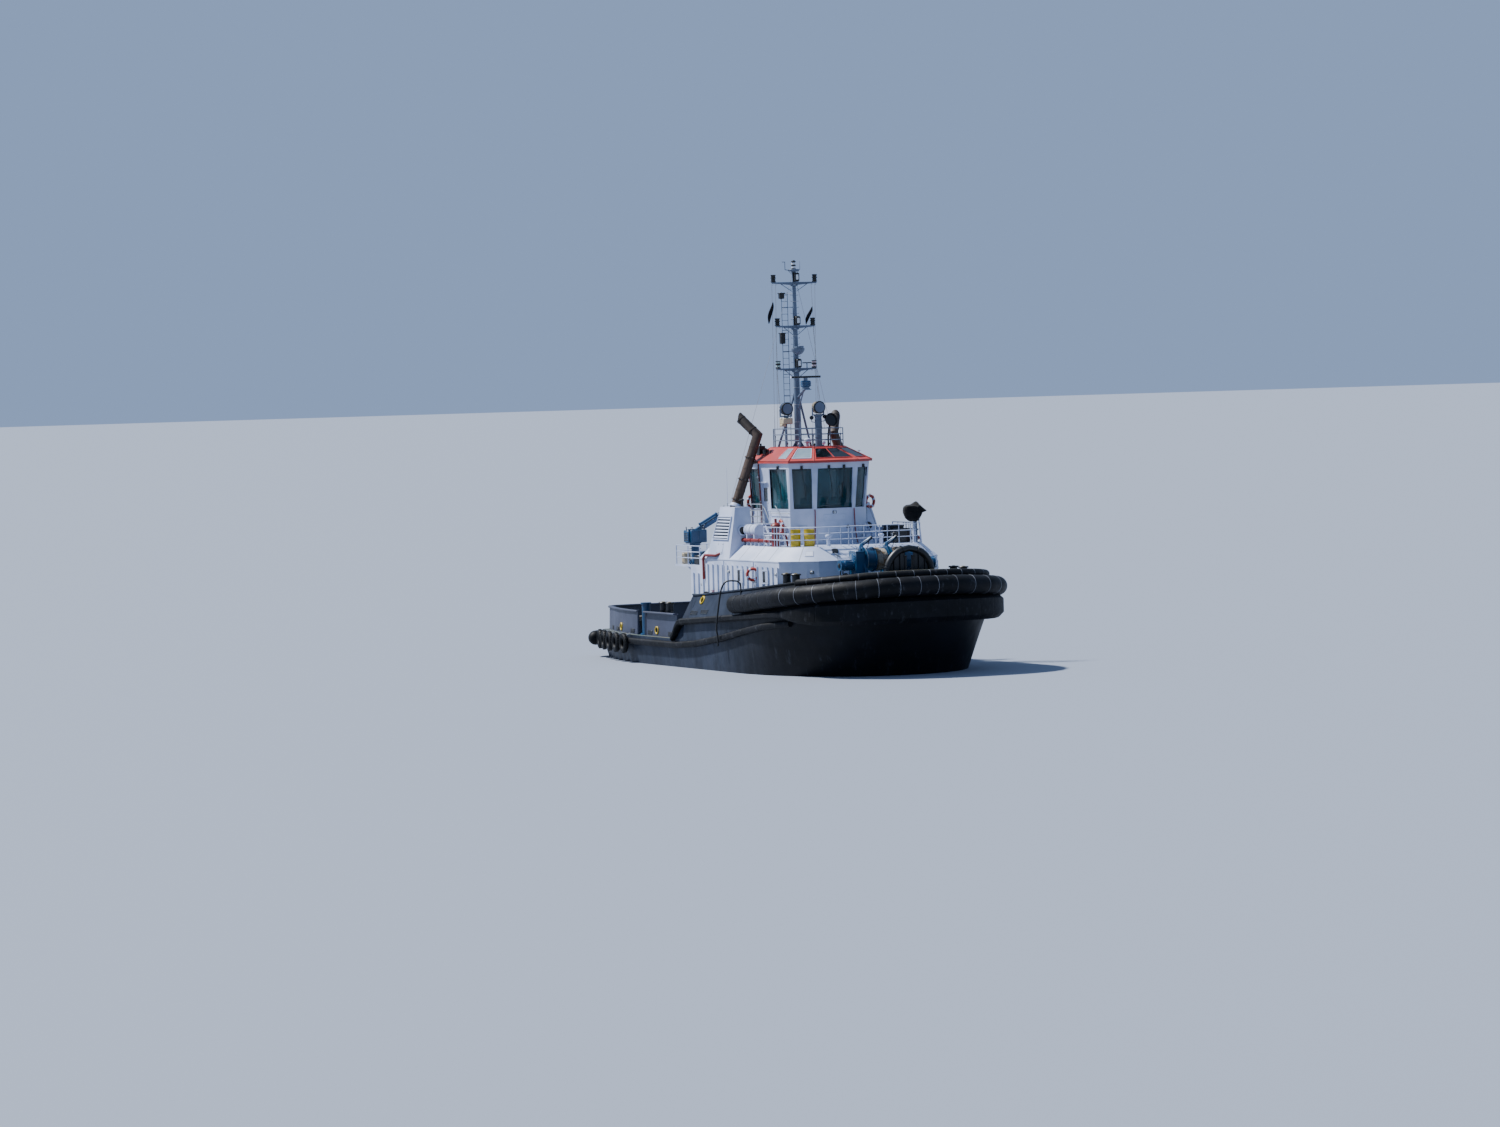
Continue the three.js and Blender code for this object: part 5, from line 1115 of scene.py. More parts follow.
# Fire main along the deck edge from the casing's foot to the monitor
bridge.tube([(1.6, -3.62, deckTop + 0.28), (5.2, -3.62, deckTop + 0.28), (5.3, -3.58, deckTop + 0.3),
             (5.5, -3.5, deckTop + 0.34)], 0.095, "red", 16)
bridge.tube([(1.6, -3.62, deckTop + 0.28), (1.35, -3.68, deckTop + 0.3), (1.1, -3.95, deckTop + 0.2),
             (0.9, -4.16, 6.05)], 0.095, "red", 16)
for x in (1.9, 2.9, 3.9, 4.9):
    bridge.lathe([(0.125, -0.02), (0.125, 0.02)], "red", placed((x, -3.62, deckTop + 0.28), (1, 0, 0)), 20)
    bridge.box((x - 0.03, -3.68, deckTop + 0.002), (x + 0.03, -3.56, deckTop + 0.2), "white", 0.006)
bridge.tube([(-0.9, -4.6, 5.86), (0.4, -4.56, 5.86), (0.9, -4.3, 6.05)], 0.07, "red", 14)
bridge.tube([(-1.15, -4.58, 4.6), (-1.12, -4.6, 5.7), (-0.9, -4.6, 5.86)], 0.07, "red", 14)
for p in ((-1.14, -4.53, 5), (-0.3, -4.5, 5.86)):
    bridge.box((p[0] - 0.05, p[1] - 0.05, p[2] - 0.02), (p[0] + 0.05, p[1] + 0.03, p[2] + 0.02), "galvanised", 0.004)
bridge.tube([(cx, cy, deckTop + 0.7), (6.3, -3.45, deckTop + 0.72), (6.5, -3.3, deckTop + 0.5),
             (6.5, -3.25, deckTop + 0.02)], 0.05, "red", 12)
for k, (x, y) in enumerate(((5.95, -3.3), (6.2, -3.3))):
    bridge.ring(0.1, 0.016, "red", (x, y, deckTop + 0.98 + 0.05 * k), 20, 6)
    bridge.post(x, y, deckTop + 0.6, deckTop + 0.98 + 0.05 * k, 0.03, "red")
# Lockers and rope bins to port and starboard
for x0, x1, y0, y1, h, finish in ((5.3, 6.3, 2.75, 3.5, 0.85, "black"), (6.45, 7.2, 2.8, 3.5, 0.7, "black"),
                                  (7.35, 7.8, 2.2, 2.9, 0.55, "black"), (4.2, 5.1, 2.9, 3.5, 0.75, "white"),
                                  (4, 4.9, -3.4, -2.95, 0.55, "white")):
    bridge.box((x0, y0, deckTop + 0.04), (x1, y1, deckTop + h), finish, 0.02)
    bridge.box((x0 - 0.02, y0 - 0.02, deckTop + h - 0.06), (x1 + 0.02, y1 + 0.02, deckTop + h + 0.02), finish, 0.012)
    for x in (x0 + 0.15, x1 - 0.15):
        bridge.box((x - 0.02, y0 - 0.035, deckTop + h - 0.16), (x + 0.02, y0 - 0.015, deckTop + h - 0.02),
                   "galvanised", 0.004)
        bridge.box((x - 0.03, y0 + 0.05, deckTop + 0.002), (x + 0.03, y1 - 0.05, deckTop + 0.05), "galvanised", 0.004)
# Mushroom vents and the monitor's stand
for x, y, h, r in ((7.9, -1.6, 0.6, 0.16), (8.1, 1.3, 0.55, 0.15), (6.3, 1.9, 0.7, 0.18)):
    roundVent(bridge, (x, y, deckTop + 0.002), h, r, "white")
mx, my = bridgeSpec["monitor"]
bridge.lathe([(0.22, 0), (0.22, 0.03), (0.12, 0.045), (0.12, 0.62), (0.17, 0.64), (0.17, 0.7), (0.11, 0.72),
              (0.11, 1.28), (tip, 1.3)],
             "mastGrey", (mx, my, deckTop + 0.002), 24)
for dx, dy in ((0.16, 0.14), (0.16, -0.14), (-0.18, 0)):
    bridge.tube([(mx + dx * 1.6, my + dy * 1.6, deckTop + 0.002), (mx + dx, my + dy, deckTop + 1.2)],
                0.03, "white", 10)
# The rail's closer posts beside the gear
railRun = [Vector((x, y, deckTop))
           for x, y in ((4.6, 3.69), (7.76, 3.69), (8.79, 2.64), (8.79, -2.64), (7.76, -3.69), (4.6, -3.69))]
for a, b in zip(railRun, railRun[1:]):
    count = max(round((b - a).length / 0.66), 1)
    for k in range(1, count):
        post = a.lerp(b, k / count)
        bridge.tube([post + lift(0.002), post + lift(0.99)], 0.019, "white", 8)
bridge.tube([(4.6, 3.62, deckTop + 0.2), (7.7, 3.62, deckTop + 0.2), (7.95, 3.5, deckTop + 0.25),
             (mx, my, deckTop + 0.35)], 0.08, "red", 14)
for x in (5, 6.2, 7.4):
    bridge.box((x - 0.03, 3.56, deckTop + 0.002), (x + 0.03, 3.68, deckTop + 0.14), "white", 0.006)
bridge.build("bridgeDeckFittings", "vessel", "white")

# The monitor under its black cover, tied round its foot
cover = Shape()
# Each level: height, and how far it reaches to its left and right; a flap sticks out, and the peak leans to the right
coverSpec = {"centre": (8, 3.22, 7.99), "turn": 65, "depth": 0.42, "square": 0.55, "columns": 20,
             "levels": ((-0.5, -0.22, 0.2), (-0.47, -0.29, 0.26), (-0.36, -0.42, 0.34), (-0.21, -0.5, 0.42),
                        (-0.06, -0.54, 0.49), (0.01, -0.55, 0.71), (0.05, -0.55, 0.67), (0.13, -0.54, 0.56),
                        (0.24, -0.5, 0.45), (0.3, -0.4, 0.39), (0.33, -0.16, 0.34), (0.41, -0.03, 0.28),
                        (0.465, 0.07, 0.22), (0.48, 0.12, 0.18))}


def coverRing(level):
    # A wrapped box with stiff folds, gathered to its foot
    height, low, high = coverSpec["levels"][level]
    middle, half = (low + high) / 2, (high - low) / 2
    depth = min(coverSpec["depth"], half * 1.1)
    turn = radians(coverSpec["turn"])
    along, across = Vector((cos(turn), sin(turn), 0)), Vector((-sin(turn), cos(turn), 0))
    ring = []
    for k in range(coverSpec["columns"]):
        angle = 2 * pi * (k + 0.5 * (level % 2)) / coverSpec["columns"]
        u, v = (copysign(abs(f) ** coverSpec["square"], f) for f in (cos(angle), sin(angle)))
        crease = 1 - 0.11 * abs((5 * angle / pi + 0.4 * level) % 2 - 1) * abs(v)
        narrow = 1 if u < 0 else 1 - 0.45 * max(half - 0.5, 0) / 0.09 * u
        place = along * (middle + half * u * crease) + across * (depth * v * crease * narrow)
        ring.append(Vector(coverSpec["centre"]) + place + lift(height + 0.03 * v * crease))
    return ring


cover.rings([coverRing(level) for level in range(len(coverSpec["levels"]))], "cover")
cover.ring(0.27, 0.012, "rope", (8, 3.3, 7.53), 28, 6)
cover.build("monitorCover", "vessel", "black", smooth=14)
print("bridge deck")


# Funnel casings: louvre blades, vents, hatches, and the exhausts' flanges and bell mouths
casingSpec = {"rows": ((5.7, -0.95, 1.95, 4.5), (8.35, -0.33, 1.52, 3.9)),
              "louvreZ": 6.9, "louvrePitch": 0.17, "louvres": 6}
casing = Shape()


# A face on a casing's outer side between two heights, its corners in order as seen from outside
def casingFace(side, xs, z0, z1):
    low, high = casingSpec["rows"]
    corners = []
    for x, z in zip(xs, (z0, z0, z1, z1)):
        t = (z - low[0]) / (high[0] - low[0])
        corners.append(Vector((x, side * (low[3] + (high[3] - low[3]) * t), z)))
    return Face(*(corners if side < 0 else [corners[i] for i in (1, 0, 3, 2)]))


for side in (-1, 1):
    low = casingSpec["louvreZ"] - 0.18
    high = casingSpec["louvreZ"] + casingSpec["louvrePitch"] * casingSpec["louvres"] - 0.08
    panel = casingFace(side, (-0.42, 1.45, 1.38, -0.18), low, high)
    # The black slab behind the blades is painted shade for the dark gaps between them
    panel.slab(casing, 0, 1, 0, 1, -0.004, 0.026, "black")
    panel.frame(casing, 0, 1, 0, 1, 0.05, -0.01, 0.082, "white")
    for i in range(7):
        v0 = (i + 0.3) / 7
        blade = [panel.at(0.02, v0, 0.078), panel.at(0.98, v0, 0.078), panel.at(0.98, v0 + 0.066, 0.034),
                 panel.at(0.02, v0 + 0.066, 0.034)]
        casing.rings([blade, [p + lift(0.012) for p in blade]], "white")
    hatch = casingFace(side, (0.25, 0.95, 0.95, 0.25), 5.95, 6.52)
    hatch.slab(casing, 0, 1, 0, 1, -0.01, 0.022, "white")
    for u in (0.1, 0.9):
        for v in (0.12, 0.88):
            casing.stud(0.026, 0.02, 0.026, "galvanised", hatch.place(u, v, 0.02), 8)
    # Round vent on the sloping front edge, handles up the aft edge, cap plate on top
    place = placed((1.86, side * 3.62, 7.15), (1, 0, 0.25))
    casing.ring(0.24, 0.035, "white", place, 28, 8)
    casing.lathe([(0.23, -0.05), (0.23, -0.01), (tip, 0)], "black", place, 28)
    for k in range(7):
        z = 6.1 + 0.32 * k
        x = -0.95 + (0.62 / 2.65) * (z - 5.7)
        casing.tube([(x + 0.02, side * 3.45, z), (x - 0.11, side * 3.45, z), (x - 0.11, side * 3.85, z),
                     (x + 0.02, side * 3.85, z)], 0.013, "white")
    casing.box((-0.33, side * 3.05, 8.345), (1.52, side * 3.9, 8.375), "white", 0.012)
    casing.lathe([(0.4, 0), (0.4, 0.04), (0.33, 0.05), (0.3, 0.16), (0.268, 0.18), (0.268, 0)], "white",
                 placed((0.808, side * 3.53, 8.36), (0.1, -side * 1.45, 3.97)), 32, closed=True)
    for dx, dy in ((-0.2, 3.3), (1.3, 3.3), (-0.2, 3.75), (1.3, 3.75)):
        casing.lathe([(0.03, 0), (0.03, 0.05), (0.045, 0.055), (0.045, 0.075), (tip, 0.08)], "galvanised",
                     (dx, side * dy, 8.37), 10)
    roundVent(casing, (1.25, side * 3.35, 8.372), 0.42, 0.11, "black")
    # Whip antenna on a short foot on the cap
    casing.post(-0.15, side * 3.55, 8.37, 8.55, 0.03, "galvanised")
    casing.tube([(-0.15, side * 3.55, 8.55), (-0.15, side * 3.55, 10.4)], [0.012, 0.006], "white")
casing.build("casingFittings", "vessel", "white")

pipes = Shape()
exhaustSpec = {"foot": (0.8, -3.65, 8.1), "knee": (0.9, -2.2, 12.07), "mouth": (0.03, -2.75, 12.95)}
for side in (-1, 1):
    ends = [exhaustSpec[key] for key in ("foot", "knee", "mouth")]
    foot, knee, mouth = (Vector((x, -side * y, z)) for x, y, z in ends)
    lean, turn = (knee - foot).normalized(), (mouth - knee).normalized()
    for t in (0.16, 0.42, 0.7):
        at = foot.lerp(knee, t)
        for off in (-0.014, 0.014):
            pipes.collar(0.252, 0.305, -0.011, 0.011, "exhaust", placed(at + lean * off, lean), 28)
        bolts(pipes, placed(at - lean * 0.045, lean), 8, 0.28, 0.014, 0.09, 0.09)
    for t in (0.28, 0.56, 0.84):
        pipes.collar(0.25, 0.262, -0.02, 0.02, "exhaust", placed(foot.lerp(knee, t), lean), 28)
    pipes.lathe([(0.248, -0.05), (0.268, -0.04), (0.268, 0), (0.248, 0.01)],
                "exhaust", placed(knee.lerp(mouth, 0.3), turn), 28, closed=True)
    pipes.collar(0.245, 0.262, -0.11, -0.02, "exhaust", placed(mouth, turn), 28)
    pipes.tube([foot.lerp(knee, 0.62) + Vector((0.1, 0, 0)), Vector((1.55, side * 2.06, 10.75))], 0.035, "exhaust", 8)
    pipes.tube([foot.lerp(knee, 0.62) + Vector((-0.1, 0, 0)), Vector((0.35, side * 2.06, 10.75))],
               0.035, "exhaust", 8)
pipes.build("exhaustFlanges", "vessel", "exhaust")
print("casings and exhausts")

# Wheelhouse: window frames, wipers, rain pipes, handrails, blank boards, lifebuoys and lamps
cabinSpec = {"sill": ((-0.6, 1.45), (-0.12, 2.17), (4.6, 2.17), (5.35, 1.1)),
             "head": ((-0.67, 1.52), (-0.15, 2.3), (4.87, 2.3), (5.642, 1.1986)),
             "sillZ": 8.15, "eaveZ": 10.6, "windowZ0": 8.24, "windowZ1": 10.31, "roofZ": 11.4,
             "roofTop": ((0.5, 0.7), (0.7, 1.35), (3.95, 1.35), (4.35, 0.62))}


def cabinCorner(i, side, z):
    t = (z - cabinSpec["sillZ"]) / (cabinSpec["eaveZ"] - cabinSpec["sillZ"])
    low, high = cabinSpec["sill"][i], cabinSpec["head"][i]
    return Vector((low[0] + (high[0] - low[0]) * max(t, 0), side * (low[1] + (high[1] - low[1]) * max(t, 0)), z))


def cabinFace(i, j, side, z0, z1):
    a, b = cabinCorner(i, side, z0), cabinCorner(j, side, z0)
    c, d = cabinCorner(j, side, z1), cabinCorner(i, side, z1)
    return Face(a, b, c, d) if side < 0 else Face(b, a, d, c)


cabin = Shape()
z0, z1 = cabinSpec["windowZ0"], cabinSpec["windowZ1"]
windows = []
for side in (-1, 1):
    front = cabinFace(2, 3, side, z0, z1)
    length = (front.corners[1] - front.corners[0]).length
    windows.append((front, 0.5 - 0.51 / length, 0.5 + 0.51 / length, True))
    flank = cabinFace(1, 2, side, z0, z1)
    xs = [flank.corners[0].x, flank.corners[1].x]
    for cx, wide, wiped in ((3.4, 2.15, True), (0.48, 1.18, False)):
        us = sorted(((cx + s * wide / 2) - xs[0]) / (xs[1] - xs[0]) for s in (-1, 1))
        windows.append((flank, us[0], us[1], wiped))
bow = Face(cabinCorner(3, -1, z0), cabinCorner(3, 1, z0), cabinCorner(3, 1, z1), cabinCorner(3, -1, z1))
windows.append((bow, 0.5 - 1 / 2.2, 0.5 + 1 / 2.2, True))
for side in (-1, 1):
    rear = Face(cabinCorner(0, 1, z0), cabinCorner(0, -1, z0), cabinCorner(0, -1, z1), cabinCorner(0, 1, z1))
    u = 0.5 - side * 0.7 / 2.97
    windows.append((rear, u - 0.525 / 2.97, u + 0.525 / 2.97, False))


# A wiper with its motor box, arm and blade
def wiper(shape, face, u, reach, lean):
    top = face.place(u, 1, 0)
    shape.box((-0.06, -0.02, -0.005), (0.06, 0.16, 0.1), "black", 0.012, top)
    shape.lathe([(0.03, 0.08), (0.03, 0.13), (tip, 0.135)], "black", top @ Matrix.Translation((0, 0.02, 0)), 12)
    axis = face.corners[3] - face.corners[0]
    along = (face.corners[1] - face.corners[0]).normalized()
    start = face.at(u, 1, 0.115)
    end = start - axis.normalized() * reach * 0.62 + along * lean - face.normal * 0.055
    shape.tube([start, end], [0.016, 0.01], "black")
    blade = axis.normalized() * 0.45 + along * lean * 0.05
    low, high = end - blade, end + blade
    shape.tube([low, high], 0.012, "black")
    shape.tube([low - face.normal * 0.02, high - face.normal * 0.02], 0.009, "rubber")


for face, u0, u1, hasWiper in windows:
    face.frame(cabin, u0, u1, 0, 1, 0.035, -0.004, 0.014, "white")
    width = (face.corners[1] - face.corners[0]).length
    inset = 0.012 / width
    face.frame(cabin, u0 + inset, u1 - inset, 0.006, 0.994, 0.012, -0.07, -0.015, "rubber")
    if hasWiper:
        wide = (u1 - u0) * width
        for s in (0.32, 0.72) if wide > 1.9 and face is bow else (0.5,):
            wiper(cabin, face, u0 + (u1 - u0) * s, 1.9, 0.16 if s < 0.6 else -0.12)
# Rain pipes down the corners under the front windows, and beside the after windows
for y in (-1.12, 1.12):
    cabin.tube([(5.37, y, 8.2), (5.4, y, 8.05), (5.4, y * 1.02, 7.2), (5.44, y * 1.06, 6.7), (5.5, y * 1.1, 6.4)],
               0.03, "red", 8)
for side in (-1, 1):
    for x in (-0.02, 1.16):
        cabin.tube([(x, side * 2.335, 10.55), (x, side * 2.21, 8.15), (x, side * 2.21, 6.6),
                    (x + 0.1, side * 2.3, 6.42)], 0.035, "red", 10)
        for z in (9.6, 8.6, 7.6):
            y = 2.17 + 0.13 * max(z - 8.15, 0) / 2.45
            cabin.box((x - 0.055, side * y, z - 0.015), (x + 0.055, side * (y + 0.08), z + 0.015),
                      "galvanised", 0.004)
    # Grab rail along the flank under the windows
    rail = [(2.25, side * 2.27, 8.02), (4.55, side * 2.27, 8.02)]
    cabin.tube([(2.25, side * 2.17, 8.02)] + rail + [(4.55, side * 2.17, 8.02)], 0.016, "galvanised", 8)
    cabin.tube([(3.4, side * 2.17, 8.02), (3.4, side * 2.27, 8.02)], 0.012, "galvanised")
    # Door surround and awning over the door
    cabin.box((1.2, side * 2.27, 9.6), (2.16, side * 2.36, 9.64), "white", 0.008)
    for x in (1.22, 2.14):
        cabin.box((x - 0.02, side * 2.16, 7.6), (x + 0.02, side * 2.19, 8.15), "white", 0.004)
    bulkheadLight(cabin, (1.05, side * 2.29, 9.9), (0, side, 0))
# Seams at the sill and at the foot of the walls, fittings on the front
sillRun = bothSides(cabinSpec["sill"], cabinSpec["sillZ"])
sweepLevel(cabin, sillRun, [(-0.006, -0.018), (0.014, -0.018), (0.014, 0.018), (-0.006, 0.018)], "white")
footRun = bothSides(cabinSpec["sill"], 6.43)
sweepLevel(cabin, footRun, [(-0.006, -0.045), (0.02, -0.045), (0.012, 0.045), (-0.006, 0.045)], "white")
cabin.box((5.345, -0.62, 7.62), (5.375, 0.62, 7.92), "white", 0.008)
for y in (-0.5, 0.5):
    cabin.stud(0.016, 0.012, 0.016, "galvanised", placed((5.375, y, 7.77), (1, 0, 0)), 8)
bulkheadLight(cabin, (5.36, 0, 8.03), (1, 0, 0))
place = placed((5.36, 0.75, 7.25), (1, 0, 0))
cabin.ring(0.12, 0.022, "white", place, 24, 8)
cabin.stud(0.11, 0.01, 0.02, "black", place, 24)
for side in (-1, 1):
    face = cabinFace(2, 3, side, 6.5, 8.1)
    face.slab(cabin, 0.3, 0.7, 0.15, 0.55, -0.004, 0.03, "white")
    face.frame(cabin, 0.34, 0.66, 0.19, 0.51, 0.012, 0.028, 0.036, "grey")
lifebuoy(cabin, (-0.25, -2.15, 8.58), (-0.84, -0.55, 0))
lifebuoy(cabin, (-0.45, 2.06, 8.9), (-0.84, 0.55, 0))
lifebuoy(cabin, (3.16, 3.12, 8.45), (0.94, 0.35, 0))
lifebuoy(cabin, (3.95, -2.42, 7.35), (0, -1, 0))
cabin.box((3.83, -2.3653, 6.98), (4.07, -2.17, 7.02), "galvanised", 0.004)
cabin.build("wheelhouseFittings", "vessel", "white")
print("wheelhouse walls")

# Roof: gutter, ribs along its hips, skylights, horns, domes and antennas
roof = Shape()
roofSpec = {"eaveOut": (-0.19, 0.15, 0.11), "eaveTop": 10.69, "ribRadius": 0.028}
eaveHalf = [(x + (roofSpec["eaveOut"][0] if x < 2 else roofSpec["eaveOut"][1]), y + roofSpec["eaveOut"][2])
            for x, y in cabinSpec["head"]]
eaveRun = bothSides(eaveHalf, roofSpec["eaveTop"])
topRun = bothSides(cabinSpec["roofTop"], cabinSpec["roofZ"])
sweepLevel(roof, eaveRun, [(-0.05, 0.006), (-0.02, 0.035), (0, 0.03), (-0.008, 0), (-0.03, 0)], "red")
for a, b in zip(eaveRun, topRun):
    roof.tube([a + lift(0.012), b], roofSpec["ribRadius"], "orange", 8)
roof.tube(topRun + [topRun[0]], 0.024, "orange", 8)
count = len(eaveRun)
for k in range(count):
    m = (k + 1) % count
    face = Face(eaveRun[k], eaveRun[m], topRun[m], topRun[k])
    centre = (face.corners[0] + face.corners[1]) / 2
    # The front panes to starboard and the side panes are pale glass with a painted reflection of the sky; the other
    # panes stay dark glass
    if abs(centre.y) < 0.1 and centre.x > 0:
        cells, finish = ((0.06, 0.485), (0.515, 0.94)), "darkGlass"
    elif centre.x > 4.5:
        cells, finish = ((0.1, 0.88),), "skylight" if centre.y < 0 else "darkGlass"
    elif centre.x > 0 and abs(centre.y) > 1.5:
        cells, finish = ((0.72, 0.9),) if centre.y < 0 else ((0.1, 0.28),), "skylight"
    else:
        continue
    for u0, u1 in cells:
        face.slab(roof, u0, u1, 0.22, 0.86, -0.01, 0.016, finish)
        face.frame(roof, u0, u1, 0.22, 0.86, 0.03, -0.01, 0.03, "orange" if finish == "darkGlass" else "white")
# Air horns and their box at the after starboard corner
roof.box((0.18, -1.95, 10.8), (0.55, -1.6, 11.5), "black", 0.03)
roof.box((0.7, -1.85, 10.85), (0.98, -1.6, 11.32), "black", 0.03)
roof.post(0.36, -1.78, 11.5, 11.62, 0.05, "black", 12)
for x, y, length, r in ((1.22, -1.9, 0.42, 0.07), (1.42, -1.85, 0.34, 0.06), (1.62, -1.8, 0.3, 0.055)):
    base = Vector((x, y, 10.97))
    roof.lathe([(0.02, 0), (0.022, length * 0.55), (0.035, length * 0.8), (r, length), (r * 0.8, length),
                (0.02, length * 0.75), (tip, length * 0.7)],
               "black", placed(base), 16)
    roof.tube([base - lift(0.2), base], 0.018, "galvanised", 8)
# Satellite dome, small domes and whips round the rail
for x, y, z, h, r, finish in ((1, 0.62, 11.4, 0.44, 0.19, "white"), (2.7, 0.75, 11.4, 0.3, 0.11, "white"),
                              (0.75, -0.45, 11.4, 0.26, 0.08, "white"), (4.15, 0.35, 11.4, 0.22, 0.07, "black"),
                              (4.1, -0.45, 11.4, 0.2, 0.06, "black"), (3, -0.8, 11.4, 0.24, 0.07, "white")):
    roof.lathe([(r * 0.4, 0), (r * 0.4, h * 0.4), (r * 0.85, h * 0.44), (r, h * 0.5), (r, h * 0.72),
                (r * 0.8, h * 0.9), (r * 0.4, h * 0.98), (tip, h)],
               finish, (x, y, z + 0.001), 24)
for x, y, height in ((3.9, 1.16, 1.9), (0.72, 1.1, 1.6), (0.72, -1.1, 1.6), (3.95, -1.16, 1.3)):
    roof.post(x, y, 11.42, 11.42 + height * 0.32, 0.022, "mastGrey")
    roof.tube([(x, y, 11.42 + height * 0.32), (x, y, 11.42 + height)], [0.011, 0.005], "white")
    roof.stud(0.036, 0.09, 0.1, "mastGrey", (x, y, 11.42 + height * 0.3), 10)
# Little yard with a cross bar at the port edge
roof.tube([(4, 2.15, 10.72), (4.02, 2.15, 11.15)], 0.02, "mastGrey", 8)
roof.tube([(3.85, 2.15, 11.15), (4.2, 2.15, 11.15)], 0.014, "mastGrey")
roof.build("roofFittings", "vessel", "orange")
print("wheelhouse roof")


# Mast: double lamps on the spreaders, lamp boxes, ladder and the top light
mastSpec = {"x": 1.2, "levels": ((15.45, 1.13), (17.68, 1.11), (19.95, 1.28)),
            "ladderX": 0.78, "ladderYs": (-0.55, -0.21), "ladderTop": 19.5, "halyardX": 1.12,
            "lowerPole": (11.4, 0.19, 15.6, 0.15), "upperPole": (15.55, 0.145, 20.6, 0.085)}
poleX = mastSpec["x"]
mast = Shape()


def poleRadius(z):
    low, wide, high, narrow = mastSpec["lowerPole" if z < mastSpec["lowerPole"][2] else "upperPole"]
    return wide + (narrow - wide) * (z - low) / (high - low)


def shadedLamp(shape, at, toward, height=0.5):
    place = placed(at, (0, 0, 1), toward)
    shape.block((0, 0), (0.13, 0.1), 0, height, "black", 0.02, place)
    shape.box((-0.17, 0.1, -0.03), (0.17, 0.12, height + 0.03), "black", 0.01, place)
    shape.lathe([(0.08, 0.08), (0.085, 0.1), (0.085, height - 0.1), (0.08, height - 0.08)], "lens",
                place @ Matrix.Translation((0, -0.06, 0)), 16, closed=True)


for level, (z, half) in enumerate(mastSpec["levels"]):
    for side in (-1, 1):
        y = side * (half - 0.09)
        at = (poleX, y, z + 0.06)
        place = placed(at)
        rows = [(0.106, 0), (0.145, 0.01), (0.145, 0.05), (0.106, 0.06), (0.106, 0.19), (0.145, 0.2), (0.145, 0.25),
                (0.106, 0.26), (0.106, 0.34), (0.14, 0.35), (0.14, 0.385), (0.09, 0.395), (tip, 0.4)]
        mast.lathe(rows, "black", place, 20)
        finish = "darkGlass" if level else ("greenLens" if side < 0 else "redLens")
        for low in (0.07, 0.265):
            mast.lathe([(0.107, low), (0.122, low + 0.02), (0.122, low + 0.08), (0.107, low + 0.1)],
                       finish, place, 20, closed=True)
        # Diagonal stay and blocks under each arm
        mast.tube([(poleX, side * 0.14, z - 0.42), (poleX, side * half * 0.62, z - 0.01)], 0.018, "mastGrey")
        for share in (0.55, 0.8, 0.97):
            mast.ring(0.035, 0.008, "galvanised", placed((poleX, side * half * share, z - 0.05), (1, 0, 0)), 12, 5)
    mast.lathe([(0.2 - 0.02 * level, -0.16), (0.23 - 0.02 * level, -0.14), (0.23 - 0.02 * level, -0.1),
                (0.2 - 0.02 * level, -0.08)],
               "mastGrey", (poleX, 0, z), 20, closed=True)
    shadedLamp(mast, (poleX + 0.22, 0.05, z + 0.1), (-1, 0, 0), 0.42)
    mast.box((poleX + 0.05, -0.03, z + 0.02), (poleX + 0.32, 0.13, z + 0.09), "mastGrey", 0.008)
# Bar antenna over the lowest arm, and small yard with its whip near the top
mast.post(poleX, 0.62, 15.5, 15.78, 0.03, "mastGrey")
mast.tube([(poleX, 0.36, 15.78), (poleX, 0.88, 15.78)], 0.028, "black", 8)
mast.tube([(poleX, -0.26, 20.62), (poleX, -0.5, 20.66), (poleX, -0.5, 21.08)], 0.02, "mastGrey", 8)
mast.tube([(poleX, -0.5, 21.06), (poleX, -0.66, 21.06)], 0.014, "black")
mast.tube([(poleX, 0.26, 20.62), (poleX, 0.36, 20.66), (poleX, 0.36, 21.1)], [0.012, 0.012, 0.006], "mastGrey")
mast.ring(0.285, 0.02, "mastGrey", (poleX, 0, 20.66), 28, 6)
for k in range(6):
    a = pi / 3 * k
    mast.tube([(poleX + 0.08 * cos(a), 0.08 * sin(a), 20.38),
               (poleX + 0.27 * cos(a), 0.27 * sin(a), 20.6)], 0.012, "mastGrey", 5)
top = [(0.076, 0), (0.135, 0.01), (0.135, 0.06), (0.085, 0.08), (0.085, 0.2), (0.13, 0.21), (0.13, 0.255),
       (0.085, 0.265), (0.085, 0.4), (0.13, 0.41), (0.13, 0.45), (0.09, 0.47), (0.06, 0.505), (tip, 0.508)]
mast.lathe(top, "black", (poleX, 0, 20.64), 20)
for low in (0.085, 0.27):
    mast.lathe([(0.087, low), (0.108, low + 0.015), (0.108, low + 0.1), (0.087, low + 0.115)], "lens",
               (poleX, 0, 20.64), 20, closed=True)
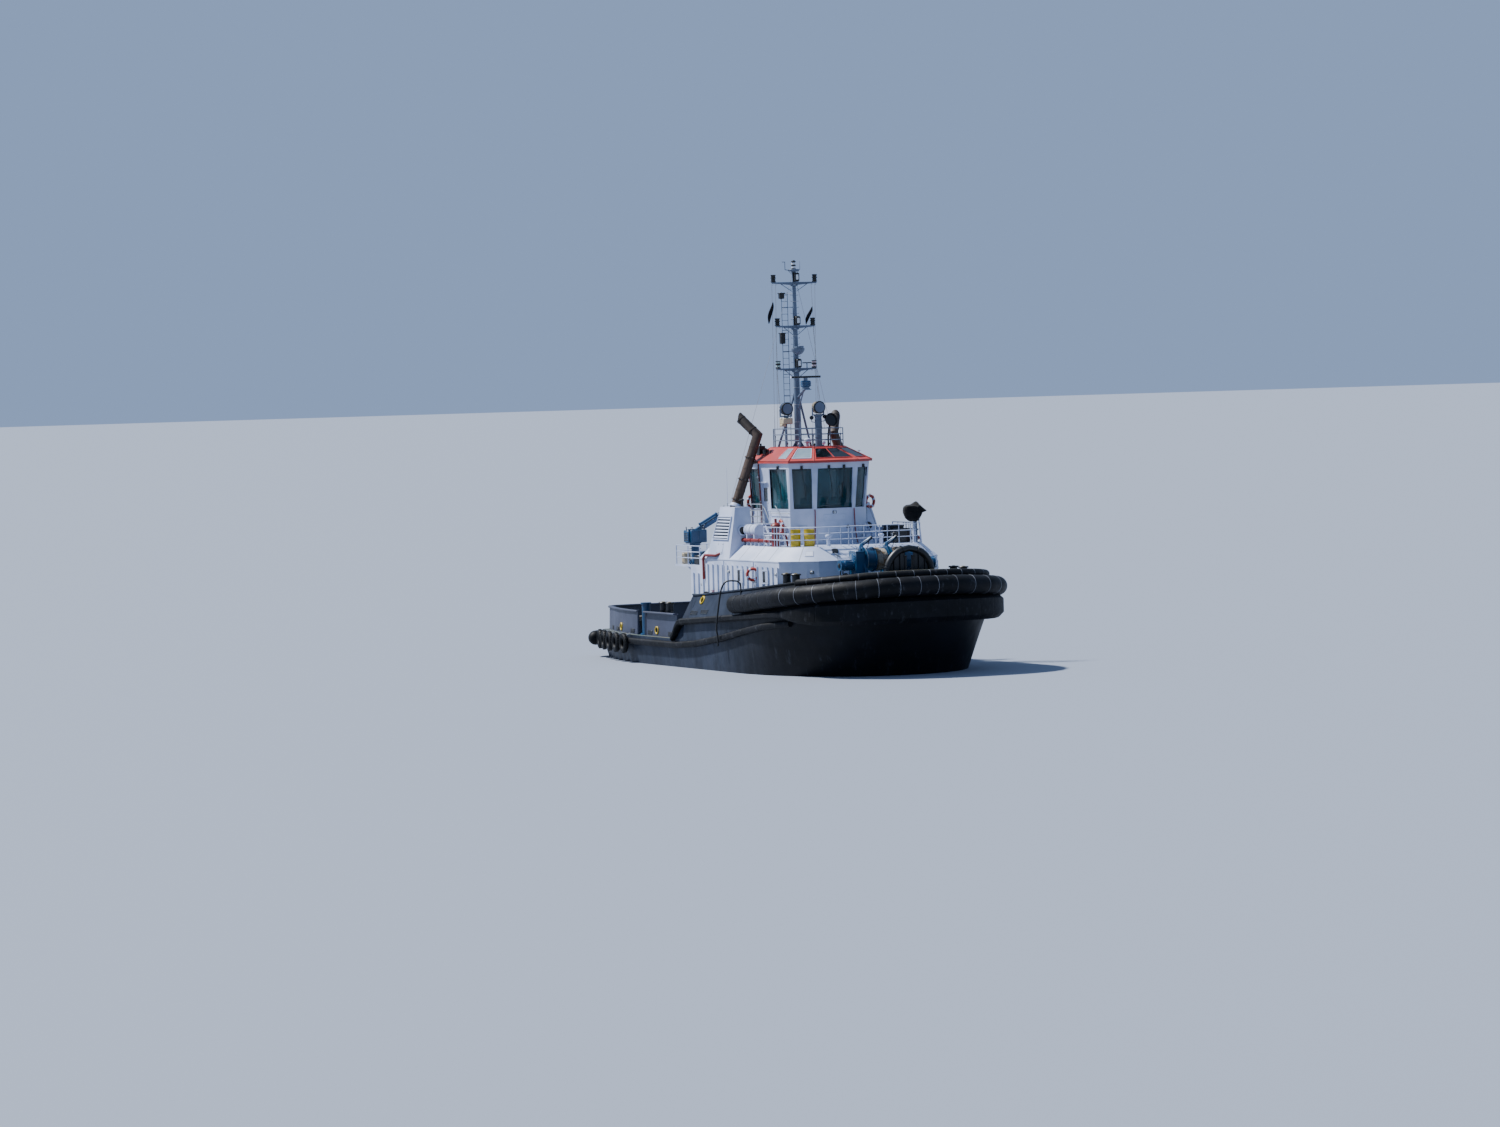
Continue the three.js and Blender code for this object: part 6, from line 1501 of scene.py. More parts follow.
# Ladder on stand-offs, with its lamp boxes
lx, (ly0, ly1) = mastSpec["ladderX"], mastSpec["ladderYs"]
for y in (ly0, ly1):
    mast.post(lx, y, 11.41, mastSpec["ladderTop"], 0.018, "mastGrey", 6)
z = 11.75
while z < mastSpec["ladderTop"]:
    mast.tube([(lx, ly0, z), (lx, ly1, z)], 0.012, "mastGrey")
    z += 0.33
for z in (12.6, 14.1, 15.2, 16.4, 17.5, 18.7, 19.4):
    mast.tube([(lx, ly1, z), (poleX - 0.05, -0.05, z)], 0.016, "mastGrey")
    mast.tube([(lx, ly0, z), (lx, ly1, z)], 0.018, "mastGrey")
for z, h in ((16.8, 0.56), (19.15, 0.3)):
    mast.box((lx - 0.2, ly0 - 0.1, z), (lx + 0.05, ly0 + 0.16, z + h), "black", 0.03)
    mast.box((lx - 0.23, ly0 - 0.13, z + h - 0.03), (lx + 0.08, ly0 + 0.19, z + h + 0.02), "black", 0.01)
    mast.lathe([(0.07, 0.05), (0.075, 0.07), (0.075, h - 0.07), (0.07, h - 0.05)], "lens", (lx - 0.2, ly0 + 0.03, z),
               16, closed=True)
    mast.tube([(lx, ly0, z - 0.02), (lx - 0.15, ly0 + 0.03, z - 0.02)], 0.02, "mastGrey")
# Step pegs up both sides of the pole, and the cable run
z = 15.8
while z < 20.2:
    inner, outer = poleRadius(z) - 0.01, poleRadius(z) + 0.11
    for side in (-1, 1):
        mast.tube([(poleX, side * inner, z), (poleX, side * outer, z), (poleX, side * outer, z + 0.04)],
                  0.01, "mastGrey", 5)
    z += 0.32
for off in (0, 0.03, -0.03):
    mast.tube([(poleX - 0.2, off, 11.42), (poleX - 0.17, off, 15.5), (poleX - 0.15, off, 15.7),
               (poleX - 0.1, off * 0.6, 20.3)], 0.011, "black", 5)
z = 11.8
while z < 20.2:
    r = poleRadius(z)
    mast.collar(r, r + 0.018, -0.012, 0.012, "galvanised", (poleX, 0, z), 16)
    z += 0.9
# Bowl-shaped shelf on the pole's fore side
mast.lathe([(0.1, 0), (0.2, 0.05), (0.3, 0.15), (0.345, 0.25), (0.35, 0.34), (0.33, 0.355), (0.31, 0.34),
            (tip, 0.33)], "mastGrey",
           (poleX + 0.27, 0, 16.2), 32)
# Foot flange and gussets
mast.lathe([(0.33, 0), (0.33, 0.03), (0.19, 0.03)], "mastGrey", (poleX, 0, 11.402), 28)
gussets(mast, placed((poleX, 0, 11.43)), 8, 0.2, 0.18, 0.31, 0.22, 0.008, "mastGrey")
mast.build("mastFittings", "vessel", "mast_grey")

# Halyards and stays, taut between the spreaders and the roof rail
lines = Shape()
for side in (-1, 1):
    for share, z, foot in ((0.97, 19.9, (0.9, 1.2)), (0.8, 19.9, (1.3, 1.22)), (0.97, 17.63, (1.6, 1.22)),
                           (0.97, 15.4, (1.9, 1.22))):
        half = 1.28 if z > 19 else (1.11 if z > 17 else 1.13)
        lines.tube([(mastSpec["halyardX"], side * half * share, z), (foot[0], side * foot[1], 12.3)],
                   0.007, "rope", 5)
    lines.tube([(poleX - 0.05, side * 0.1, 20.3), (-0.1, side * 3.4, 8.6)], 0.009, "galvanised", 5)
lines.build("halyards", "vessel", "mast_grey")

# Folded flags, each a thin triangular cloth gathered in folds on its halyard
flagSpec = {"rows": {"starboard": ((1.12, -1.24, 18.95), (1, -1.42, 17.85)),
                     "port": ((1.12, 1.02, 18.7), (1, 0.72, 17.78))},
            "wide": 0.62, "folds": 2.5, "thickness": 0.004, "steps": 30, "across": 48}
for label, (high, low) in flagSpec["rows"].items():
    flag = Shape()
    a, b = Vector(high), Vector(low)
    rings, lengths = [], []
    for i in range(flagSpec["steps"] + 1):
        t = i / flagSpec["steps"]
        cloth = flagSpec["wide"] * (0.06 + 0.94 * sin(pi * (0.04 + 0.92 * t)))
        hang = a.lerp(b, t) + Vector((0.02 * sin(5 * t), 0.03 * sin(6 * t + 1), 0))
        span, depth = 0.42 * cloth, 0.105 * cloth
        line = []
        for k in range(flagSpec["across"] + 1):
            s = k / flagSpec["across"]
            phase = 2 * pi * flagSpec["folds"] * s + 0.8 * t
            line.append(hang + Vector((depth * sin(phase), span * (s - 0.5), 0.03 * s)))
        lengths.append(sum((line[k + 1] - line[k]).length for k in range(flagSpec["across"])))
        half = flagSpec["thickness"] / 2
        outer, inner = [], []
        for k, p in enumerate(line):
            step = (line[min(k + 1, len(line) - 1)] - line[max(k - 1, 0)]).normalized()
            off = Vector((step.y, -step.x, 0)).normalized() * half
            outer.append(p + off)
            inner.append(p - off)
        rings.append(outer + inner[::-1])
    flag.rings(rings, "flag")
    flagPiece = flag.build("foldedFlag" + label.capitalize(), "vessel", "black")
print("mast")

# Radar: gearbox details that stay and a scanner face that turns
radar = Shape()
radar.lathe([(0.3, 0), (0.3, 0.03), (0.22, 0.05), (0.22, 0.1)], "mastGrey", (2.3, 0, 14.36), 24)
radar.box((2.12, -0.23, 14.52), (2.48, 0.23, 14.84), "blue", 0.04)
for z in (14.58, 14.66, 14.74):
    radar.box((2.1, -0.235, z), (2.5, 0.235, z + 0.02), "mastGrey", 0.004)
radar.tube([(2.1, 0.1, 14.5), (1.8, 0.08, 14.28), (1.4, 0.05, 14.05)], 0.022, "black")
radar.tube([(1.36, 0, 13.35), (1.95, 0, 14.22)], 0.035, "mastGrey", 8)
radar.build("radarPedestal", "vessel", "mast_grey")
scan = Shape()
scan.box((2.37, -0.83, 14.985), (2.392, 0.83, 15.085), "black", 0.006)
for k in range(9):
    y = -0.76 + 0.19 * k
    scan.box((2.21, y - 0.008, 14.978), (2.39, y + 0.008, 15.092), "black", 0.003)
scan.lathe([(0.11, -0.1), (0.11, -0.01), (0.08, 0)], "mastGrey", (2.3, 0, 14.98), 20)
scan.build("radarScannerFace", "radar_scanner", "black")

# Searchlights: ribbed drums, bezels, lens, yokes, and the dark hooded lamp behind
lights = Shape()
lightRows = {"main": (3.7, 0, 13.44), "second": (1.85, -0.98, 13.4)}
for label, (x, y, z) in lightRows.items():
    place = placed((x, y, z), (1, 0, 0))
    lights.lathe([(0.302, 0.14), (0.33, 0.15), (0.335, 0.2), (0.33, 0.232), (0.275, 0.236), (0.27, 0.2)],
                 "black", place, 36, closed=True)
    lights.lathe([(0.272, 0.205), (0.2, 0.222), (0.1, 0.23), (tip, 0.232)], "darkGlass", place, 36)
    lights.lathe([(0.1, 0.228), (0.075, 0.245), (tip, 0.25)], "lens", place, 20)
    for k in range(5):
        h = -0.12 + 0.05 * k
        lights.lathe([(0.3, h), (0.316, h + 0.006), (0.316, h + 0.018), (0.3, h + 0.024)],
                     "beige" if label == "main" else "mastGrey", place, 36, closed=True)
    lights.lathe([(0.29, -0.152), (0.22, -0.22), (0.1, -0.25), (tip, -0.255)],
                 "beige" if label == "main" else "black", place, 36)
    for side in (-1, 1):
        lights.lathe([(0.05, 0), (0.05, 0.05), (0.035, 0.06), (tip, 0.062)], "galvanised",
                     placed((x, y + side * 0.31, z), (0, side, 0)), 12)
    lights.tube([(x - 0.12, y, z - 0.26), (x - 0.16, y, z - 0.5), (x - 0.14, y - 0.05, z - 0.9)], 0.018, "black")
lights.lathe([(0.3, 0), (0.3, 0.025), (0.19, 0.03)], "mastGrey", (3.7, 0, 11.402), 28)
lights.lathe([(0.186, -0.03), (0.22, -0.02), (0.22, 0.05), (0.15, 0.07)], "mastGrey", (3.7, 0, 13), 28)
for z in (11.9, 12.4, 12.8):
    lights.collar(0.185, 0.2, -0.015, 0.015, "mastGrey", (3.7, 0, z), 28)
# Box on the second post and the little lamps on stalks round the main column
lights.box((1.6, -1.25, 12.62), (2.12, -0.7, 12.92), "beige", 0.025)
lights.box((1.72, -1.3, 12.48), (2, -1.05, 12.62), "beige", 0.02)
for x, y, z, toward in ((3.62, -0.34, 12.86, (0.9, -0.3, 0.1)), (3.8, 0.33, 12.9, (0.9, 0.3, 0.1))):
    base = Vector((3.7, 0, z - 0.22))
    lights.tube([base, Vector((x, y, z - 0.16)), Vector((x, y, z))], 0.02, "mastGrey", 8)
    lights.lathe([(tip, -0.1), (0.07, -0.09), (0.11, 0), (0.11, 0.06), (0.095, 0.062), (tip, 0.05)],
                 "black", placed((x, y, z + 0.05), toward), 20)
# Hooded lamp: a tall shell leaning forward on its own curved stem
hood = {"foot": (3.55, 0.62, 11.402), "centre": (3.75, 0.66, 12.75)}
lights.tube([hood["foot"], (3.55, 0.62, 11.9), (3.62, 0.64, 12.3), (3.68, 0.66, 12.5)], 0.05, "black", 10)
hoodPlace = placed(hood["centre"], (0.94, 0.1, 0.25))
lights.lathe([(tip, -0.24), (0.14, -0.2), (0.27, -0.06), (0.34, 0.1), (0.345, 0.16), (0.31, 0.16), (0.26, 0.02),
              (0.1, -0.1), (tip, -0.12)],
             "black", hoodPlace, 36)
lights.lathe([(0.3, 0.1), (0.15, 0.085), (tip, 0.08)], "darkGlass", hoodPlace, 36)
lights.ring(0.345, 0.016, "black", hoodPlace @ Matrix.Translation((0, 0, 0.16)), 36, 6)
lights.build("searchlightDetails", "vessel", "mast_grey")
print("radar and searchlights")


# Foredeck winch: rope wound on the drums, flange ribs, brake bands with their arms, motors and hoses
winchSpec = {"x": 11.3, "z": 5.75, "barrel": 0.47, "ropeRadius": 0.034, "inner": 0.14, "outer": 0.8,
             "brakeDrum": 0.57, "brakeEnd": 1.26, "frameYs": (-1.4, 0, 1.4),
             "bedZ": 4.05, "ropeSteps": 24, "upperLayer": 0.62}
wx, wz, bedZ = winchSpec["x"], winchSpec["z"], winchSpec["bedZ"]
for side, label in ((-1, "Starboard"), (1, "Port")):
    body = "winch_drum_" + label.lower()
    drum = Shape()
    r = winchSpec["ropeRadius"]
    turns = int((winchSpec["outer"] - winchSpec["inner"]) / (2 * r)) - 1
    path = []
    for layer in range(2):
        count = turns if layer == 0 else int(turns * winchSpec["upperLayer"])
        for k in range(count * winchSpec["ropeSteps"] + 1):
            turn = k / winchSpec["ropeSteps"]
            a = 2 * pi * turn
            along = winchSpec["inner"] + r + 2 * r * (turn if layer == 0 else turns - turn)
            radius = winchSpec["barrel"] + r * (1 + 1.75 * layer)
            path.append((wx + radius * cos(a), side * along, wz + radius * sin(a)))
    drum.tube(path, r, "rope", 7)
    # Parting flange and the plain drum that the brake grips
    rope, grip = winchSpec["outer"], winchSpec["brakeDrum"]
    end, shell = winchSpec["brakeEnd"], winchSpec["barrel"] - 0.01
    drum.lathe([(shell, rope), (0.625, rope), (0.632, rope + 0.006), (0.632, rope + 0.03), (0.625, rope + 0.036),
                (grip, rope + 0.045), (grip, rope + 0.17), (grip - 0.012, rope + 0.175), (grip - 0.012, end - 0.1),
                (grip, end - 0.095), (grip, end), (shell, end)], "blue", placed((wx, 0, wz), (0, side, 0)),
               56, closed=True)
    for y, out in ((0.06, -1), (1.34, 1)):
        for turn in around(placed((wx, side * y, wz), (0, side * out, 0)), 8, 0.2):
            drum.rings([[(0.17, w, 0), (0.6, w, 0), (0.6, w, 0.016), (0.17, w, 0.03)] for w in (-0.012, 0.012)],
                       "blue", turn)
    drum.collar(0.6, 0.645, 0, 0.012, "galvanised", placed((wx, side * 1.305, wz), (0, side, 0)), 48)
    for k in range(3):
        clamp = placed((wx, side * 0.115, wz), (0, side, 0)) @ Matrix.Rotation(0.22 * k, 4, "Z")
        drum.block((0, 0), (0.04, 0.025), 0, 0.02, "blue", 0.006, clamp @ Matrix.Translation((0.55, 0, 0)))
    drum.build("winchRope" + label, body, "blue")

winch = Shape()


# Section of a side frame's rim at one of its corners
def rimSection(x, y, z):
    inner = x * 0.998 + wx * 0.002
    return [(x, y - 0.09, z), (x, y + 0.09, z), (inner, y + 0.09, z - 0.03), (inner, y - 0.09, z - 0.03)]


for y in winchSpec["frameYs"]:
    # Stiffening rim on each side frame, and bolt heads round the shaft
    rim = [(wx - 0.9, y, bedZ + 0.01), (wx - 0.27, y, wz + 0.31), (wx + 0.27, y, wz + 0.31),
           (wx + 0.9, y, bedZ + 0.01)]
    for a, b in zip(rim, rim[1:]):
        winch.rings([rimSection(*a), rimSection(*b)], "blue")
    for s in (-1, 1):
        # The outer frames' outer faces are behind the gearcases
        if s * y <= 0:
            bolts(winch, placed((wx, y + s * 0.045, wz), (0, s, 0)), 8, 0.2, 0.018, 0.012, 0.013)
# Brake bands: a strap round each outer flange over the top, and the tension arm standing over it
for y in (-1.2, 0, 1.2):
    if abs(y) > 1:
        arc = [(wx + 0.675 * cos(a), y + (0.115 if y > 0 else -0.115), wz + 0.675 * sin(a))
               for a in (radians(-60 + 10 * k) for k in range(31))]
        winch.tube(arc, 0, "blue", section=[(-0.006, -0.055), (0.012, -0.055), (0.012, 0.055), (-0.006, 0.055)],
                   up=(0, 1, 0))
        yy = arc[0][1]
        for a in (-60, 240):
            x, z = wx + 0.69 * cos(radians(a)), wz + 0.69 * sin(radians(a))
            winch.block((x, yy), (0.05, 0.06), z - 0.12, z + 0.03, "blue", 0.01)
            winch.post(x, yy, z - 0.1, bedZ + 0.01, 0.022, "galvanised")
    if y > 1:
        continue
    base = Vector((wx - 0.05, y if abs(y) < 1 else y - 0.2, wz + 0.3))
    foot, elbow, head = base, base + Vector((-0.05, 0.05, 0.44)), base + Vector((0.15, 0.5, 0.78))
    winch.tube([foot, elbow, head], [0.12, 0.11, 0.085], "blue", 10)
    for s in (-1, 1):
        winch.tube([base + Vector((s * 0.11, -0.02, 0.25)), elbow + Vector((s * 0.12, 0.06, 0.02)),
                    head + Vector((s * 0.1, -0.06, 0.02))], 0.03, "blue")
    winch.tube([foot + Vector((0.3, 0.02, 0)), elbow + Vector((0.1, 0, 0.05))], 0.045, "blue", 8)
    winch.lathe([(0.075, -0.05), (0.09, 0), (0.075, 0.07), (tip, 0.1)], "black", placed(head, (0.3, 0.7, 0.5)), 16)
    winch.lathe([(0.06, -0.11), (0.06, 0.11), (tip, 0.11)], "galvanised", placed(elbow, (0, 1, 0)), 12)
    winch.tube([head - Vector((0.02, 0.08, 0.05)), head + Vector((0.1, -0.2, -0.35)),
                foot + Vector((0.28, 0.1, 0.1))], 0.022, "black")
# Gearcases: covers, ribs and bolts; motors: end plates, fins, ports and hoses
for side in (-1, 1):
    outer = side * 1.9
    place = placed((wx, outer, wz), (0, side, 0), (0, 0, 1))
    winch.lathe([(0.33, 0), (0.33, 0.03), (0.26, 0.05), (0.14, 0.06), (tip, 0.062)], "blue", place, 32)
    bolts(winch, place @ Matrix.Translation(lift(0.03)), 12, 0.3, 0.016, 0.014, 0.015)
    for dx in (-0.36, -0.12, 0.12, 0.36):
        winch.box((wx + dx - 0.012, outer, 4.1), (wx + dx + 0.012, outer + side * 0.03, wz - 0.36), "blue", 0.004)
    winch.box((wx - 0.44, side * 1.42, wz + 0.4), (wx + 0.44, side * 1.91, wz + 0.44), "blue", 0.01)
    winch.lathe([(0.05, 0), (0.05, 0.09), (0.07, 0.1), (0.07, 0.13), (tip, 0.14)],
                "galvanised", (wx + 0.2, side * 1.66, wz + 0.43), 12)
    motor = placed((wx, side * 1.9, wz - 0.25), (0, side, 0), (0, 0, 1))
    for h in (0.06, 0.5, 0.745):
        winch.collar(0.24, 0.285, h - 0.025, h + 0.005, "blue", motor, 32)
        bolts(winch, motor @ Matrix.Translation(lift(h - 0.03)), 8, 0.262, 0.013, 0.05, 0.05)
    for turn in around(motor, 16):
        winch.box((0.236, -0.006, 0.09), (0.262, 0.006, 0.45), "blue", 0.002, turn)
    winch.lathe([(0.12, 0.745), (0.12, 0.78), (0.05, 0.8), (tip, 0.8)], "black", motor, 20)
    for k, dz in enumerate((0.12, -0.02)):
        start = Vector((wx - 0.2, side * (2.2 + 0.16 * k), wz - 0.25 + dz))
        end = Vector((wx - 0.92, side * (1.85 + 0.1 * k), bedZ + 0.02))
        mid = start.lerp(end, 0.45) + Vector((-0.24, side * 0.05, 0.16))
        pts = [start, start + Vector((-0.1, 0, 0.02)), mid, end + Vector((-0.02, 0, 0.4)), end]
        winch.tube(softPath(pts), 0.028, "black", 8)
        winch.lathe([(0.04, -0.03), (0.04, 0.05), (0.032, 0.06)], "galvanised", placed(start, (-1, 0, 0.1)), 10)
# Bed: bolts and the control stand
for dx in (-0.95, 0.95):
    for y in (-1.8, -1.2, -0.6, 0, 0.6, 1.2, 1.8):
        winch.lathe([(0.035, 0), (0.035, 0.03), (0.02, 0.035), (0.02, 0.06), (tip, 0.062)],
                    "galvanised", (wx + dx * 0.96, y, bedZ), 6)
winch.post(wx - 0.7, 0.35, bedZ, 5, 0.05, "blue", 10)
winch.box((wx - 0.82, 0.2, 5), (wx - 0.58, 0.5, 5.24), "blue", 0.03)
for y in (0.28, 0.35, 0.42):
    winch.tube([(wx - 0.7, y, 5.24), (wx - 0.76, y, 5.42)], 0.01, "black")
    winch.lathe([(tip, 0), (0.02, 0.01), (0.02, 0.04), (tip, 0.05)],
                "black", placed((wx - 0.76, y, 5.4), (-0.3, 0, 1)), 10)
winch.build("winchDetails", "vessel", "blue")

# Towing staple: rubbing sleeve, saddle welds, roller guides and the side plates under the arch
stapleSpec = {"x": 13.85, "z": 5.08, "half": 1.25, "bar": 4.35, "gap": 0.24}
sx = stapleSpec["x"]
staple = Shape()
arch = [(sx, stapleSpec["half"] * cos(a), stapleSpec["z"] + stapleSpec["half"] * sin(a))
        for a in (pi * k / 40 for k in range(41))]
for a0, a1 in ((0.1, 0.36), (0.64, 0.9)):
    part = [p for k, p in enumerate(arch) if a0 <= k / 40 <= a1]
    staple.tube(part, 0.176, "black", 20)
for share in (0.06, 0.38, 0.62, 0.94):
    p = arch[int(share * 40)]
    a = pi * int(share * 40) / 40
    staple.lathe([(0.165, -0.03), (0.195, -0.02), (0.195, 0.02), (0.165, 0.03)],
                 "black", placed(p, (0, -sin(a), cos(a))), 28, closed=True)
for side in (-1, 1):
    # Plate filling the arch beside the lead, stiffened by two ribs
    inner, outer = stapleSpec["gap"], stapleSpec["half"]
    outline = [(side * inner, stapleSpec["bar"])]
    angles = [acos(min(inner / outer, 1)) * (1 - k / 14) for k in range(15)]
    outline += [(side * outer * cos(a), stapleSpec["z"] + outer * sin(a)) for a in angles]
    outline += [(side * outer, stapleSpec["bar"])]
    outline = outline if side > 0 else outline[::-1]
    staple.rings([[(sx - 0.015, y, z) for y, z in outline], [(sx + 0.015, y, z) for y, z in outline]], "black")
    for y in (0.52, 0.86):
        top = stapleSpec["z"] + sqrt(outer ** 2 - y ** 2) - 0.1
        staple.block((sx, side * y), (0.09, 0.012), stapleSpec["bar"] + 0.1, top, "black", 0.004)
    # Vertical guide roller at the lead
    staple.lathe([(0.1, 0), (0.075, 0.06), (0.075, 1.42), (0.1, 1.5), (tip, 1.5)], "black",
                 (sx, side * (stapleSpec["gap"] - 0.03), stapleSpec["bar"] + 0.12), 24)
    # Feet: doubler rings and gussets
    foot = foreDeckAt(sx)
    staple.lathe([(0.3, 0), (0.3, 0.025), (0.166, 0.03)], "black", (sx, side * stapleSpec["half"], foot + 0.004), 28)
    gussets(staple, placed((sx, side * stapleSpec["half"], foot + 0.02)), 4, 0.78, 0.15, 0.29, 0.3, 0.01, "black")
staple.build("stapleDetails", "vessel", "black")
print("winch and staple")

# Foredeck: vents, hydrants, deck boxes, and the hatch's wheel and dogs
fore = Shape()
for x, y, h, r, finish in ((10.4, -3.2, 0.9, 0.17, "white"), (10.4, 3.2, 0.9, 0.17, "white"),
                           (13.3, -2.1, 0.6, 0.13, "black"), (13.3, 2.1, 0.6, 0.13, "black")):
    roundVent(fore, (x, y, foreDeckAt(x) + 0.004), h, r, finish)
for side in (-1, 1):
    fore.lathe([(0.14, 0), (0.14, 0.04), (0.09, 0.06), (0.09, 0.55), (tip, 0.57)],
               "red", (9.75, side * 3.7, foreDeckAt(9.75) + 0.004), 20)
    fore.ring(0.1, 0.015, "red", (9.75, side * 3.7, foreDeckAt(9.75) + 0.66), 20, 6)
    fore.tube([(9.75, side * 3.7, foreDeckAt(9.75) + 0.5), (9.75, side * 3.7, foreDeckAt(9.75) + 0.66)], 0.02, "red")
    # Deck boxes by the house front
    lo, hi = sorted((side * 1.4, side * 2.4))
    fore.box((9.64, lo, foreDeckAt(9.7) + 0.03), (9.98, hi, foreDeckAt(9.7) + 0.72), "white", 0.02)
    fore.box((9.62, lo - 0.02, foreDeckAt(9.7) + 0.66), (10, hi + 0.02, foreDeckAt(9.7) + 0.74), "white", 0.012)
fore.build("foredeckFittings", "vessel", "white")
hatchLid = Shape()
lidLow, lidHigh = (Vector(p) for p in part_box("hatch_lid"))
lidX, lidY = (lidLow.x + lidHigh.x) / 2 + 0.03, (lidLow.y + lidHigh.y) / 2
lidTop = min(lidHigh.z, 3.883)
hatchLid.lathe([(0.05, 0), (0.05, 0.05), (0.03, 0.06), (tip, 0.07)], "galvanised", (lidX, lidY, lidTop - 0.01), 16)
hatchLid.ring(0.17, 0.015, "galvanised", (lidX, lidY, lidTop + 0.05), 28, 6)
for k in range(3):
    a = 2 * pi / 3 * k
    hatchLid.tube([(lidX, lidY, lidTop + 0.05), (lidX + 0.17 * cos(a), lidY + 0.17 * sin(a), lidTop + 0.05)],
                  0.01, "galvanised")
for s in (-1, 1):
    for dx in (-0.2, 0.2):
        hatchLid.block((lidX + dx, lidY + s * 0.33), (0.03, 0.02), lidTop - 0.03, lidTop + 0.025, "galvanised", 0.006)
hatchLid.build("hatchWheel", "hatch_lid", "deck_green")
print("foredeck")

# Deck crane: slew ring bolts, valve block and motor, rams, hoses and the hook, each on the part that carries it
craneSpec = {"x": -3.7, "y": -3.9, "pivotZ": 7, "boom": 2.6, "lift": radians(28), "jib": 1.65}
cx, cy, pivotZ = craneSpec["x"], craneSpec["y"], craneSpec["pivotZ"]
along = Vector((0, cos(craneSpec["lift"]), sin(craneSpec["lift"])))
above = Vector((0, -sin(craneSpec["lift"]), cos(craneSpec["lift"])))
boomFoot = Vector((cx, cy, pivotZ))
boomTip = boomFoot + along * craneSpec["boom"]
crane = Shape()
bolts(crane, placed((cx, cy, 5.32)), 12, 0.36, 0.022, 0.035)
for z in (5.55, 5.85, 6.12):
    crane.ring(0.3, 0.014, "blue", (cx, cy, z), 28, 6)
gussets(crane, placed((cx, cy, 5.33)), 6, 0.25, 0.26, 0.4, 0.24, 0.01, "blue")
# Control box and its hoses on the pedestal, crates and a covered drum beside it
crane.box((cx - 0.62, cy + 0.5, 5.31), (cx - 0.1, cy + 1.2, 5.95), "blue", 0.03)
crane.tube(softPath([(cx - 0.3, cy + 0.5, 5.8), (cx - 0.3, cy + 0.35, 5.95), (cx - 0.15, cy + 0.28, 6.15),
                     (cx - 0.1, cy + 0.26, 6.28)]), 0.025, "black", 8)
crane.box((cx + 0.6, cy - 0.35, 5.31), (cx + 1.25, cy + 0.35, 5.8), "black", 0.03)
crane.lathe([(0.24, 0), (0.24, 0.55), (0.2, 0.6), (tip, 0.62)], "beige", (cx - 0.85, cy - 0.15, 5.305), 24)
crane.build("cranePedestalDetails", "vessel", "blue")

craneTop = Shape()
craneTop.box((cx - 0.5, cy - 0.22, 6.46), (cx - 0.27, cy + 0.22, 6.86), "blue", 0.02)
for k in range(4):
    craneTop.tube([(cx - 0.5, cy - 0.15 + 0.1 * k, 6.8), (cx - 0.6, cy - 0.15 + 0.1 * k, 6.98)], 0.009, "black")
    craneTop.lathe([(tip, 0), (0.018, 0.008), (0.018, 0.03), (tip, 0.036)], "red" if k % 2 else "black",
                   placed((cx - 0.6, cy - 0.15 + 0.1 * k, 6.97), (-0.5, 0, 1)), 10)
craneTop.lathe([(0.1, 0), (0.1, 0.24), (0.07, 0.28), (tip, 0.29)], "blue", (cx + 0.28, cy - 0.1, 6.5), 20)
for side in (-1, 1):
    craneTop.box((cx + side * 0.305, cy - 0.42, 6.45), (cx + side * 0.47, cy + 0.5, 7.13), "blue", 0.03)
    craneTop.box((cx + side * 0.47 - 0.012, cy - 0.36, 6.52), (cx + side * 0.47 + 0.012, cy - 0.02, 7.04),
                 "blue", 0.008)
    craneTop.box((cx + side * 0.47 - 0.012, cy + 0.04, 6.52), (cx + side * 0.47 + 0.012, cy + 0.44, 7.04),
                 "blue", 0.008)
    craneTop.lathe([(0.05, 0), (0.05, 0.03), (0.03, 0.04), (tip, 0.04)],
                   "galvanised", (cx + side * 0.39, cy + 0.3, 7.12), 16)
    for dy in (-0.3, 0.38):
        craneTop.tube(softPath([(cx + side * 0.4, cy + dy, 7.11), (cx + side * 0.41, cy + dy, 7.24),
                                (cx + side * 0.34, cy + dy - 0.05, 7.26), (cx + side * 0.3, cy + dy - 0.05, 7.1)]),
                      0.018, "black")
craneTop.box((cx - 0.3, cy - 0.53, 6.46), (cx + 0.3, cy - 0.425, 7.1), "blue", 0.03)
for k in range(5):
    craneTop.box((cx - 0.24, cy - 0.542, 6.56 + 0.09 * k), (cx + 0.24, cy - 0.522, 6.6 + 0.09 * k), "black", 0.004)
craneTop.build("craneHouseDetails", "crane_house", "blue")

boom = Shape()
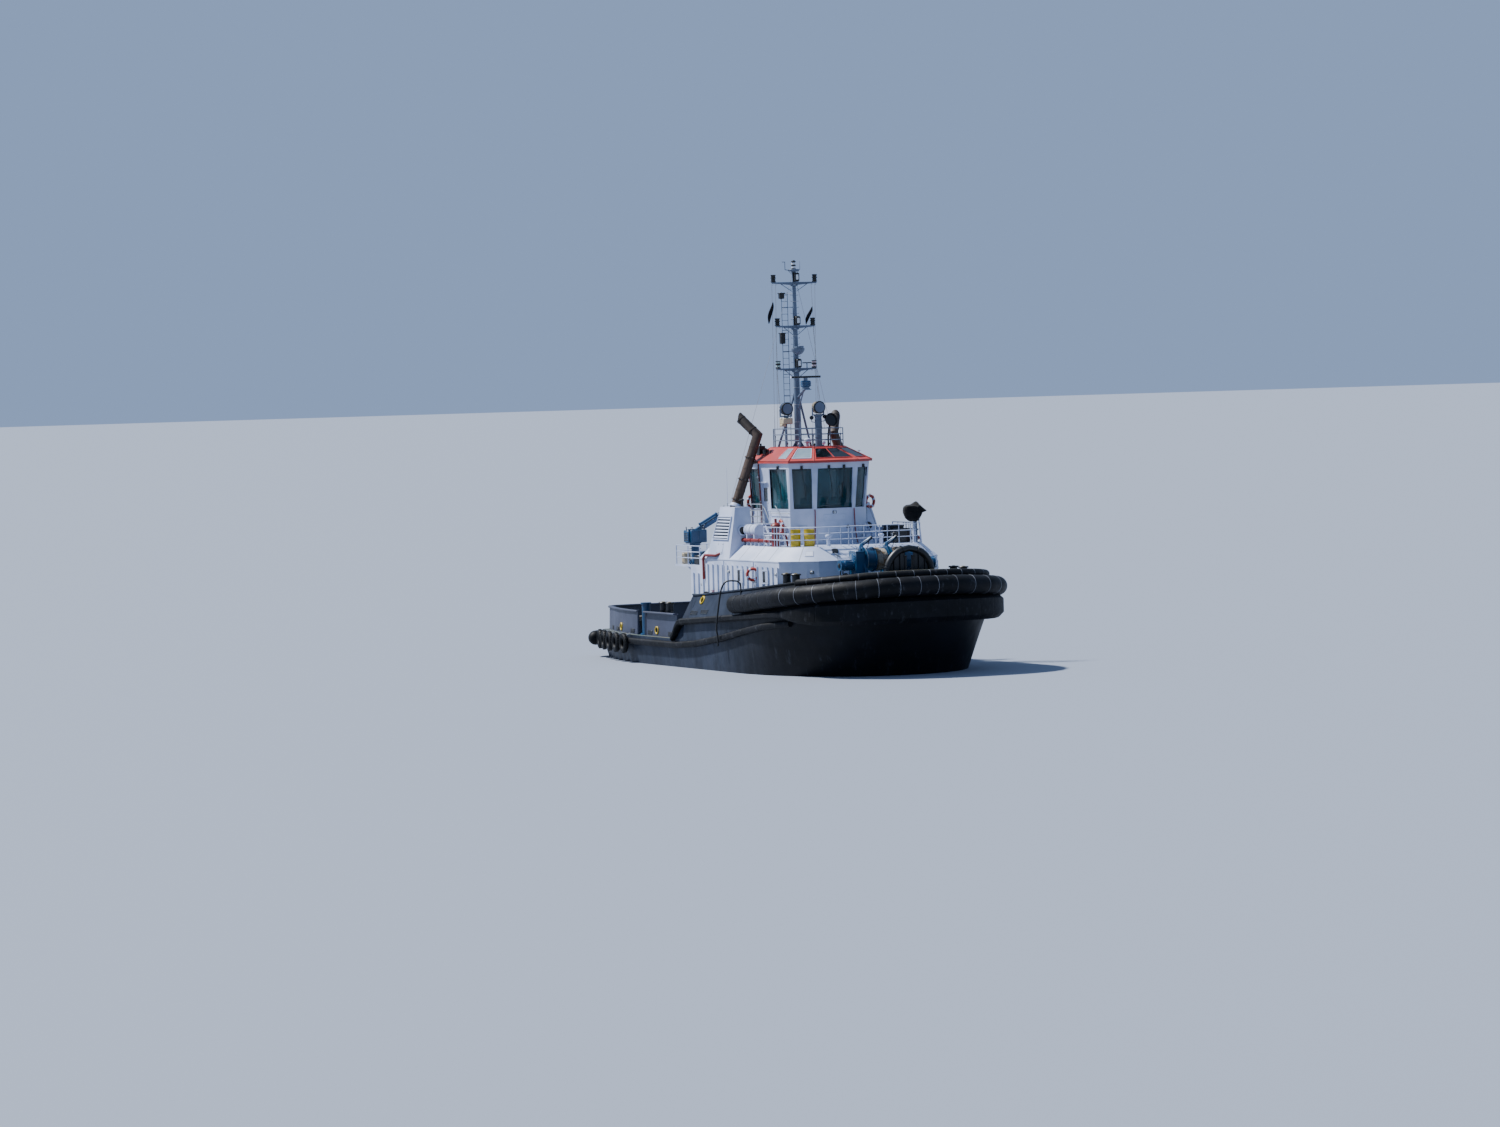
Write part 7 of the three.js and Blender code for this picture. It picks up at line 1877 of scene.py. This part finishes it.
# Ram along the back of the boom, clips and two hose runs
a, b = boomFoot + along * 0.45 + above * 0.22, boomFoot + along * 1.55 + above * 0.22
boom.tube([a, b], 0.065, "blue", 16)
boom.tube([b, boomFoot + along * 2.12 + above * 0.19], 0.032, "galvanised", 12)
for p in (a, b):
    boom.collar(0.065, 0.082, -0.03, 0.03, "blue", placed(p, along), 20)
for t in (0.45, 1.5, 2.12):
    q = boomFoot + along * t + above * 0.1
    boom.tube([q, q + above * 0.13], 0.03, "blue", 8)
for s in (-1, 1):
    beside = Vector((s * 0.135, 0, 0))
    run = [boomFoot + along * t + above * (0.1 + 0.015 * sin(6 * t)) + beside for t in (0.3, 0.7, 1.1, 1.5, 1.9, 2.3)]
    boom.tube(softPath(run), 0.016, "black")
    for t in (0.6, 1.2, 1.8):
        q = boomFoot + along * t + above * 0.09 + beside
        boom.collar(0.018, 0.026, -0.015, 0.015, "galvanised", placed(q, along), 10)
    boom.lathe([(0.06, 0), (0.06, 0.014), (0.03, 0.018), (0.03, 0.034), (tip, 0.036)], "galvanised",
               placed(boomTip + Vector((s * 0.13, 0, 0)), (s, 0, 0)), 16)
boom.build("craneBoomDetails", "crane_boom", "blue")

jib = Shape()
jibFoot = boomTip - lift(craneSpec["jib"])
for s in (-1, 1):
    jib.tube([boomTip + Vector((s * 0.078, 0, -0.3)), jibFoot + Vector((s * 0.078, 0, 0.25))], 0.011, "black")
for z in (0.35, 0.8, 1.25):
    p = boomTip - lift(z)
    jib.block((p.x, p.y), (0.082, 0.098), p.z - 0.02, p.z + 0.02, "blue", 0.006)
hookAt = jibFoot - lift(0.115)
jib.lathe([(0.025, 0), (0.045, -0.02), (0.045, -0.07), (0.02, -0.09), (tip, -0.09)], "galvanised", placed(hookAt), 14)
hook = [hookAt + Vector((0, 0.075 * sin(a), -0.17 - 0.075 * cos(a)))
        for a in (radians(-150 + 20 * k) for k in range(14))]
jib.tube([hookAt + lift(-0.08)] + hook[::-1], [0.018] * 6 + [0.024] * 6 + [0.01] * 3, "galvanised", 8)
jib.build("craneHook", "crane_jib", "blue")
print("crane")

# Doors: frame lip, dogs, handles and lights, riding on each door
for side, label in ((-1, "starboard"), (1, "port")):
    door = Shape()
    dy, leafX = side * houseSpec["doorY"], aftX + 0.005
    leaf = Face((leafX, dy + 0.34, 1.8), (leafX, dy - 0.34, 1.8), (leafX, dy - 0.34, 3.6), (leafX, dy + 0.34, 3.6))
    leaf.frame(door, 0.02, 0.98, 0.008, 0.992, 0.02, -0.003, 0.006, "white")
    leaf.slab(door, 0.18, 0.82, 0.1, 0.46, -0.003, 0.007, "white")
    pane = placed((leafX, dy, 3.18), (-1, 0, 0))
    door.ring(0.15, 0.016, "white", pane, 28, 6)
    door.lathe([(0.145, -0.002), (0.145, 0.005), (tip, 0.008)], "darkGlass", pane, 28)
    handle = 0.12 if side < 0 else 0.88
    for v in (0.2, 0.5, 0.8):
        at = leaf.at(handle, v, 0)
        door.stud(0.025, 0.02, 0.022, "galvanised", placed(at, leaf.normal), 12)
        door.tube([at + leaf.normal * 0.02, at + leaf.normal * 0.035 + lift(0.11)], 0.01, "galvanised")
    door.build("deckDoorDetails" + label.capitalize(), "deckhouse_door_" + label, "white")
    cab = Shape()
    y = side * 2.165
    leaf = Face((1.33, y, 7.6), (2.03, y, 7.6), (2.03, y, 9.48), (1.33, y, 9.48))
    leaf = leaf if side < 0 else Face((2.03, y, 7.6), (1.33, y, 7.6), (1.33, y, 9.48), (2.03, y, 9.48))
    leaf.frame(cab, 0.172, 0.828, 0.54, 0.916, 0.035, -0.003, 0.01, "white")
    leaf.frame(cab, 0.19, 0.81, 0.548, 0.908, 0.012, -0.01, 0.004, "rubber")
    paneRow = [leaf.at(0.172, 0.54), leaf.at(0.828, 0.54), leaf.at(0.828, 0.916), leaf.at(0.172, 0.916)]
    cab.rings([[p - leaf.normal * 0.02 for p in paneRow], [p - leaf.normal * 0.028 for p in paneRow]], "glass")
    leaf.slab(cab, 0.18, 0.82, 0.08, 0.44, -0.003, 0.006, "white")
    u = 0.9 if side < 0 else 0.1
    at = leaf.at(u, 0.5, 0)
    cab.stud(0.022, 0.018, 0.02, "galvanised", placed(at, leaf.normal), 12)
    cab.tube([at + leaf.normal * 0.018, at + leaf.normal * 0.03 - Vector((0.1, 0, 0))], 0.009, "galvanised")
    cab.build("cabDoorDetails" + label.capitalize(), "wheelhouse_door_" + label, "white")

# Wheelhouse landings: guard rails outside the open doors, and stair rails
landing = Shape()
for side in (-1, 1):
    y = side * 3
    posts = [(1.08, y), (1.7, y), (2.35, y), (3, y)]
    for x, py in posts:
        landing.post(x, py, 7.5, 8.5, 0.018, "galvanised")
    for z in (7.85, 8.18, 8.5):
        landing.tube([(1.08, side * 2.25, z), (1.08, y, z), (3, y, z)], 0.016 if z < 8.4 else 0.019, "galvanised", 8)
    for yy in (side * 2.98, side * 2.28):
        landing.tube(softPath([(3, yy, 8.4), (3.3, yy, 8.2), (4, yy, 7.35), (4.18, yy, 7.1), (4.2, yy, 6.39)], 3),
                     0.018, "galvanised", 8)
    landing.post(1.08, side * 2.25, 7.5, 8.5, 0.018, "galvanised")
    for k in range(8):
        x = 1.2 + 0.24 * k
        landing.box((x - 0.008, side * 2.22, 7.5), (x + 0.008, side * 2.92, 7.512), "galvanised", 0.002)
landing.build("landingRails", "vessel", "white")
print("doors and landings")

# Raft canister bands and cradle straps
raftSpec = {"y": -3.35, "z": 7.18, "radius": 0.308}
raftY, raftZ, raftRadius = raftSpec["y"], raftSpec["z"], raftSpec["radius"]
raft = Shape()
for x in (2.05, 2.25, 2.69, 2.71, 3.15, 3.35):
    wide = 0.03 if x not in (2.69, 2.71) else 0.012
    band = [(raftRadius, -wide), (0.322, -wide * 0.8), (0.322, wide * 0.8), (raftRadius, wide)]
    raft.lathe(band, "white" if wide > 0.02 else "grey", placed((x, raftY, raftZ), (1, 0, 0)), 36, closed=True)
for x in (2.25, 3.15):
    raft.tube([(x, raftY + 0.33 * cos(a), raftZ + 0.33 * sin(a)) for a in (radians(-20 + 10 * k) for k in range(23))],
              0, "strap", section=[(-0.004, -0.025), (0.004, -0.025), (0.004, 0.025), (-0.004, 0.025)], up=(1, 0, 0))
for x, turn in ((3.43, -1), (1.97, 1)):
    dome = [(tip, 0), (0.2, 0.005), (0.29, 0.02), (raftRadius, 0.06)]
    raft.lathe(dome, "white", placed((x, raftY, raftZ), (turn, 0, 0)), 36)
# Hose reels and orange-red fire gear aft of the canister, as the photograph shows
for x, y, r in ((1.75, -3.25, 0.2), (1.45, -3.3, 0.16)):
    place = placed((x, y, 6.9), (0.4, -1, 0))
    for k in range(4):
        raft.ring(r, 0.022, "red", place @ Matrix.Translation((0, 0, 0.045 * k)), 28, 6)
    raft.post(x, y, 6.385, 6.9, 0.03, "galvanised")
raft.build("raftBands", "vessel", "white")

# Aft deck: hatches, vents, towing bitt caps and bands, coiled lines in their bins, capstan whelps
aft = Shape()
deckZ, bittX, capstanX = 1.5, -9, -12.6
for x, y in ((-6.3, 2.6), (-6.3, -2.6), (-10.2, 3.2), (-10.2, -3.2)):
    aft.block((x, y), (0.36, 0.36), deckZ + 0.002, deckZ + 0.05, "deckGreen", 0.015)
    aft.stud(0.05, 0.02, 0.022, "galvanised", (x, y, deckZ + 0.05), 12)
    aft.tube([(x - 0.15, y, deckZ + 0.05), (x - 0.1, y, deckZ + 0.09), (x + 0.1, y, deckZ + 0.09),
              (x + 0.15, y, deckZ + 0.05)], 0.01, "galvanised")
    for s in (-1, 1):
        for q in (-1, 1):
            bolts(aft, placed((x + 0.29 * s, y + 0.29 * q, deckZ + 0.05)), 1, 0, 0.02, 0.02)
for x, y, h, r, finish in ((-3.6, 3.9, 0.95, 0.17, "white"), (-4.3, 3.9, 0.8, 0.14, "black"),
                           (-3.6, -3.9, 0.95, 0.17, "white"), (-7.8, 4.4, 0.7, 0.14, "black"),
                           (-7.8, -4.4, 0.7, 0.14, "black")):
    roundVent(aft, (x, y, deckZ + 0.002), h, r, finish)
for y in (-0.75, 0.75):
    place = placed((bittX, y, 2.9))
    aft.lathe([(0.19, -0.03), (0.23, -0.02), (0.23, 0.03), (0.19, 0.05), (tip, 0.055)], "yellow", place, 32)
    aft.collar(0.19, 0.205, 0, 0.12, "yellow", (bittX, y, 1.75), 32)
    bolts(aft, placed((bittX, y, 1.562)), 10, 0.3, 0.022, 0.03)
for s in (-1, 1):
    aft.lathe([(0.14, -0.04), (0.17, -0.03), (0.17, 0.02), (tip, 0.03)],
              "yellow", placed((bittX, s * 1.15, 2.45), (0, s, 0)), 24)
    # A coiled mooring line in its bin
    aft.box((-12.9, s * 3.2, deckZ + 0.03), (-11.7, s * 4.4, deckZ + 0.55), "black", 0.02)
    for k in range(6):
        aft.ring(0.38 - 0.02 * (k % 2), 0.035, "rope", (-12.3, s * 3.8, deckZ + 0.56 + 0.035 * k), 36, 8)
bolts(aft, placed((capstanX, 0, deckZ + 0.18)), 12, 0.45, 0.02, 0.028)
aft.build("aftDeckFittings", "vessel", "black")
whelps = Shape()
for turn in around(placed((capstanX, 0, deckZ)), 8):
    levels = ((0.27, 0.325, 0.42), (0.26, 0.295, 0.64), (0.3, 0.345, 0.8))
    whelps.rings([[(a, -0.03, z), (b, -0.02, z), (b, 0.02, z), (a, 0.03, z)] for a, b, z in levels], "blue", turn)
bolts(whelps, placed((capstanX, 0, deckZ + 0.955)), 6, 0.2, 0.018, 0.004)
whelps.build("capstanWhelps", "capstan_head", "blue")
print("aft deck")

# Underwater: anodes, sea chest grilles, nozzle and hub details
thrusterSpec = {"x": -11.5, "y": 2.9, "z": -3.75}
under = Shape()
for side in (-1, 1):
    for x in (-7.5, -5.5, -3.5, -1.5):
        under.box((x - 0.2, side * 0.158, -3.2), (x + 0.2, side * 0.2, -3.08), "galvanised", 0.015)
for k in range(7):
    under.box((-8.6 + 0.9 * k, -0.166, -2.6), (-8.56 + 0.9 * k, 0.166, -2.56), "antifouling", 0.004)
under.build("skegAnodes", "vessel", "antifouling")
for side, label in ((-1, "starboard"), (1, "port")):
    pod = Shape()
    centre = Vector((thrusterSpec["x"], side * thrusterSpec["y"], thrusterSpec["z"]))
    axis = placed(centre, (1, 0, 0), (0, 0, 1))
    for r, h in ((1.418, 0.57), (1.365, 0.98)):
        pod.collar(r - 0.006, r + 0.002, h - 0.03, h + 0.03, "antifouling", axis, 64)
    for turn in around(axis, 10, 0.3):
        pod.box((1.375, -0.12, 0.68), (1.412, 0.12, 0.76), "galvanised", 0.012, turn)
    for h in (-0.5, 0, 0.35):
        pod.collar(0.385, 0.408, h - 0.02, h + 0.02, "antifouling", axis, 36)
    bolts(pod, placed(centre + lift(1.485), (0, 0, 1)), 16, 0.5, 0.022, 0.012)
    pod.build("thrusterDetails" + label.capitalize(), "thruster_" + label, "antifouling")
    wheel = Shape()
    hub = placed(centre + Vector((0.64, 0, 0)), (1, 0, 0), (0, 0, 1))
    for blade in around(hub, 4, pi / 4, 0.228, 0.16):
        bolts(wheel, blade @ Matrix.Rotation(pi / 2, 4, "Y"), 5, 0.055, 0.012, 0.014)
    wheel.collar(0.232, 0.243, 0.03, 0.06, "bronze", hub, 36)
    wheel.build("propellerHub" + label.capitalize(), "propeller_" + label, "bronze")
print("underwater")

# Helm: screens, levers and a padded chair behind the windows
helm = Shape()
for y in (-1.1, -0.55, 0, 0.55, 1.1):
    face = Face((3.93, y + 0.22, 8.46), (3.93, y - 0.22, 8.46), (4.12, y - 0.22, 8.8), (4.12, y + 0.22, 8.8))
    face.slab(helm, 0, 1, 0, 1, -0.03, 0, "black")
    face.slab(helm, 0.05, 0.95, 0.06, 0.94, 0, 0.004, "darkGlass")
for s in (-1, 1):
    helm.lathe([(0.07, 0), (0.07, 0.05), (0.03, 0.06), (0.02, 0.16), (0.04, 0.18), (0.04, 0.22), (tip, 0.24)],
               "black", (3.2, s * 1.2, 8.402), 16)
helm.box((3.5, -1.9, 10.2), (4.6, 1.9, 10.42), "black", 0.02)
helm.build("helmScreens", "vessel", "black")
for name, low, high, lean in (("helmSeat", (2.64, -0.26, 8.145), (3.18, 0.26, 8.27), 0),
                              ("helmBack", (2.7, -0.25, 8.27), (2.84, 0.25, 8.98), 1)):
    low, high = Vector(low), Vector(high)
    middle, half = (low + high) / 2, (high - low) / 2
    pad = Shape()
    rings = []
    for i in range(9):
        t = i / 8
        swell = sqrt(max(1 - (2 * t - 1) ** 4, 0.02))
        ring = []
        for k in range(36):
            phi = 2 * pi * k / 36
            cu, su = cos(phi), sin(phi)
            px = copysign(abs(cu) ** 0.5, cu) * (0.86 + 0.14 * swell)
            py = copysign(abs(su) ** 0.5, su) * (0.86 + 0.14 * swell)
            if lean:
                ring.append((low.x + 2 * half.x * t, middle.y + half.y * px, middle.z + half.z * py))
            else:
                ring.append((middle.x + half.x * px, middle.y + half.y * py, low.z + 2 * half.z * t))
        rings.append(ring if not lean else ring[::-1])
    pad.rings(rings, "seat")
    pad.build(name, "vessel", "black")
print("helm")

# Floor at the waterline, soft sky and a large soft key light
floorData = bpy.data.meshes.new("floor")
reach = 3000
floorData.from_pydata([(-reach, -reach, 0), (reach, -reach, 0), (reach, reach, 0), (-reach, reach, 0)], [],
                      [(0, 1, 2, 3)])
floor = bpy.data.objects.new("floor", floorData)
bpy.context.scene.collection.objects.link(floor)
floorTree = Tree("floorPale")
floorTree.shade("Base Color", (0.21, 0.24, 0.3))
floorTree.shade("Roughness", 0.9)
floorData.materials.append(floorTree.material)

lightSpec = {"sunStrength": 8.6, "sunSoftness": 3, "sunFrom": (-0.55, -0.62, 1.2),
             "skyStrength": 0.62, "skyColour": (0.43, 0.61, 1)}
world = bpy.data.worlds.new("softSky")
bpy.context.scene.world = world
world.use_nodes = True
world.node_tree.nodes["Background"].inputs[0].default_value = (*lightSpec["skyColour"], 1)
world.node_tree.nodes["Background"].inputs[1].default_value = lightSpec["skyStrength"]
sunData = bpy.data.lights.new("key", "SUN")
sunData.energy = lightSpec["sunStrength"]
sunData.angle = radians(lightSpec["sunSoftness"])
sun = bpy.data.objects.new("key", sunData)
bpy.context.scene.collection.objects.link(sun)
sun.rotation_mode = "QUATERNION"
sun.rotation_quaternion = Vector(lightSpec["sunFrom"]).normalized().to_track_quat("Z", "Y")

bpy.context.view_layer.update()
